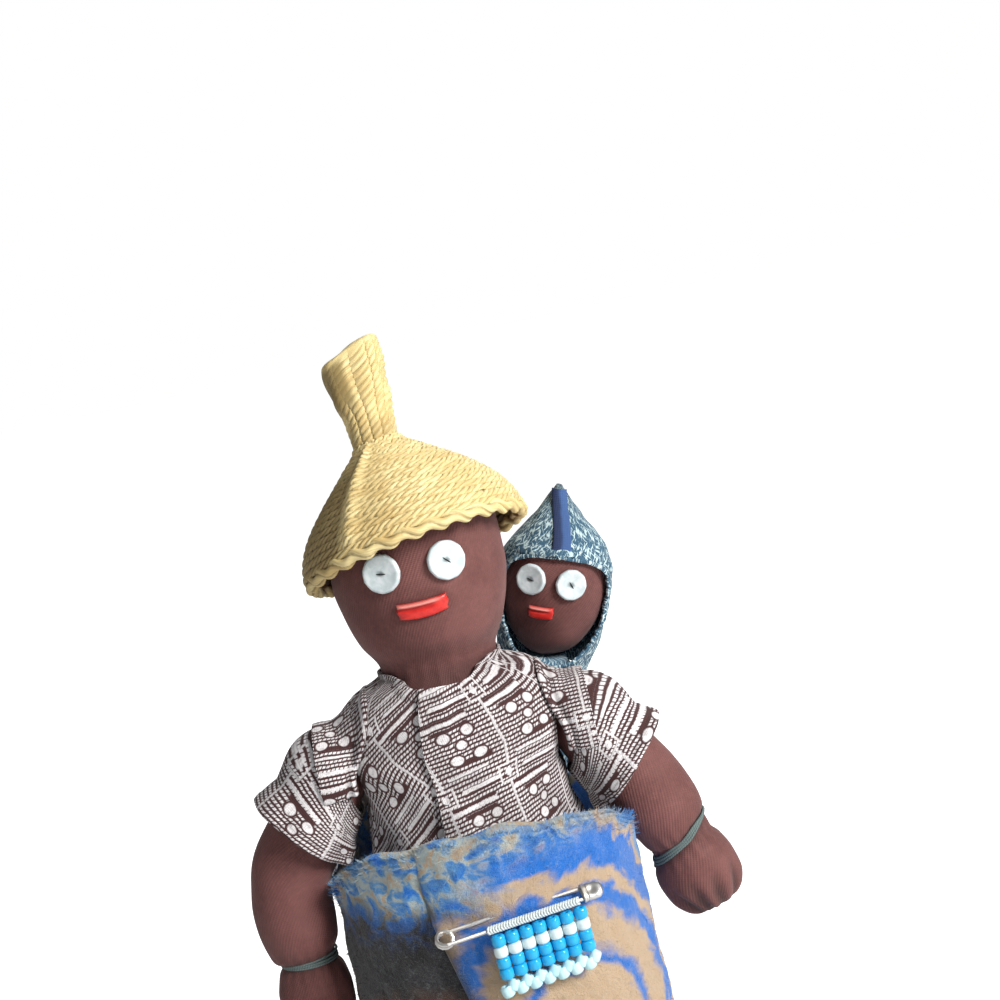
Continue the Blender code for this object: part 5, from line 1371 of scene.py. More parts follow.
@dataclass(frozen=True)
class Arm:
    """An arm in the frame of its shoulder pivot, with its fist, wrist thread and sleeve."""

    side: Side
    wrist_drop: float
    wrist_width: float
    hand_width: float
    path: tuple[tuple[float, float, float], ...]
    pivot: tuple[float, float, float] = SHOULDER
    width: float = 0.0196
    depth_share: float = 0.95
    hand_length: float = 0.0190
    hand_depth_share: float = 0.82
    wrap_half_width: float = 0.0367
    hand_gap: float = 0.0012
    sleeve_ease: float = 0.0013
    sleeve_thickness: float = 0.0008
    hem_width: float = 0.0246
    hem_angle: float = math.radians(43)
    hem_drop: float = 0.0132
    flare: float = 0.0030
    mouth_share: float = 0.46
    guide_share: float = 0.60
    print_angle: float = 0.0
    hand_tilt: float = 0.0
    tie_lean: float = 0.0

    @property
    def hand_out(self) -> float:
        """How far out from the pivot the hand hangs."""
        return self.wrap_half_width + self.hand_width / 2 + self.hand_gap - self.pivot[0]

    @property
    def profile(self) -> Profile:
        """Drops, distances out and half widths."""
        rows = [(0.0, 0.0, self.width / 2)]
        rows += [(self.wrist_drop * s, self.hand_out * o, self.width / 2 * g) for s, o, g in self.path]
        rows.append((self.wrist_drop, self.hand_out, self.wrist_width / 2))
        for share, girth in ((0.20, 0.92), (0.42, 1.0), (0.66, 0.97), (0.86, 0.80), (0.96, 0.56), (1.0, 0.36)):
            rows.append((self.wrist_drop + self.hand_length * share, self.hand_out, self.hand_width / 2 * girth))
        return Profile(tuple(rows))

    @property
    def place(self) -> Matrix:
        """The pivot's frame."""
        x, y, z = self.pivot
        return Matrix.Translation((self.side.value * x, y, z))

    def middle(self, drop: Grid) -> tuple[Grid, Grid]:
        """The middle line and the half width at a drop below the pivot."""
        out, half_width = self.profile.read(drop)
        drop = np.asarray(drop, float)
        below = drop - self.wrist_drop + 0.004
        out = out + self.hand_tilt * np.where(below > 0.008, below - 0.004, np.clip(below, 0, None) ** 2 / 0.016)
        return np.stack(np.broadcast_arrays(self.side.value * out, 0 * drop, -drop), axis=-1), half_width

    def along(self, drop: Grid) -> Grid:
        """The way that the middle line runs."""
        step = 0.00005
        return unit(self.middle(drop + step)[0] - self.middle(np.maximum(drop - step, 0))[0])

    def build(self) -> None:
        """Make the arm, its thread and its sleeve."""
        self.build_arm()
        self.build_thread()
        self.build_sleeve()

    def build_arm(self) -> None:
        """The stuffed arm: drawn in at the wrist, with folded fingers at the end of the fist."""
        body = f"{self.side.word}_arm"
        end = self.wrist_drop + self.hand_length * 0.965
        turn, down = shares(56, 96)
        drop = end * down
        middle, half_width = self.middle(drop)
        way = self.along(np.minimum(drop, end - 0.001))
        front = np.array((0.0, -1.0, 0.0))
        across = unit(np.cross(way, front))
        on_hand = ease((drop - self.wrist_drop) / self.hand_length)
        deep = 1 + (self.depth_share - 1) * ease(drop / self.wrist_drop)
        deep += (self.hand_depth_share - self.depth_share) * on_hand
        angle = -turn * TAU
        tie = bump(drop - self.tie_lean * np.cos(angle) * self.side.value, self.wrist_drop, 0.0013)
        pleats = 0.00030 * np.cos(angle * 17) * bump(drop, self.wrist_drop, 0.0045)
        radius = half_width - 0.0009 * tie + pleats * (1 - tie)
        knuckle = ease((drop - self.wrist_drop - 0.0065) / 0.0085)
        crease = np.zeros_like(drop)
        for place, lean in ((0.60, 0.0), (0.70, 0.3), (0.80, 0.2), (0.90, -0.3)):
            reach = np.abs((turn - place - lean * 0.06 * knuckle + 0.5) % 1 - 0.5)
            crease += bump(reach, 0, 0.020 + 0.008 * knuckle)
        crease = crease * knuckle
        radius = radius - 0.0016 * crease
        points = middle + radius[..., None] * (
            np.cos(angle)[..., None] * across + np.sin(angle)[..., None] * deep[..., None] * front
        )
        points = points + grid_normals(points, True) * (0.00028 * lumps(points, 0.014, 5 + self.side.value))[..., None]
        ball = self.width / 2
        caps = []
        for back in (1.0, 0.97, 0.90, 0.78, 0.62, 0.43, 0.22):
            radius_here = ball * math.sqrt(1 - back**2)
            offset = np.cos(angle[0])[:, None] * across[0, 0] + np.sin(angle[0])[:, None] * front
            caps.append(radius_here * offset - way[0, 0] * ball * back)
        tip = points[-1].mean(axis=0) + way[-1, 0] * 0.0004
        points = np.concatenate([np.array(caps), points, np.broadcast_to(tip, (1, *points[-1].shape))])
        pad = lambda grid: np.vstack([np.repeat(grid[:1], len(caps), 0), grid, grid[-1:]])
        # Painted shade in the finger creases, at the wrist tie and in the troughs of the pleats.
        hollow = np.clip(0.9 * crease + 0.75 * tie + 0.25 * (pleats < 0) * bump(drop, self.wrist_drop, 0.004), 0, 1)
        cloth = (pad(turn) * 62, pad(drop) / MM)
        arm = lay_grid(f"stuffed_{body}", moved(points, self.place), cloth, {"hollow": pad(hollow)}, weld=True)
        turn_outwards(arm)
        pivot_z = self.pivot[2]
        wrist_z = pivot_z - self.wrist_drop
        Stuffing(pressure=3.0, cap=0.00035).fill(
            arm, lambda p: 1.0 if p.z > pivot_z - 0.010 or p.z < wrist_z + 0.003 else 0.0
        )
        apply_modifier(arm, "SUBSURF", levels=1, render_levels=1)
        SKIN.dress(arm)
        ride(arm, body, body)

    def build_thread(self) -> None:
        """Three turns of thread, tied tight round the wrist."""
        turns = 3
        share = np.linspace(0, 1, 48 * turns + 1)
        angle = share * turns * TAU
        drop = self.wrist_drop + (share - 0.5) * 0.0017 + self.tie_lean * np.cos(angle) * self.side.value
        middle, half_width = self.middle(drop)
        reach = half_width - 0.0009 + 0.00042 + 0.0001 * np.sin(angle * 0.37)
        across = unit(np.cross(self.along(drop), (0.0, -1.0, 0.0)))
        ring = np.cos(angle)[:, None] * across + np.sin(angle)[:, None] * np.array((0.0, -self.depth_share, 0.0))
        path = moved(middle + reach[:, None] * ring, self.place)
        body = f"{self.side.word}_arm"
        thread = tube(f"{self.side.word}_wrist_tie", path, 0.00034, 8)
        WRIST_THREAD.dress(thread)
        ride(thread, body, f"{self.side.word}_wrist_thread")

    def build_sleeve(self) -> None:
        """A short wide sleeve, folded at its hem."""
        sign = self.side.value
        hem_middle = self.middle(np.array(self.hem_drop))[0]
        ball = self.width / 2
        mouth_x = -ball * self.mouth_share
        ball_inner = ball + self.sleeve_ease
        start_radius = math.sqrt(ball_inner**2 - mouth_x**2)
        hem_radius = self.hem_width / 2 - self.sleeve_thickness
        turn, share = shares(120, 46)
        angle = self.hem_angle * ease(share)
        middle = np.array((sign * mouth_x, 0, 0)) * (1 - share)[..., None] + hem_middle * share[..., None]
        radius = start_radius + (hem_radius - start_radius) * share
        upward = np.stack([sign * np.sin(angle), 0 * angle, np.cos(angle)], axis=-1)
        spin = turn * TAU * -sign
        fold = 0.0004 * share * (1 - np.cos(spin * 5 + 0.6)) + 0.0002 * share * np.cos(spin * 9)
        fold = fold + self.flare * ease((share - 0.35) / 0.65) * (0.55 + 0.45 * np.cos(spin - 0.35 * sign))
        offset = np.cos(spin)[..., None] * upward + np.sin(spin)[..., None] * np.array((0.0, -1.0, 0.0))
        points = middle + (radius + fold)[..., None] * offset
        guides = np.linspace(0, self.wrist_drop * self.guide_share, 40)
        centres, half_widths = self.middle(guides)
        gaps = np.linalg.norm(points[..., None, :] - centres, axis=-1)
        nearest = gaps.argmin(axis=-1)
        outward = points - centres[nearest]
        far = np.linalg.norm(outward, axis=-1, keepdims=True)
        room = (half_widths[nearest] + self.sleeve_ease)[..., None]
        points = centres[nearest] + outward / far * np.maximum(far, room)
        hem = ease((share - 0.90) / 0.03) * 0.00022
        points = points + outward / far * (self.sleeve_thickness * 0.35 + hem)[..., None]
        swing, turned = math.cos(self.print_angle), math.sin(self.print_angle)
        x, y = (turn - 0.5) * 72 * -sign, -share * 22
        cloth = (x * swing - y * turned + 5 * sign, x * turned + y * swing)
        # Painted shade near the sleeve's top by the armhole and along the fold of its hem.
        hollow = np.clip(ease((0.14 - share) / 0.14) * 0.9 + bump(share, 0.895, 0.008) * 0.5, 0, 1)
        name = f"{self.side.word}_sleeve"
        sleeve = lay_grid(f"printed_{name}", moved(points, self.place), cloth, {"hollow": hollow}, weld=True)
        apply_modifier(sleeve, "SOLIDIFY", thickness=self.sleeve_thickness * 0.6, offset=0)
        PRINT.dress(sleeve)
        body = f"{self.side.word}_arm"
        ride(sleeve, body, name)


# ---------------------------------------------------------------- dress


@dataclass(frozen=True)
class Panel:
    """One panel of the bodice: from one turn to another, with the slant of its print."""

    name: str
    node: str
    start: float
    end: float
    slant: float
    flat: tuple[float, float]


@dataclass(frozen=True)
class Dress:
    """The printed dress: three bodice panels, a cap over each shoulder and the gathered skirt."""

    figure: Figure
    thickness: float = 0.0008
    bodice_ease: float = 0.0006
    hem: float = 0.0830
    neckline_rise: float = 0.0015
    neckline_dip: float = 0.0046
    neckline_point: int = 8
    opening: float = -0.040
    lap: float = 0.030
    underlap: float = 0.8
    skirt_hem: float = 0.0010
    skirt_top: float = 0.0827
    skirt_flare: float = 0.0012
    skirt_fold: float = 0.0006
    skirt_folds: int = 14
    cap_end: float = 0.0334
    cap_radius: float = 0.0126
    cap_ease: float = 0.0019
    cap_swing: float = 1.95

    def neckline(self, turn: Grid) -> Grid:
        """The height of the neckline, which dips in front."""
        front = ease(np.cos(turn * TAU)) ** self.neckline_point
        return self.figure.neck + self.neckline_rise - self.neckline_dip * front

    def build(self) -> None:
        """Make the panels, the caps and the skirt."""
        side_gap = 0.0021
        lap_end = self.opening + self.lap * self.underlap
        panels = (
            Panel("dress_back_panel", "dress_back", 0.25 + side_gap, 0.75 - side_gap, 0.2, (0.070, 0.062)),
            Panel("dress_right_panel", "dress_right_front", -0.25, lap_end, 0.66, (0.033, 0.062)),
            Panel("dress_left_panel", "dress_left_front", self.opening, 0.25, 0.20, (0.041, 0.062)),
        )
        for panel in panels:
            self.build_panel(panel)
        self.build_cap(Side.RIGHT, (0.0185, 0.0250))
        self.build_cap(Side.LEFT, (0.0225, 0.0262))
        self.build_skirt()

    def build_panel(self, panel: Panel) -> None:
        """A panel that lies on the body, with soft folds and its armhole cut out."""
        across, up = shares(150, 130)
        turn = panel.start + (panel.end - panel.start) * across
        top = self.neckline(turn)
        height = self.hem + (top - self.hem) * up
        lapped = (self.thickness + CLEARANCE) * ease((self.opening + 2 * self.lap - turn) / self.lap)
        lap = lapped if panel.node == "dress_left_front" else 0 * turn
        surface = self.figure.body_surface(turn, height)
        drawn = ease((0.124 - height) / 0.012) * ease((height - 0.090) / 0.010)
        folds = 0.00038 * drawn * np.sin(turn * TAU * 9 + height * 260) + 0.00022 * lumps(surface, 0.011, 21)
        edge = np.minimum(np.minimum(across, 1 - across) * abs(panel.end - panel.start) * 0.16, (top - height))
        rolled = 0.00025 * ease((0.0022 - edge) / 0.0006)
        points = raised(surface, self.bodice_ease + self.thickness * 0.5 + lap + folds * 0.8 + rolled, False)
        x, y = turn * 168, height / MM - 83
        swing, turned = math.cos(panel.slant), math.sin(panel.slant)
        shift = 4.0 if panel.node == "dress_right_front" else -1.0
        cloth = (x * swing + y * turned + shift, y * swing - x * turned + 1.5)
        # Painted shade along the seams, in the troughs of the folds and near the armholes.
        seam = bump(edge, 0.0020, 0.0003) * 0.45
        crease = np.clip(-folds / 0.0006, 0, 1) * 0.35
        pivots = [np.array(self.figure.pivot) * (side.value, 1, 1) for side in Side]
        near = np.minimum(*[np.linalg.norm(points - middle, axis=-1) for middle in pivots])
        shadow = ease((0.0142 - near) / 0.0022) * 0.55
        hollow = np.clip(seam + crease + shadow, 0, 1)
        sheet = lay_grid(panel.name, points, cloth, {"hollow": hollow})
        apply_modifier(sheet, "SOLIDIFY", thickness=self.thickness * 0.7, offset=0)
        for side in Side:
            self.cut_armhole(sheet, side)
        PRINT.dress(sheet)
        ride(sheet, "figure", panel.node)

    def build_cap(self, side: Side, inner: tuple[float, float]) -> None:
        """The top of a sleeve, drawn over the shoulder from a fold on the bodice.

        Args:
            side: which shoulder.
            inner: how far from the middle its fold lies, at the top and below.
        """
        pivot_x, _, pivot_z = self.figure.pivot
        across, spin = shares(54, 110)
        swing = (spin * 2 - 1) * self.cap_swing
        low = ease((np.abs(swing) - 0.5) / 1.2)
        first = inner[0] + (inner[1] - inner[0]) * low
        x = first + (self.cap_end - first) * across
        near, far = 0 * x, 0 * x + 0.030
        for _ in range(30):
            reach = (near + far) / 2
            half_width, half_depth = self.figure.body.read(pivot_z + reach * np.cos(swing))
            half_width, half_depth = half_width + self.cap_ease, half_depth + self.cap_ease
            inside = (x / half_width) ** 2 + (reach * np.sin(swing) / half_depth) ** 2 < 1
            near, far = np.where(inside, reach, near), np.where(inside, far, reach)
        ball = np.sqrt(np.clip(self.cap_radius**2 - (x - pivot_x) ** 2, 1e-8, None))
        blend = 0.0016
        high, lower = np.maximum(near, ball), np.minimum(near, ball)
        reach = high + blend * np.log(1 + np.exp((lower - high) / blend)) * ease((x - first) / 0.004)
        fold = 0.0007 * bump(across, 0.07, 0.07) - 0.0004 * bump(across, 0.24, 0.09)
        puckers = 0.00012 * np.sin(swing * 9 + across * 5) * ease(across * 3) * ease((1 - across) * 3)
        reach = reach + fold + puckers
        points = np.stack([side.value * x, -reach * np.sin(swing) * side.value, pivot_z + reach * np.cos(swing)], axis=-1)
        cloth = (side.value * x / MM + 3.0, -np.abs(swing) * 13 + 7)
        # Painted shade along the fold at the cap's inner end and in the trough behind it.
        hollow = np.clip(bump(across, 0.0, 0.03) * 0.5 + bump(across, 0.25, 0.07) * 0.45, 0, 1)
        cap = lay_grid(f"{side.word}_shoulder_cap", points, cloth, {"hollow": hollow})
        apply_modifier(cap, "SOLIDIFY", thickness=self.thickness * 0.4, offset=0)
        PRINT.dress(cap)
        ride(cap, "figure")

    def cut_armhole(self, sheet: bpy.types.Object, side: Side) -> None:
        """Cut the ball in which the sleeve turns out of a panel."""
        bpy.ops.object.select_all(action="DESELECT")
        place = np.array(self.figure.pivot) * (side.value, 1, 1)
        bpy.ops.mesh.primitive_uv_sphere_add(
            segments=64, ring_count=32, radius=self.figure.armhole - 0.0002, location=place
        )
        ball = bpy.context.object
        apply_modifier(sheet, "BOOLEAN", operation="DIFFERENCE", solver="EXACT", object=ball)
        bpy.data.objects.remove(ball)
        activate(sheet)
        bpy.ops.object.shade_smooth_by_angle(angle=math.radians(50))

    def build_skirt(self) -> None:
        """The skirt under the blanket: flared and gathered."""
        turn, up = shares(self.skirt_folds * 18, 44)
        height = self.skirt_hem + (self.skirt_top - self.skirt_hem) * up
        half_width, half_depth = self.figure.body.read(height)
        spread = 1 - up
        fold = self.skirt_fold * (1 + np.cos(turn * TAU * self.skirt_folds)) / 2
        out = CLEARANCE + self.thickness / 2 + (self.skirt_flare + fold) * spread
        out = out + 0.00012 * np.cos(turn * TAU * 43) * ease((up - 0.8) / 0.2)
        points = oval(turn, half_width + out, half_depth + out, height)
        cloth = (turn * 196, height / MM)
        # Painted shade in the troughs of the gathers, deepest at the hem.
        hollow = (1 - np.cos(turn * TAU * self.skirt_folds)) / 2 * spread * 0.5
        skirt = lay_grid("gathered_skirt", points, cloth, {"hollow": hollow}, weld=True)
        apply_modifier(skirt, "SOLIDIFY", thickness=self.thickness * 0.8, offset=0)
        PRINT.dress(skirt)
        ride(skirt, "figure", "dress_skirt")


# ---------------------------------------------------------------- hat


@dataclass(frozen=True)
class Hat:
    """The woven grass hat, in the frame of its own brim: crown, lining, twisted edge and knot."""

    radius: float = 0.0280
    crown_height: float = 0.0275
    wall: float = 0.0010
    neck_radius: float = 0.0056
    edge_thickness: float = 0.0028
    edge_bumps: int = 27
    edge_wave: float = 0.00045
    knot_height: float = 0.0245
    knot_width: float = 0.0152
    knot_depth: float = 0.0105
    knot_offset: float = 0.0012
    knot_slant: float = math.radians(7)
    knot_slope: float = 0.23
    knot_power: float = 3.2
    strand_width: float = 0.0026
    row_pitch: float = 0.0020
    knot_pitch: float = 0.0018
    lean: float = 1.5
    fold_turn: float = 0.952
    tilt: tuple[float, float, float] = (-math.radians(15), -math.radians(9.4), 0)
    middle: tuple[float, float, float] = (0.000607, 0.000645, 0.170373)
    girth: Profile = Profile(
        ((0.0, 1.0), (0.14, 0.95), (0.31, 0.84), (0.54, 0.60), (0.80, 0.24), (0.94, 0.04), (1.0, 0.0))
    )
    knot: Profile = Profile(
        ((0.0, 0.0), (0.14, 0.02), (0.32, 0.22), (0.58, 0.80), (0.78, 1.0), (0.93, 0.90), (1.0, 0.62))
    )

    @property
    def place(self) -> Matrix:
        """The brim's frame."""
        return Matrix.Translation(self.middle) @ Euler(self.tilt).to_matrix().to_4x4()

    def surface(self, turn: Grid, height: Grid) -> Grid:
        """The outside of the crown."""
        (share,) = self.girth.read(height / self.crown_height)
        radius = self.neck_radius + (self.radius - self.neck_radius) * share
        return oval(turn, radius, radius, height)

    def weave_rows(self, across: int, along: int) -> tuple[Grid, Grid]:
        """Row number and place within the row for a grid that doubles its points at row borders."""
        number = np.repeat(np.arange(across), along + 1)
        part = np.tile(np.linspace(0, 1, along + 1), across)
        return number, part

    def relief(self, place: Grid, part: Grid) -> Grid:
        """How far each strand stands out, from 0 in the gaps to 1."""
        inside = place - np.floor(place)
        round_strand = np.sqrt(np.clip(1 - (2 * inside - 1) ** 2 * 0.9, 0, 1))
        return round_strand * (0.45 + 0.55 * np.clip(1 - np.abs(2 * part - 1) ** 2.6, 0, 1) ** 0.5)

    def build(self) -> None:
        """Make the hat's pieces."""
        self.build_crown()
        self.build_edge()
        self.build_knot()

    def build_crown(self) -> None:
        """The crown's outside in relief up to the knot, with a smoother lining."""
        fine = np.linspace(0, 1, 600)
        path = self.surface(0 * fine, self.crown_height * fine)
        length = np.concatenate([[0], np.cumsum(np.linalg.norm(np.diff(path, axis=0), axis=1))])
        count = int(round(length[-1] / self.row_pitch))
        number, part = self.weave_rows(count, 6)
        reach = (number + part) / count * length[-1]
        height = np.interp(reach, length, self.crown_height * fine)[:, None]
        turn = np.linspace(0, 1, 481)[None, :] + 0 * height
        points = self.surface(turn, height + 0 * turn)
        girth = TAU * np.linalg.norm(points[:, 0, :2], axis=-1)
        stitches = np.rint(girth[number * 7 + 3] / self.strand_width)[:, None]
        maker = np.random.default_rng(4)
        shift = np.floor(maker.uniform(0, 9, count)[number] * 10)[:, None] / 10
        wander = 0.30 * np.sin(turn * TAU * 5 + number[:, None] * 1.7) + 0.18 * np.sin(turn * TAU * 17 + number[:, None] * 2.9)
        place = turn * stitches + shift - self.lean * (part[:, None] - 0.5) + wander
        relief = self.relief(place, part[:, None] + 0 * turn)
        fold = bump(turn, self.fold_turn - 0.03 * (1 - height / self.crown_height), 0.014) * ease(height / 0.004) * ease((self.crown_height - height) / 0.004)
        points = raised(points, (relief - 0.62) * 0.0010 + 0.0012 * fold + 0.0003 * lumps(points, 0.018, 6), True)
        sunk = np.where(height > self.crown_height * 0.985, 0.9, 1.0)[..., None]
        points[..., :2] *= sunk
        # Painted shade on the crown's side towards the doll's right, away from the light, below the top.
        shaded = ease((self.fold_turn - 0.012 - 0.03 * (1 - height / self.crown_height) - turn) / 0.02) * ease((turn - 0.56) / 0.08)
        browned = 0.80 * shaded * ease((0.026 - height) / 0.010)
        masks = {"smooth": 0 * place, "browned": browned}
        cloth = (place, (number + np.clip(part, 0.001, 0.999))[:, None] + 0 * turn)
        crown = lay_grid("woven_crown", moved(points, self.place), cloth, masks, weld=True)
        GRASS.dress(crown)
        ride(crown, "hat", "hat_crown")
        self.build_lining()

    def build_lining(self) -> None:
        """The crown's inside, in broad rows."""
        number, part = self.weave_rows(11, 4)
        share = ((number + part) / 11)[:, None]
        turn = np.linspace(0, 1, 145)[None, :] + 0 * share
        height = self.crown_height * share * 0.93 + 0 * turn
        points = self.surface(turn, height)
        place = turn * 44 + number[:, None] * 0.5 + self.lean * (part[:, None] - 0.5)
        relief = self.relief(place, part[:, None] + 0 * turn)
        points = raised(points, -self.wall * 1.25 - 0.0005 * relief, True)
        points[:1] = raised(self.surface(turn, height), -self.wall * 0.2, True)[:1]
        # Painted shade inside the crown, all over the lining.
        masks = {"smooth": 0 * place, "browned": 0.85 + 0 * place}
        cloth = (place, (number + np.clip(part, 0.001, 0.999))[:, None] + 0 * turn)
        lining = lay_grid("crown_lining", moved(points, self.place), cloth, masks, weld=True)
        GRASS.dress(lining)
        ride(lining, "hat")

    def build_edge(self) -> None:
        """The twisted edge, in which each strand makes a scallop."""
        spin, turn = shares(22, self.edge_bumps * 18)
        radius = self.edge_thickness / 2
        wave = np.cos(turn * TAU * self.edge_bumps)
        drop = -radius * 0.55 + self.edge_wave * wave
        middle = oval(turn, self.radius - radius * 0.80, self.radius - radius * 0.80, drop)
        outward = oval(turn, 1, 1, 0 * turn)
        angle = spin * TAU
        twist = angle * 1.5 / math.pi + turn * self.edge_bumps
        part = twist - np.floor(twist)
        lobes = np.sqrt(np.clip(1 - np.abs(2 * part - 1) ** 2.2, 0, 1))
        girth = radius * (0.60 + 0.56 * lobes)
        points = middle + girth[..., None] * (
            np.cos(angle)[..., None] * outward + np.sin(angle)[..., None] * np.array((0.0, 0.0, 1.0))
        )
        # Painted shade on the brim's side towards the doll's right.
        masks = {"smooth": 0 * spin, "browned": ease((-points[..., 0] - 0.012) / 0.016) * 0.3}
        cloth = (twist, 0.5 + 0.0001 * turn)
        edge = lay_grid("twisted_brim", moved(points, self.place), cloth, masks, weld=True)
        turn_outwards(edge)
        GRASS.dress(edge)
        ride(edge, "hat", "hat_brim_edge")

    def build_knot(self) -> None:
        """The upright knot: columns of slanted strands, with one smooth flank and a folded top."""
        columns = 13
        number, part = self.weave_rows(columns, 12)
        turn = ((number + part) / columns)[None, :] + 0 * np.zeros((115, 1))
        up = np.linspace(0, 1, 115)[:, None] + 0 * turn
        (girth,) = self.knot.read(up)
        half_width = self.neck_radius + (self.knot_width / 2 - self.neck_radius) * girth
        half_depth = self.neck_radius + (self.knot_depth / 2 - self.neck_radius) * girth
        closing = np.sqrt(np.clip(1 - ease((up - 0.93) / 0.07) ** 2 * 0.75, 0, 1))
        power = 2 + (self.knot_power - 2) * girth
        angle = turn * TAU
        sine, cosine = np.sin(angle), np.cos(angle)
        x = half_width * closing * np.sign(sine) * np.abs(sine) ** (2 / power)
        y = -half_depth * closing * np.sign(cosine) * np.abs(cosine) ** (2 / power)
        rise = self.knot_height * up
        shift = rise * math.tan(self.knot_slant) - self.knot_offset * girth
        height = self.crown_height - 0.0006 + rise + x * self.knot_slope * ease(up)
        points = np.stack([x + shift, y, height], axis=-1)
        place = rise / self.knot_pitch - 0.85 * (part[None, :] - 0.5) + (number[None, :] * 0.37) % 1
        relief = 0.30 + 0.70 * self.relief(place, part[None, :] + 0 * turn)
        flank = ease((-x - half_width * 0.10) / (half_width * 0.30)) * ease((up - 0.30) / 0.2)
        top = ease((up - 0.86) / 0.07)
        smooth = np.clip(np.maximum(flank, top), 0, 1)
        relief = relief * (1 - smooth) + 0.8 * smooth
        points = raised(points, (relief - 0.6) * 0.0011 + 0.0003 * lumps(points, 0.007, 12), True)
        tip = points[-1].mean(axis=0) + np.array((0, 0, 0.0002))
        points = np.concatenate([points, np.broadcast_to(tip, points[:1].shape)])
        pad = lambda grid: np.vstack([grid, grid[-1:]])
        # Painted shade on the knot's smooth flank away from the light and at its foot.
        browned = np.clip(flank * 0.80 * (1 - top) + 0.30 * ease((0.25 - up) / 0.2), 0, 1)
        masks = {"smooth": pad(np.maximum(smooth, 0.55)), "browned": pad(browned)}
        strand_row = (number + np.clip(part, 0.001, 0.999))[None, :] + 0 * turn
        knot = lay_grid("woven_knot", moved(points, self.place), (pad(place), pad(strand_row)), masks, weld=True)
        GRASS.dress(knot)
        ride(knot, "hat", "hat_topknot")


# ---------------------------------------------------------------- baby


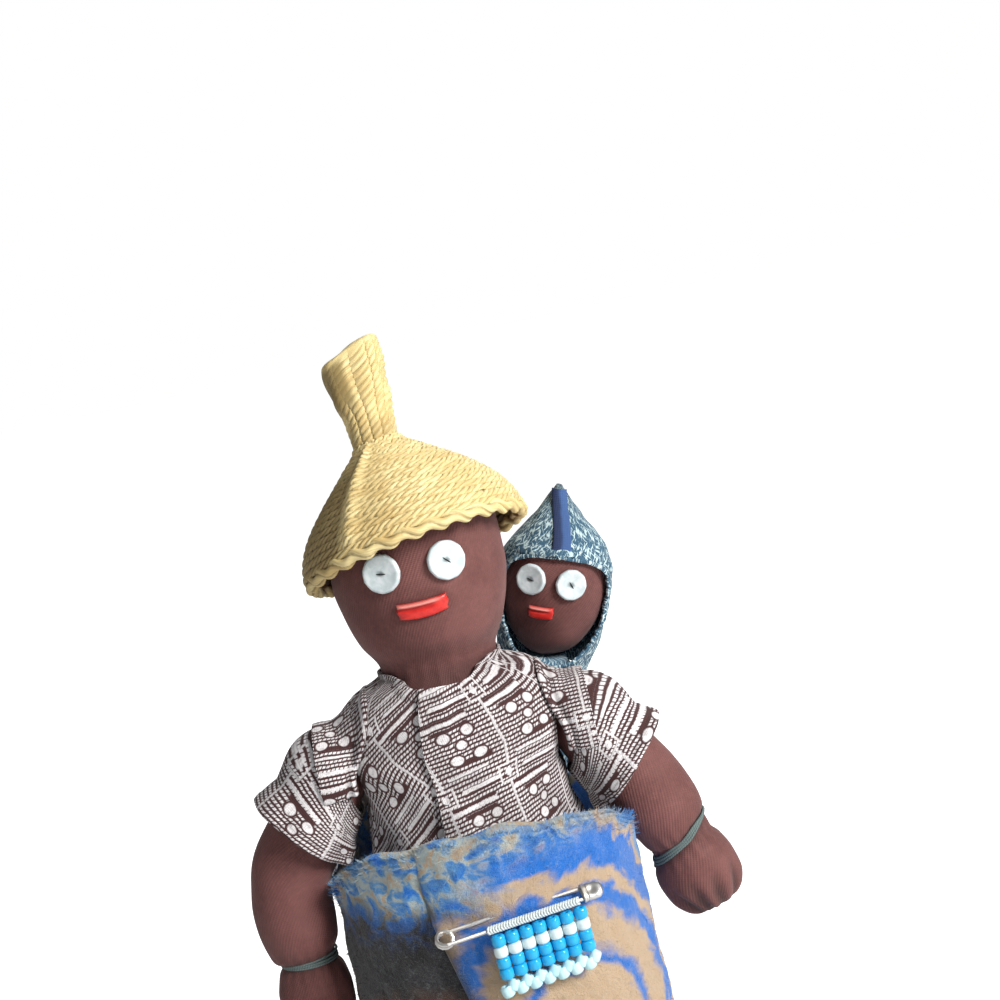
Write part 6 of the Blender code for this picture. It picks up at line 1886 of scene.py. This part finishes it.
@dataclass(frozen=True)
class Baby:
    """The baby in its own frame, with +Z up its back: body, head, face and hood."""

    head_width: float = 0.0266
    head_depth: float = 0.0236
    head_height: float = 0.0330
    head_power: float = 2.4
    chin: float = 0.0026
    tip_lean: float = 0.0020
    spring: float = -0.0030
    turn: tuple[float, float, float] = (math.radians(8), math.radians(19), 0)
    middle: tuple[float, float, float] = BABY_MIDDLE
    eye: Eye = Eye(0.0080, corners=10)
    face_shift: float = -0.0015
    mouth: Mouth = Mouth(0.0060, 0.0032, 0.0010, 0.0002)
    eye_spacing: float = 0.0097
    eye_rise: float = 0.0030
    mouth_drop: float = 0.0052
    body_length: float = 0.0560
    body_width: float = 0.0225
    body_depth: float = 0.0232
    hood_thickness: float = 0.0010
    tip_rise: float = 0.0258
    hood_drop: float = 0.0230
    brow_rise: float = 0.0095
    opening_width: float = 0.0264
    girth: Profile = Profile(
        ((0.0, 0.55), (0.10, 0.86), (0.28, 1.0), (0.60, 0.94), (0.86, 0.74), (0.97, 0.46), (1.0, 0.2))
    )
    hood: Profile = Profile(
        (
            (-0.0230, 0.0112, 0.0112),
            (-0.0180, 0.0124, 0.0120),
            (-0.0106, 0.0141, 0.0130),
            (-0.00026, 0.0148, 0.0133),
            (0.0054, 0.0144, 0.0129),
            (0.0094, 0.0131, 0.0117),
            (0.0134, 0.0105, 0.0094),
            (0.0174, 0.0069, 0.0064),
            (0.0206, 0.0044, 0.0042),
            (0.0234, 0.0024, 0.0024),
            (0.0258, 0.0009, 0.0009),
        )
    )

    @property
    def place(self) -> Matrix:
        """The baby's frame."""
        return Matrix.Translation(self.middle) @ Euler(self.turn).to_matrix().to_4x4()

    def head_surface(self, turn: Grid, height: Grid) -> Grid:
        """The skin of the head, a little longer below its middle."""
        half = np.where(np.asarray(height) < 0, self.head_height / 2 + self.chin, self.head_height / 2)
        rise = np.clip(np.abs(height) / half, 0, 1)
        power = np.where(np.asarray(height) < 0, self.head_power - 0.35, self.head_power)
        girth = np.clip(1 - rise**power, 0, None) ** (1 / power)
        return oval(turn, self.head_width / 2 * girth, self.head_depth / 2 * girth, height)

    def hood_surface(self, turn: Grid, height: Grid) -> Grid:
        """The outside of the hood, whose tip leans."""
        points = oval(turn, *self.hood.read(height), height)
        points[..., 0] -= self.tip_lean * ease((np.asarray(height) - 0.012) / 0.015)
        return points

    def build(self) -> None:
        """Make the baby's pieces."""
        self.build_body()
        self.build_head()
        self.build_face()
        self.build_hood()
        self.build_strip()

    def build_body(self) -> None:
        """The wrapped body in the blanket."""
        turn, down = shares(48, 60)
        share = 1 - down
        (girth,) = self.girth.read(share)
        height = -self.head_height / 2 - self.chin - CLEARANCE - (self.body_length - self.chin) * share
        points = oval(turn, self.body_width / 2 * girth, self.body_depth / 2 * girth, height)
        points = raised(points, 0.0002 * lumps(points, 0.008, 31) - 0.0002, True)
        ends = [np.broadcast_to(row.mean(axis=0), row.shape) for row in (points[0], points[-1])]
        points = np.concatenate([ends[:1], points, ends[1:]])
        pad = lambda grid: np.vstack([grid[:1], grid, grid[-1:]])
        cloth = (pad(turn) * 70, pad(height) / MM)
        body = lay_grid("baby_wrapped_body", moved(points, self.place), cloth, {"hollow": 0 * pad(turn)}, weld=True)
        BABY_KNIT.dress(body)
        ride(body, "baby", "baby_body")

    def build_head(self) -> None:
        """The stuffed head."""
        turn, up = shares(72, 52)
        height = -(self.head_height / 2 + self.chin * (up < 0.5)) * np.cos(up * math.pi)
        points = self.head_surface(turn, height)
        inner = slice(1, -1)
        points[inner] = raised(points, 0.0002 * lumps(points, 0.009, 33), True)[inner]
        cloth = (turn * 78, height / MM)
        head = lay_grid("baby_stuffed_head", moved(points, self.place), cloth, {"hollow": 0 * turn}, weld=True)
        apply_modifier(head, "SUBSURF", levels=1, render_levels=1)
        SKIN.dress(head)
        ride(head, "baby", "baby_head")

    def build_face(self) -> None:
        """Two discs and the mouth."""
        for side, slant in ((Side.RIGHT, 0.2), (Side.LEFT, 0.95)):
            across = self.face_shift + side.value * self.eye_spacing / 2
            seat = seat_on(self.head_surface, self.eye_rise, across, CLEARANCE)
            disc, thread = self.eye.build(f"baby_{side.word}_disc", self.place @ seat, slant)
            ride(disc, "baby", f"baby_{side.word}_eye")
            ride(thread, "baby")
        shift = 2 * self.face_shift
        strip = self.mouth.build("baby_mouth_strip", self.head_surface, -self.mouth_drop, self.place, shift)
        ride(strip, "baby", "baby_mouth")

    def build_hood(self) -> None:
        """The pointed hood: its front edge is turned back in a ribbed roll round the face."""
        across, up = shares(176, 132)
        height = -self.hood_drop + (self.tip_rise + self.hood_drop) * up
        half = self.opening_width / 2
        rise = np.clip((height - self.spring) / (self.brow_rise - self.spring), 0, 1)
        low = -(self.head_height / 2 + self.chin)
        chin = np.clip(1 - np.clip((height - 0.0004) / low, 0, 1) ** 2.2, 0, 1) ** (1 / 2.2)
        arch = half * np.minimum((1 - rise**4.2) ** (1 / 2.4), 0.06 + 0.96 * chin)
        half_width = self.hood.read(height)[0]
        closed = np.arcsin(np.clip(arch / half_width, 0, 0.985)) / TAU
        turn = closed + (1 - 2 * closed) * (0.5 - 0.5 * np.cos(across * math.pi))
        points = self.hood_surface(turn, height)
        open_here = height < self.brow_rise
        gap = np.minimum(turn - closed, 1 - closed - turn) * TAU * half_width
        roll = bump(gap, 0.0006, 0.0012) * open_here
        slope = np.clip((np.abs(points[..., 0]) / half) ** 3, 0, 1) * (self.brow_rise - self.spring) * 0.35
        brow = bump(height + slope, self.brow_rise + 0.0009, 0.0011) * (points[..., 1] < 0) * ~open_here
        ribs = 0.5 + 0.5 * np.sin(height / 0.0011 * TAU * 0.5 + points[..., 0] / 0.0009)
        rim = np.maximum(roll, brow) * (0.65 + 0.35 * ribs)
        points = raised(points, -self.hood_thickness / 2 + 0.0007 * rim + 0.00025 * lumps(points, 0.006, 35), False)
        cloth = ((turn - 0.5) * 86, height / MM)
        # Painted shade just inside the hood's rolled front edge.
        hollow = np.clip(bump(gap, 0.0026, 0.0005) * open_here * 0.5, 0, 1)
        hood = lay_grid("knit_hood", moved(points, self.place), cloth, {"hollow": hollow}, weld=True)
        apply_modifier(hood, "SOLIDIFY", thickness=self.hood_thickness * 0.9, offset=0)
        HOOD.dress(hood)
        ride(hood, "baby", "baby_hood")

    def build_strip(self) -> None:
        """The plain strip up the hood's front, raised in a soft ridge."""
        across, up = shares(18, 60)
        foot, top = self.brow_rise + 2 * CLEARANCE, self.tip_rise - 0.0012
        height = foot + (top - foot) * up
        width = 0.0048 + (0.0034 - 0.0048) * up
        half_width = self.hood.read(height)[0]
        reach = np.arcsin(np.clip(np.minimum(width / 2 / half_width, 0.98), 0, 1)) / TAU
        turn = (across * 2 - 1) * reach
        side = across * 2 - 1
        ridge = 0.00020 * np.sqrt(np.clip(1 - side**4, 0, 1)) * (1 + 0.25 * np.cos(side * 3 + 1))
        points = raised(self.hood_surface(turn, height), CLEARANCE + ridge, False)
        cloth = (side * width / 2 / MM, height / MM)
        strip = lay_grid("hood_front_strip", moved(points, self.place), cloth, {"hollow": 0 * up})
        apply_modifier(strip, "SOLIDIFY", thickness=CLEARANCE, offset=-1)
        STRIP.dress(strip)
        ride(strip, "baby", "baby_hood_strip")


# ---------------------------------------------------------------- blanket


@dataclass(frozen=True)
class Blanket:
    """The fleece, wound once round the body and the baby, with its outer end lapped in front."""

    thickness: float = 0.0024
    wrap_half_width: float = 0.0343
    wrap_half_depth: float = 0.0298
    drawn_half_depth: float = 0.0203
    hem: float = 0.0090
    top: float = 0.0955
    waist: float = 0.0840
    front_rise: float = 0.0100
    back_rise: float = 0.027
    flare: float = 0.0016
    draw_share: float = 0.45
    start_turn: float = 0.090
    length_turns: float = 1.155
    lap: float = 0.0030
    lap_start: float = 0.80
    lap_end: float = 0.97
    cut_back: float = 0.016
    recede: float = 0.075
    fibres: int = 15000
    folds: int = 11
    fold_depth: float = 0.0008
    blend: float = 0.0025
    bundle_radius: float = 0.012198
    bundle_foot: float = 0.082136
    baby_middle: tuple[float, float, float] = BABY_MIDDLE
    baby_axis: tuple[float, float, float] = (0.3224, -0.139173, 0.936317)
    pin_height: float = 0.0889
    pin_turn: float = 0.035
    pinch_height: float = 0.0016
    pinch_spread: float = 0.0075
    pinch_slimness: float = 1.4

    def bundle(self, height: Grid) -> Grid:
        """The middle of the baby's body across the blanket at each height."""
        place, axis = np.array(self.baby_middle), np.array(self.baby_axis)
        reach = (np.maximum(height, self.bundle_foot) - place[2]) / axis[2]
        middle = place[:2] + axis[:2] * reach[..., None]
        inside = np.array((0.0, self.wrap_half_depth - self.bundle_radius))
        full = ease((height - self.hem) / (self.bundle_foot - self.hem))[..., None]
        return inside + (middle - inside) * full

    def support(self, angle: Grid, height: Grid) -> Grid:
        """How far the inside reaches from the middle, in the way that it faces."""
        up_top = ease((height - self.pin_height) / (self.top - self.pin_height))
        half_depth = self.wrap_half_depth + (self.drawn_half_depth - self.wrap_half_depth) * up_top * self.draw_share
        flare = self.flare * ease((self.waist - height) / (self.waist - self.hem))
        sine, cosine = np.sin(angle), np.cos(angle)
        body = np.hypot((self.wrap_half_width + flare) * sine, (half_depth + flare) * cosine)
        middle = self.bundle(height)
        bundle = middle[..., 0] * sine - middle[..., 1] * cosine + self.bundle_radius
        further, nearer = np.maximum(body, bundle), np.minimum(body, bundle)
        return further + self.blend * np.log(1 + np.exp((nearer - further) / self.blend))

    def point(self, angle: Grid, height: Grid, distance: Grid) -> Grid:
        """A place at one distance outside the innermost surface."""
        step = 0.00005 / 0.062 * TAU
        slope = (self.support(angle + step, height) - self.support(angle - step, height)) / (2 * step)
        reach = self.support(angle, height) + distance
        x = np.sin(angle) * reach + np.cos(angle) * slope
        y = -np.cos(angle) * reach + np.sin(angle) * slope
        return np.stack([x, y, height], axis=-1)

    def spread(self, share: Grid, up: Grid) -> tuple[Grid, Grid, Grid]:
        """The angle, height and inner distance of each place on the cloth."""
        start, full = self.start_turn * TAU, self.length_turns * TAU
        angle = start - full * share
        top = self.top + self.front_rise * ease(np.cos(angle)) ** 2 + self.back_rise * ease(-np.cos(angle)) ** 2
        height = self.hem + (top - self.hem) * up
        below = np.clip((self.pin_height - height) / (self.pin_height - self.hem), 0, 1)
        gone = (full - (self.cut_back + self.recede * below) * TAU) * share
        angle = start - gone
        lap = self.lap * ease((gone / TAU - self.lap_start) / (self.lap_end - self.lap_start))
        down = (self.top - height) / (self.top - self.hem)
        fold = self.fold_depth * ease(down) * (1 + np.cos(angle * self.folds)) / 2
        across = self.wrap_half_width * (angle + TAU - self.pin_turn * TAU)
        far = np.hypot(across, (height - self.pin_height) * self.pinch_slimness) / self.pinch_spread
        pinch = self.pinch_height * np.exp(-far * far / 2) * (gone > math.pi)
        return angle, height, lap + fold + pinch

    def build(self) -> None:
        """Make the cloth as one closed form with rounded edges, then its nap."""
        share, loop = shares(420, 176)
        half = self.thickness / 2
        outer = loop < 0.5
        up = np.clip(np.where(outer, loop * 2, 2 - loop * 2), 0, 1)
        angle, height, distance = self.spread(share, up)
        width = 0.0018 + 0.0060 * ease((height - 0.0880) / 0.006) * (share > 0.5)
        ends = np.minimum(share, 1 - share) * 0.250
        taper = np.sqrt(np.clip(1 - (1 - np.clip(ends / width, 0, 1)) ** 2, 0, 1))
        edge = np.minimum(up, 1 - up) * 0.090
        rounded = np.sqrt(np.clip(1 - (1 - np.clip(edge / 0.0017, 0, 1)) ** 2, 0, 1))
        side = np.where(outer, 1, -1) * rounded * taper
        merged = ease(1 - ends / width) * ease((height - self.pin_height + 0.001) / 0.005) * (share > 0.5)
        distance = distance - 0.0015 * merged
        middle = self.point(angle, height, distance + half)
        uneven = 0.00030 * lumps(middle, 0.010, 41) + 0.00020 * lumps(middle, 0.0036, 42)
        uneven = np.where(outer, uneven + 0.00045 * bump(up, 0.972, 0.035), 0)
        height = height + 0.0009 * lumps(middle, 0.013, 43) * ease((up - 0.75) / 0.25)
        points = self.point(angle, height, distance + half + side * half + uneven * rounded * taper)
        cloth = (share * 262, height / MM)
        sheet = lay_grid("wound_blanket", points, cloth, weld=True)
        turn_outwards(sheet)
        FLEECE.dress(sheet)
        ride(sheet, "figure", "blanket")
        self.build_nap(points[:89], cloth[0][:89], cloth[1][:89])

    def build_nap(self, points: Grid, along: Grid, height: Grid) -> None:
        """Short loose fibres that stand off the outside, thickest along the top edge."""
        maker = np.random.default_rng(44)
        normals = -grid_normals(points, False)
        rows, columns = points.shape[0] - 1, points.shape[1] - 1
        pick = maker.uniform(0, 1, self.fibres)
        row = np.where(pick < 0.45, rows - np.abs(maker.normal(0, 2.0, self.fibres)), maker.uniform(2, rows, self.fibres))
        row = np.clip(row, 1, rows).astype(int)
        column = maker.integers(3, columns - 6, self.fibres)
        foot, out = points[row, column], normals[row, column]
        upward = 0.12 + 0.55 * (pick < 0.45)[:, None] * np.array((0.0, 0.0, 1.0))
        way = unit(out * 0.75 + unit(maker.normal(size=foot.shape)) * 0.8 + upward * np.array((0.0, 0.0, 1.0)))
        way = unit(way + out * np.clip(0.35 - (way * out).sum(axis=1), 0, 1)[:, None] * 1.5)
        side = unit(np.cross(way, out)) * 0.00006
        length = maker.uniform(0.0006, 0.0014, self.fibres)[:, None] * (1 + 0.7 * (pick < 0.45))[:, None]
        foot = foot - out * 0.0001
        tip = foot + way * length
        strip = np.stack([np.stack([foot - side, foot + side], 1), np.stack([tip - side * 0.4, tip + side * 0.4], 1)], 1)
        maps = [np.repeat(grid[row, column], 4).reshape(-1, 2) for grid in (along, height)]
        nap = lay_grid("blanket_nap", strip.reshape(-1, 2, 3), tuple(maps))
        keep = np.zeros(len(nap.data.polygons), bool)
        rows_of = np.empty(len(nap.data.vertices) * 3)
        nap.data.vertices.foreach_get("co", rows_of)
        loops = np.empty(len(nap.data.loops), int)
        nap.data.loops.foreach_get("vertex_index", loops)
        first = (loops.reshape(-1, 4).min(axis=1) // 2) % 2
        keep[:] = first == 0
        activate(nap)
        bpy.context.tool_settings.mesh_select_mode = (False, False, True)
        bpy.ops.object.mode_set(mode="EDIT")
        bpy.ops.mesh.select_all(action="DESELECT")
        bpy.ops.object.mode_set(mode="OBJECT")
        nap.data.polygons.foreach_set("select", ~keep)
        bpy.ops.object.mode_set(mode="EDIT")
        bpy.ops.mesh.delete(type="FACE")
        bpy.ops.object.mode_set(mode="OBJECT")
        bpy.context.tool_settings.mesh_select_mode = (True, False, False)
        FLEECE.dress(nap)
        ride(nap, "figure")


# ---------------------------------------------------------------- pin and tab


@dataclass(frozen=True)
class BeadTab:
    """Rows of upright seed beads hung from the pin by a thread, over a fringe of clear beads."""

    columns: int = 7
    bead_width: float = 0.00332
    bead_length: float = 0.00256
    pitch: float = 0.0033
    row_pitch: float = 0.0026
    first_row: float = -0.0028
    fringe_diameter: float = 0.0028
    fringe_drop: float = 0.0032
    thread: float = 0.0006
    lashing_radius: float = 0.00105
    lashing_turns: int = 34
    middle: tuple[float, float, float] = (0.010819, -0.037046, 0.087187)
    along: tuple[float, float, float] = (0.972748, 0.228673, 0.03835)

    @property
    def place(self) -> Matrix:
        """The tab's frame: +X along the wire that it hangs from, +Z up."""
        along = Vector(self.along).normalized()
        inward = Vector((0, 0, 1)).cross(along).normalized()
        axes = Matrix((along, inward, along.cross(inward))).transposed()
        return Matrix.Translation(self.middle) @ axes.to_4x4()

    def bead(
        self, name: str, middle: Vector, girth: float, length: float, tone: float, tip: float = 0.0
    ) -> bpy.types.Object:
        """One bead with its hole.

        Args:
            name: its name.
            middle: its middle in the tab's frame.
            girth: its width.
            length: its length along its hole.
            tone: its shade from 0 to 1.
            tip: how far its hole leans, in radians.

        Returns:
            The bead.
        """
        outline = (
            (0.30, -0.9), (0.72, -1.0), (0.95, -0.76), (1.0, -0.3),
            (1.0, 0.3), (0.95, 0.76), (0.72, 1.0), (0.30, 0.9),
        )
        reach, rise = (np.array(column) for column in zip(*outline))
        reach, rise = np.append(reach, reach[0])[:, None], np.append(rise, rise[0])[:, None]
        angle = np.linspace(0, TAU, 13)[None, :]
        points = np.stack(
            np.broadcast_arrays(
                girth / 2 * reach * np.sin(angle), -girth / 2 * reach * np.cos(angle), length / 2 * rise
            ),
            axis=-1,
        )
        lean = Matrix.Translation(middle) @ Matrix.Rotation(tip, 4, "Y")
        bead = lay_grid(name, moved(points, self.place @ lean), None, {"bead": tone + 0 * points[..., 0]}, weld=True)
        turn_outwards(bead)
        return bead

    def build(self) -> None:
        """Make the rows, the fringe and the lashing."""
        maker = np.random.default_rng(17)
        rows = (("first", BLUE_BEAD), ("second", WHITE_BEAD), ("third", BLUE_BEAD), ("fourth", BLUE_BEAD))
        width = self.pitch * self.columns
        for row, (word, finish) in enumerate(rows):
            beads = []
            height = self.first_row - self.row_pitch * row
            for column in range(self.columns):
                x = self.pitch * (column + 0.5) - width / 2
                jitter = maker.uniform(-1, 1, 4)
                middle = Vector((x + jitter[0] * 0.00006, jitter[1] * 0.00008, height))
                size = self.bead_width * (1 + 0.012 * jitter[2])
                tone, lean = (jitter[3] + 1) / 2, jitter[2] * 0.04
                beads.append(self.bead(f"bead_{row}_{column}", middle, size, self.bead_length, tone, lean))
            joined = join(f"beads_{word}_row", beads)
            finish.dress(joined)
            ride(joined, "bead_tab", f"{word}_bead_row")
        self.build_fringe(maker)
        self.build_lashing()

    def build_fringe(self, maker: np.random.Generator) -> None:
        """Loops of clear beads under the last row."""
        width = self.pitch * self.columns
        radius = self.fringe_diameter / 2
        top = self.first_row - self.row_pitch * 3 - self.bead_length / 2 - CLEARANCE - radius
        beads = []
        for i in range(self.columns * 2):
            drop = 0 if i % 2 else self.fringe_drop - radius
            middle = Vector((self.pitch / 2 * (i + 0.5) - width / 2, maker.uniform(-1, 1) * 0.0001, top - drop * 0.6))
            lean = 0.55 if i % 2 else -0.2
            size = self.fringe_diameter * (0.98 if i % 2 else 1.1)
            beads.append(self.bead(f"fringe_{i}", middle, size, self.fringe_diameter * 0.95, maker.uniform(0, 1), lean))
        fringe = join("clear_bead_fringe", beads)
        CLEAR_BEAD.dress(fringe)
        ride(fringe, "bead_tab", "bead_fringe")

    def build_lashing(self) -> None:
        """The thread that winds slantwise round the pin, from bead to bead."""
        length = self.pitch * self.columns * 0.95
        share = np.linspace(0, 1, self.lashing_turns * 20 + 1)
        angle = share * self.lashing_turns * TAU
        reach = self.lashing_radius - 0.00033
        path = np.stack(
            [length * (share - 0.5) - 0.0007 + 0.0006 * np.sin(angle), reach * np.sin(angle), -reach * np.cos(angle)], axis=-1
        )
        thread = tube("lashing_thread_turns", moved(path, self.place), self.thread * 0.46, 8)
        LASHING.dress(thread)
        ride(thread, "bead_tab", "tab_lashing")


@dataclass(frozen=True)
class SafetyPin:
    """The pin in worn plating: its wires keep their solids, under a cap pressed from thin sheet."""

    wires: tuple[str, ...] = ("pin_spine", "pin_needle")
    turn: float = 0.035
    rise: float = math.radians(1.5)
    roll: float = math.radians(42)
    cap_length: float = 0.0050
    cap_height: float = 0.0041
    cap_width: float = 0.0020
    cap_wall: float = 0.0002

    @property
    def place(self) -> Matrix:
        """The cap's frame: +X away from the coil, +Z from the fixed wire to the needle."""
        angle = self.turn * TAU
        outward = Vector((math.sin(angle), -math.cos(angle), 0))
        level = math.cos(self.rise)
        along = Vector((math.cos(angle) * level, math.sin(angle) * level, math.sin(self.rise)))
        apart = outward.cross(along) * math.cos(self.roll) - outward * math.sin(self.roll)
        low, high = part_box("pin_cap")
        axes = Matrix((along, apart.cross(along), apart)).transposed()
        return Matrix.Translation((Vector(low) + Vector(high)) / 2) @ axes.to_4x4()

    def build(self) -> None:
        """Dress the wires and make the cap."""
        for node in self.wires:
            NICKEL.dress(frame["nodes"][node])
            LOG.info("%s keeps its solid", node)
        self.build_cap()

    def build_cap(self) -> None:
        """The cap: a flat cup with a rolled rim, a dimple on each face and a rounded end."""
        turn, along = shares(48, 44)
        rim = 0.00016 * bump(along, 0.05, 0.035)
        narrow = np.sqrt(np.clip(1 - np.clip((along - 0.62) / 0.38, 0, 1) ** 2.6 * 0.97, 0, 1))
        dimple = 0.00030 * bump(along, 0.45, 0.20) * bump((turn * 2) % 1, 0.5, 0.16)
        crimp = 0.00012 * bump(along, 0.22, 0.03)
        angle = turn * TAU
        sine, cosine = np.sin(angle), np.cos(angle)
        rounded = (np.abs(sine) ** 3 + np.abs(cosine) ** 3) ** (-1 / 3)
        wide = (self.cap_width / 2 + rim - crimp) * (0.35 + 0.65 * narrow)
        high = (self.cap_height / 2 + rim - crimp) * narrow
        x = (along - 0.5) * self.cap_length
        points = np.stack([x, (wide * rounded - dimple) * sine, high * rounded * cosine], axis=-1)
        tip = np.broadcast_to(points[-1].mean(axis=0), points[-1:].shape)
        points = np.concatenate([points, tip])
        cap = lay_grid("pressed_pin_cap", moved(points, self.place), weld=True)
        turn_outwards(cap)
        apply_modifier(cap, "SOLIDIFY", thickness=self.cap_wall, offset=-1)
        NICKEL.dress(cap)
        ride(cap, "figure", "pin_cap")


# ---------------------------------------------------------------- studio


@dataclass(frozen=True)
class Lamp:
    """A soft square lamp."""

    name: str
    place: tuple[float, float, float]
    power: float
    size: float
    colour: Colour = (1, 1, 1)

    def build(self, target: Vector) -> None:
        """Hang the lamp and aim it."""
        bpy.ops.object.light_add(type="AREA", location=self.place)
        lamp = bpy.context.object
        lamp.name = self.name
        lamp.data.energy = self.power
        lamp.data.size = self.size
        lamp.data.color = self.colour
        lamp.rotation_euler = (target - Vector(self.place)).to_track_quat("-Z", "Y").to_euler()


@dataclass(frozen=True)
class Studio:
    """A pale floor, soft lamps and the camera."""

    target: tuple[float, float, float] = (0.0227, 0.0, 0.1769)
    distance: float = 0.450
    elevation: float = math.radians(6)
    roll: float = math.radians(12.3)
    sensor: float = 36.0
    lens: float = 67.5
    lamps: tuple[Lamp, ...] = (
        Lamp("key", (0.72, -0.62, 0.60), 14.5, 0.35, (1.0, 0.985, 0.96)),
        Lamp("fill", (-0.7, -0.8, 0.35), 0.9, 0.9, (0.93, 0.96, 1.0)),
        Lamp("back", (0.3, 0.9, 0.8), 5.0, 0.7),
    )

    def build(self) -> None:
        """Make the camera, the lamps, the floor and the light all round."""
        self.build_camera()
        for lamp in self.lamps:
            lamp.build(Vector((0, 0, 0.12)))
        self.build_floor()
        self.build_world()

    def build_camera(self) -> None:
        """The camera looks a little down, and is turned about its own line of sight."""
        view = Vector((0, math.cos(self.elevation), -math.sin(self.elevation)))
        level = Vector((1, 0, 0))
        upright = level.cross(view)
        up = math.cos(self.roll) * upright + math.sin(self.roll) * level
        right = math.cos(self.roll) * level - math.sin(self.roll) * upright
        data = bpy.data.cameras.new("photo_camera")
        data.sensor_width = self.sensor
        data.lens = self.lens
        data.clip_start = 0.01
        camera = bpy.data.objects.new("photo_camera", data)
        bpy.context.scene.collection.objects.link(camera)
        axes = Matrix((right, up, -view)).transposed().to_4x4()
        camera.matrix_world = Matrix.Translation(Vector(self.target) - view * self.distance) @ axes
        bpy.context.scene.camera = camera

    def build_floor(self) -> None:
        """A wide pale floor that looks as bright as the wall behind it."""
        bpy.ops.object.select_all(action="DESELECT")
        bpy.ops.mesh.primitive_plane_add(size=30, location=(0, 0, 0))
        floor = bpy.context.object
        floor.name = "floor"
        made = bpy.data.materials.new("pale_floor")
        made.use_nodes = True
        shader = made.node_tree.nodes["Principled BSDF"]
        shader.inputs["Base Color"].default_value = (0.85, 0.85, 0.85, 1)
        shader.inputs["Roughness"].default_value = 0.9
        shader.inputs["Emission Color"].default_value = (1, 1, 1, 1)
        tree = Tree(made.node_tree)
        seen = tree.out(tree.add("LightPath"), "Is Camera Ray")
        made.node_tree.links.new((seen * 0.90).socket, shader.inputs["Emission Strength"])
        floor.data.materials.append(made)

    def build_world(self) -> None:
        """White to the eye, and a soft fill on the doll."""
        world = bpy.data.worlds.new("soft_white")
        world.use_nodes = True
        bpy.context.scene.world = world
        tree = Tree(world.node_tree)
        background = world.node_tree.nodes["Background"]
        background.inputs["Color"].default_value = (1, 1, 1, 1)
        seen = tree.out(tree.add("LightPath"), "Is Camera Ray")
        world.node_tree.links.new(seen.ramp(0, 1, 0.20, 1.0).socket, background.inputs["Strength"])
        bpy.context.scene.view_settings.view_transform = "Standard"


def main() -> None:
    """Build the doll's pieces in order, then the studio."""
    logging.basicConfig(level=logging.INFO, format="%(message)s")
    figure = Figure()
    arms = (
        Arm(
            Side.RIGHT, 0.0440, 0.0146, 0.0180,
            ((0.28, 0.54, 1.0), (0.54, 1.0, 1.01), (0.76, 1.07, 1.0), (0.92, 1.03, 0.90)),
            print_angle=0.05,
        ),
        Arm(
            Side.LEFT, 0.0340, 0.0158, 0.0200,
            ((0.28, 0.31, 1.0), (0.54, 0.61, 1.01), (0.76, 0.84, 1.0), (0.92, 0.96, 0.90)),
            print_angle=-0.1, hand_tilt=0.34, tie_lean=0.0026,
        ),
    )
    for part in (figure, *arms, Dress(figure), Hat(), Baby(), Blanket(), SafetyPin(), BeadTab(), Studio()):
        LOG.info("building %s", type(part).__name__)
        part.build()


if __name__ == "__main__":
    main()
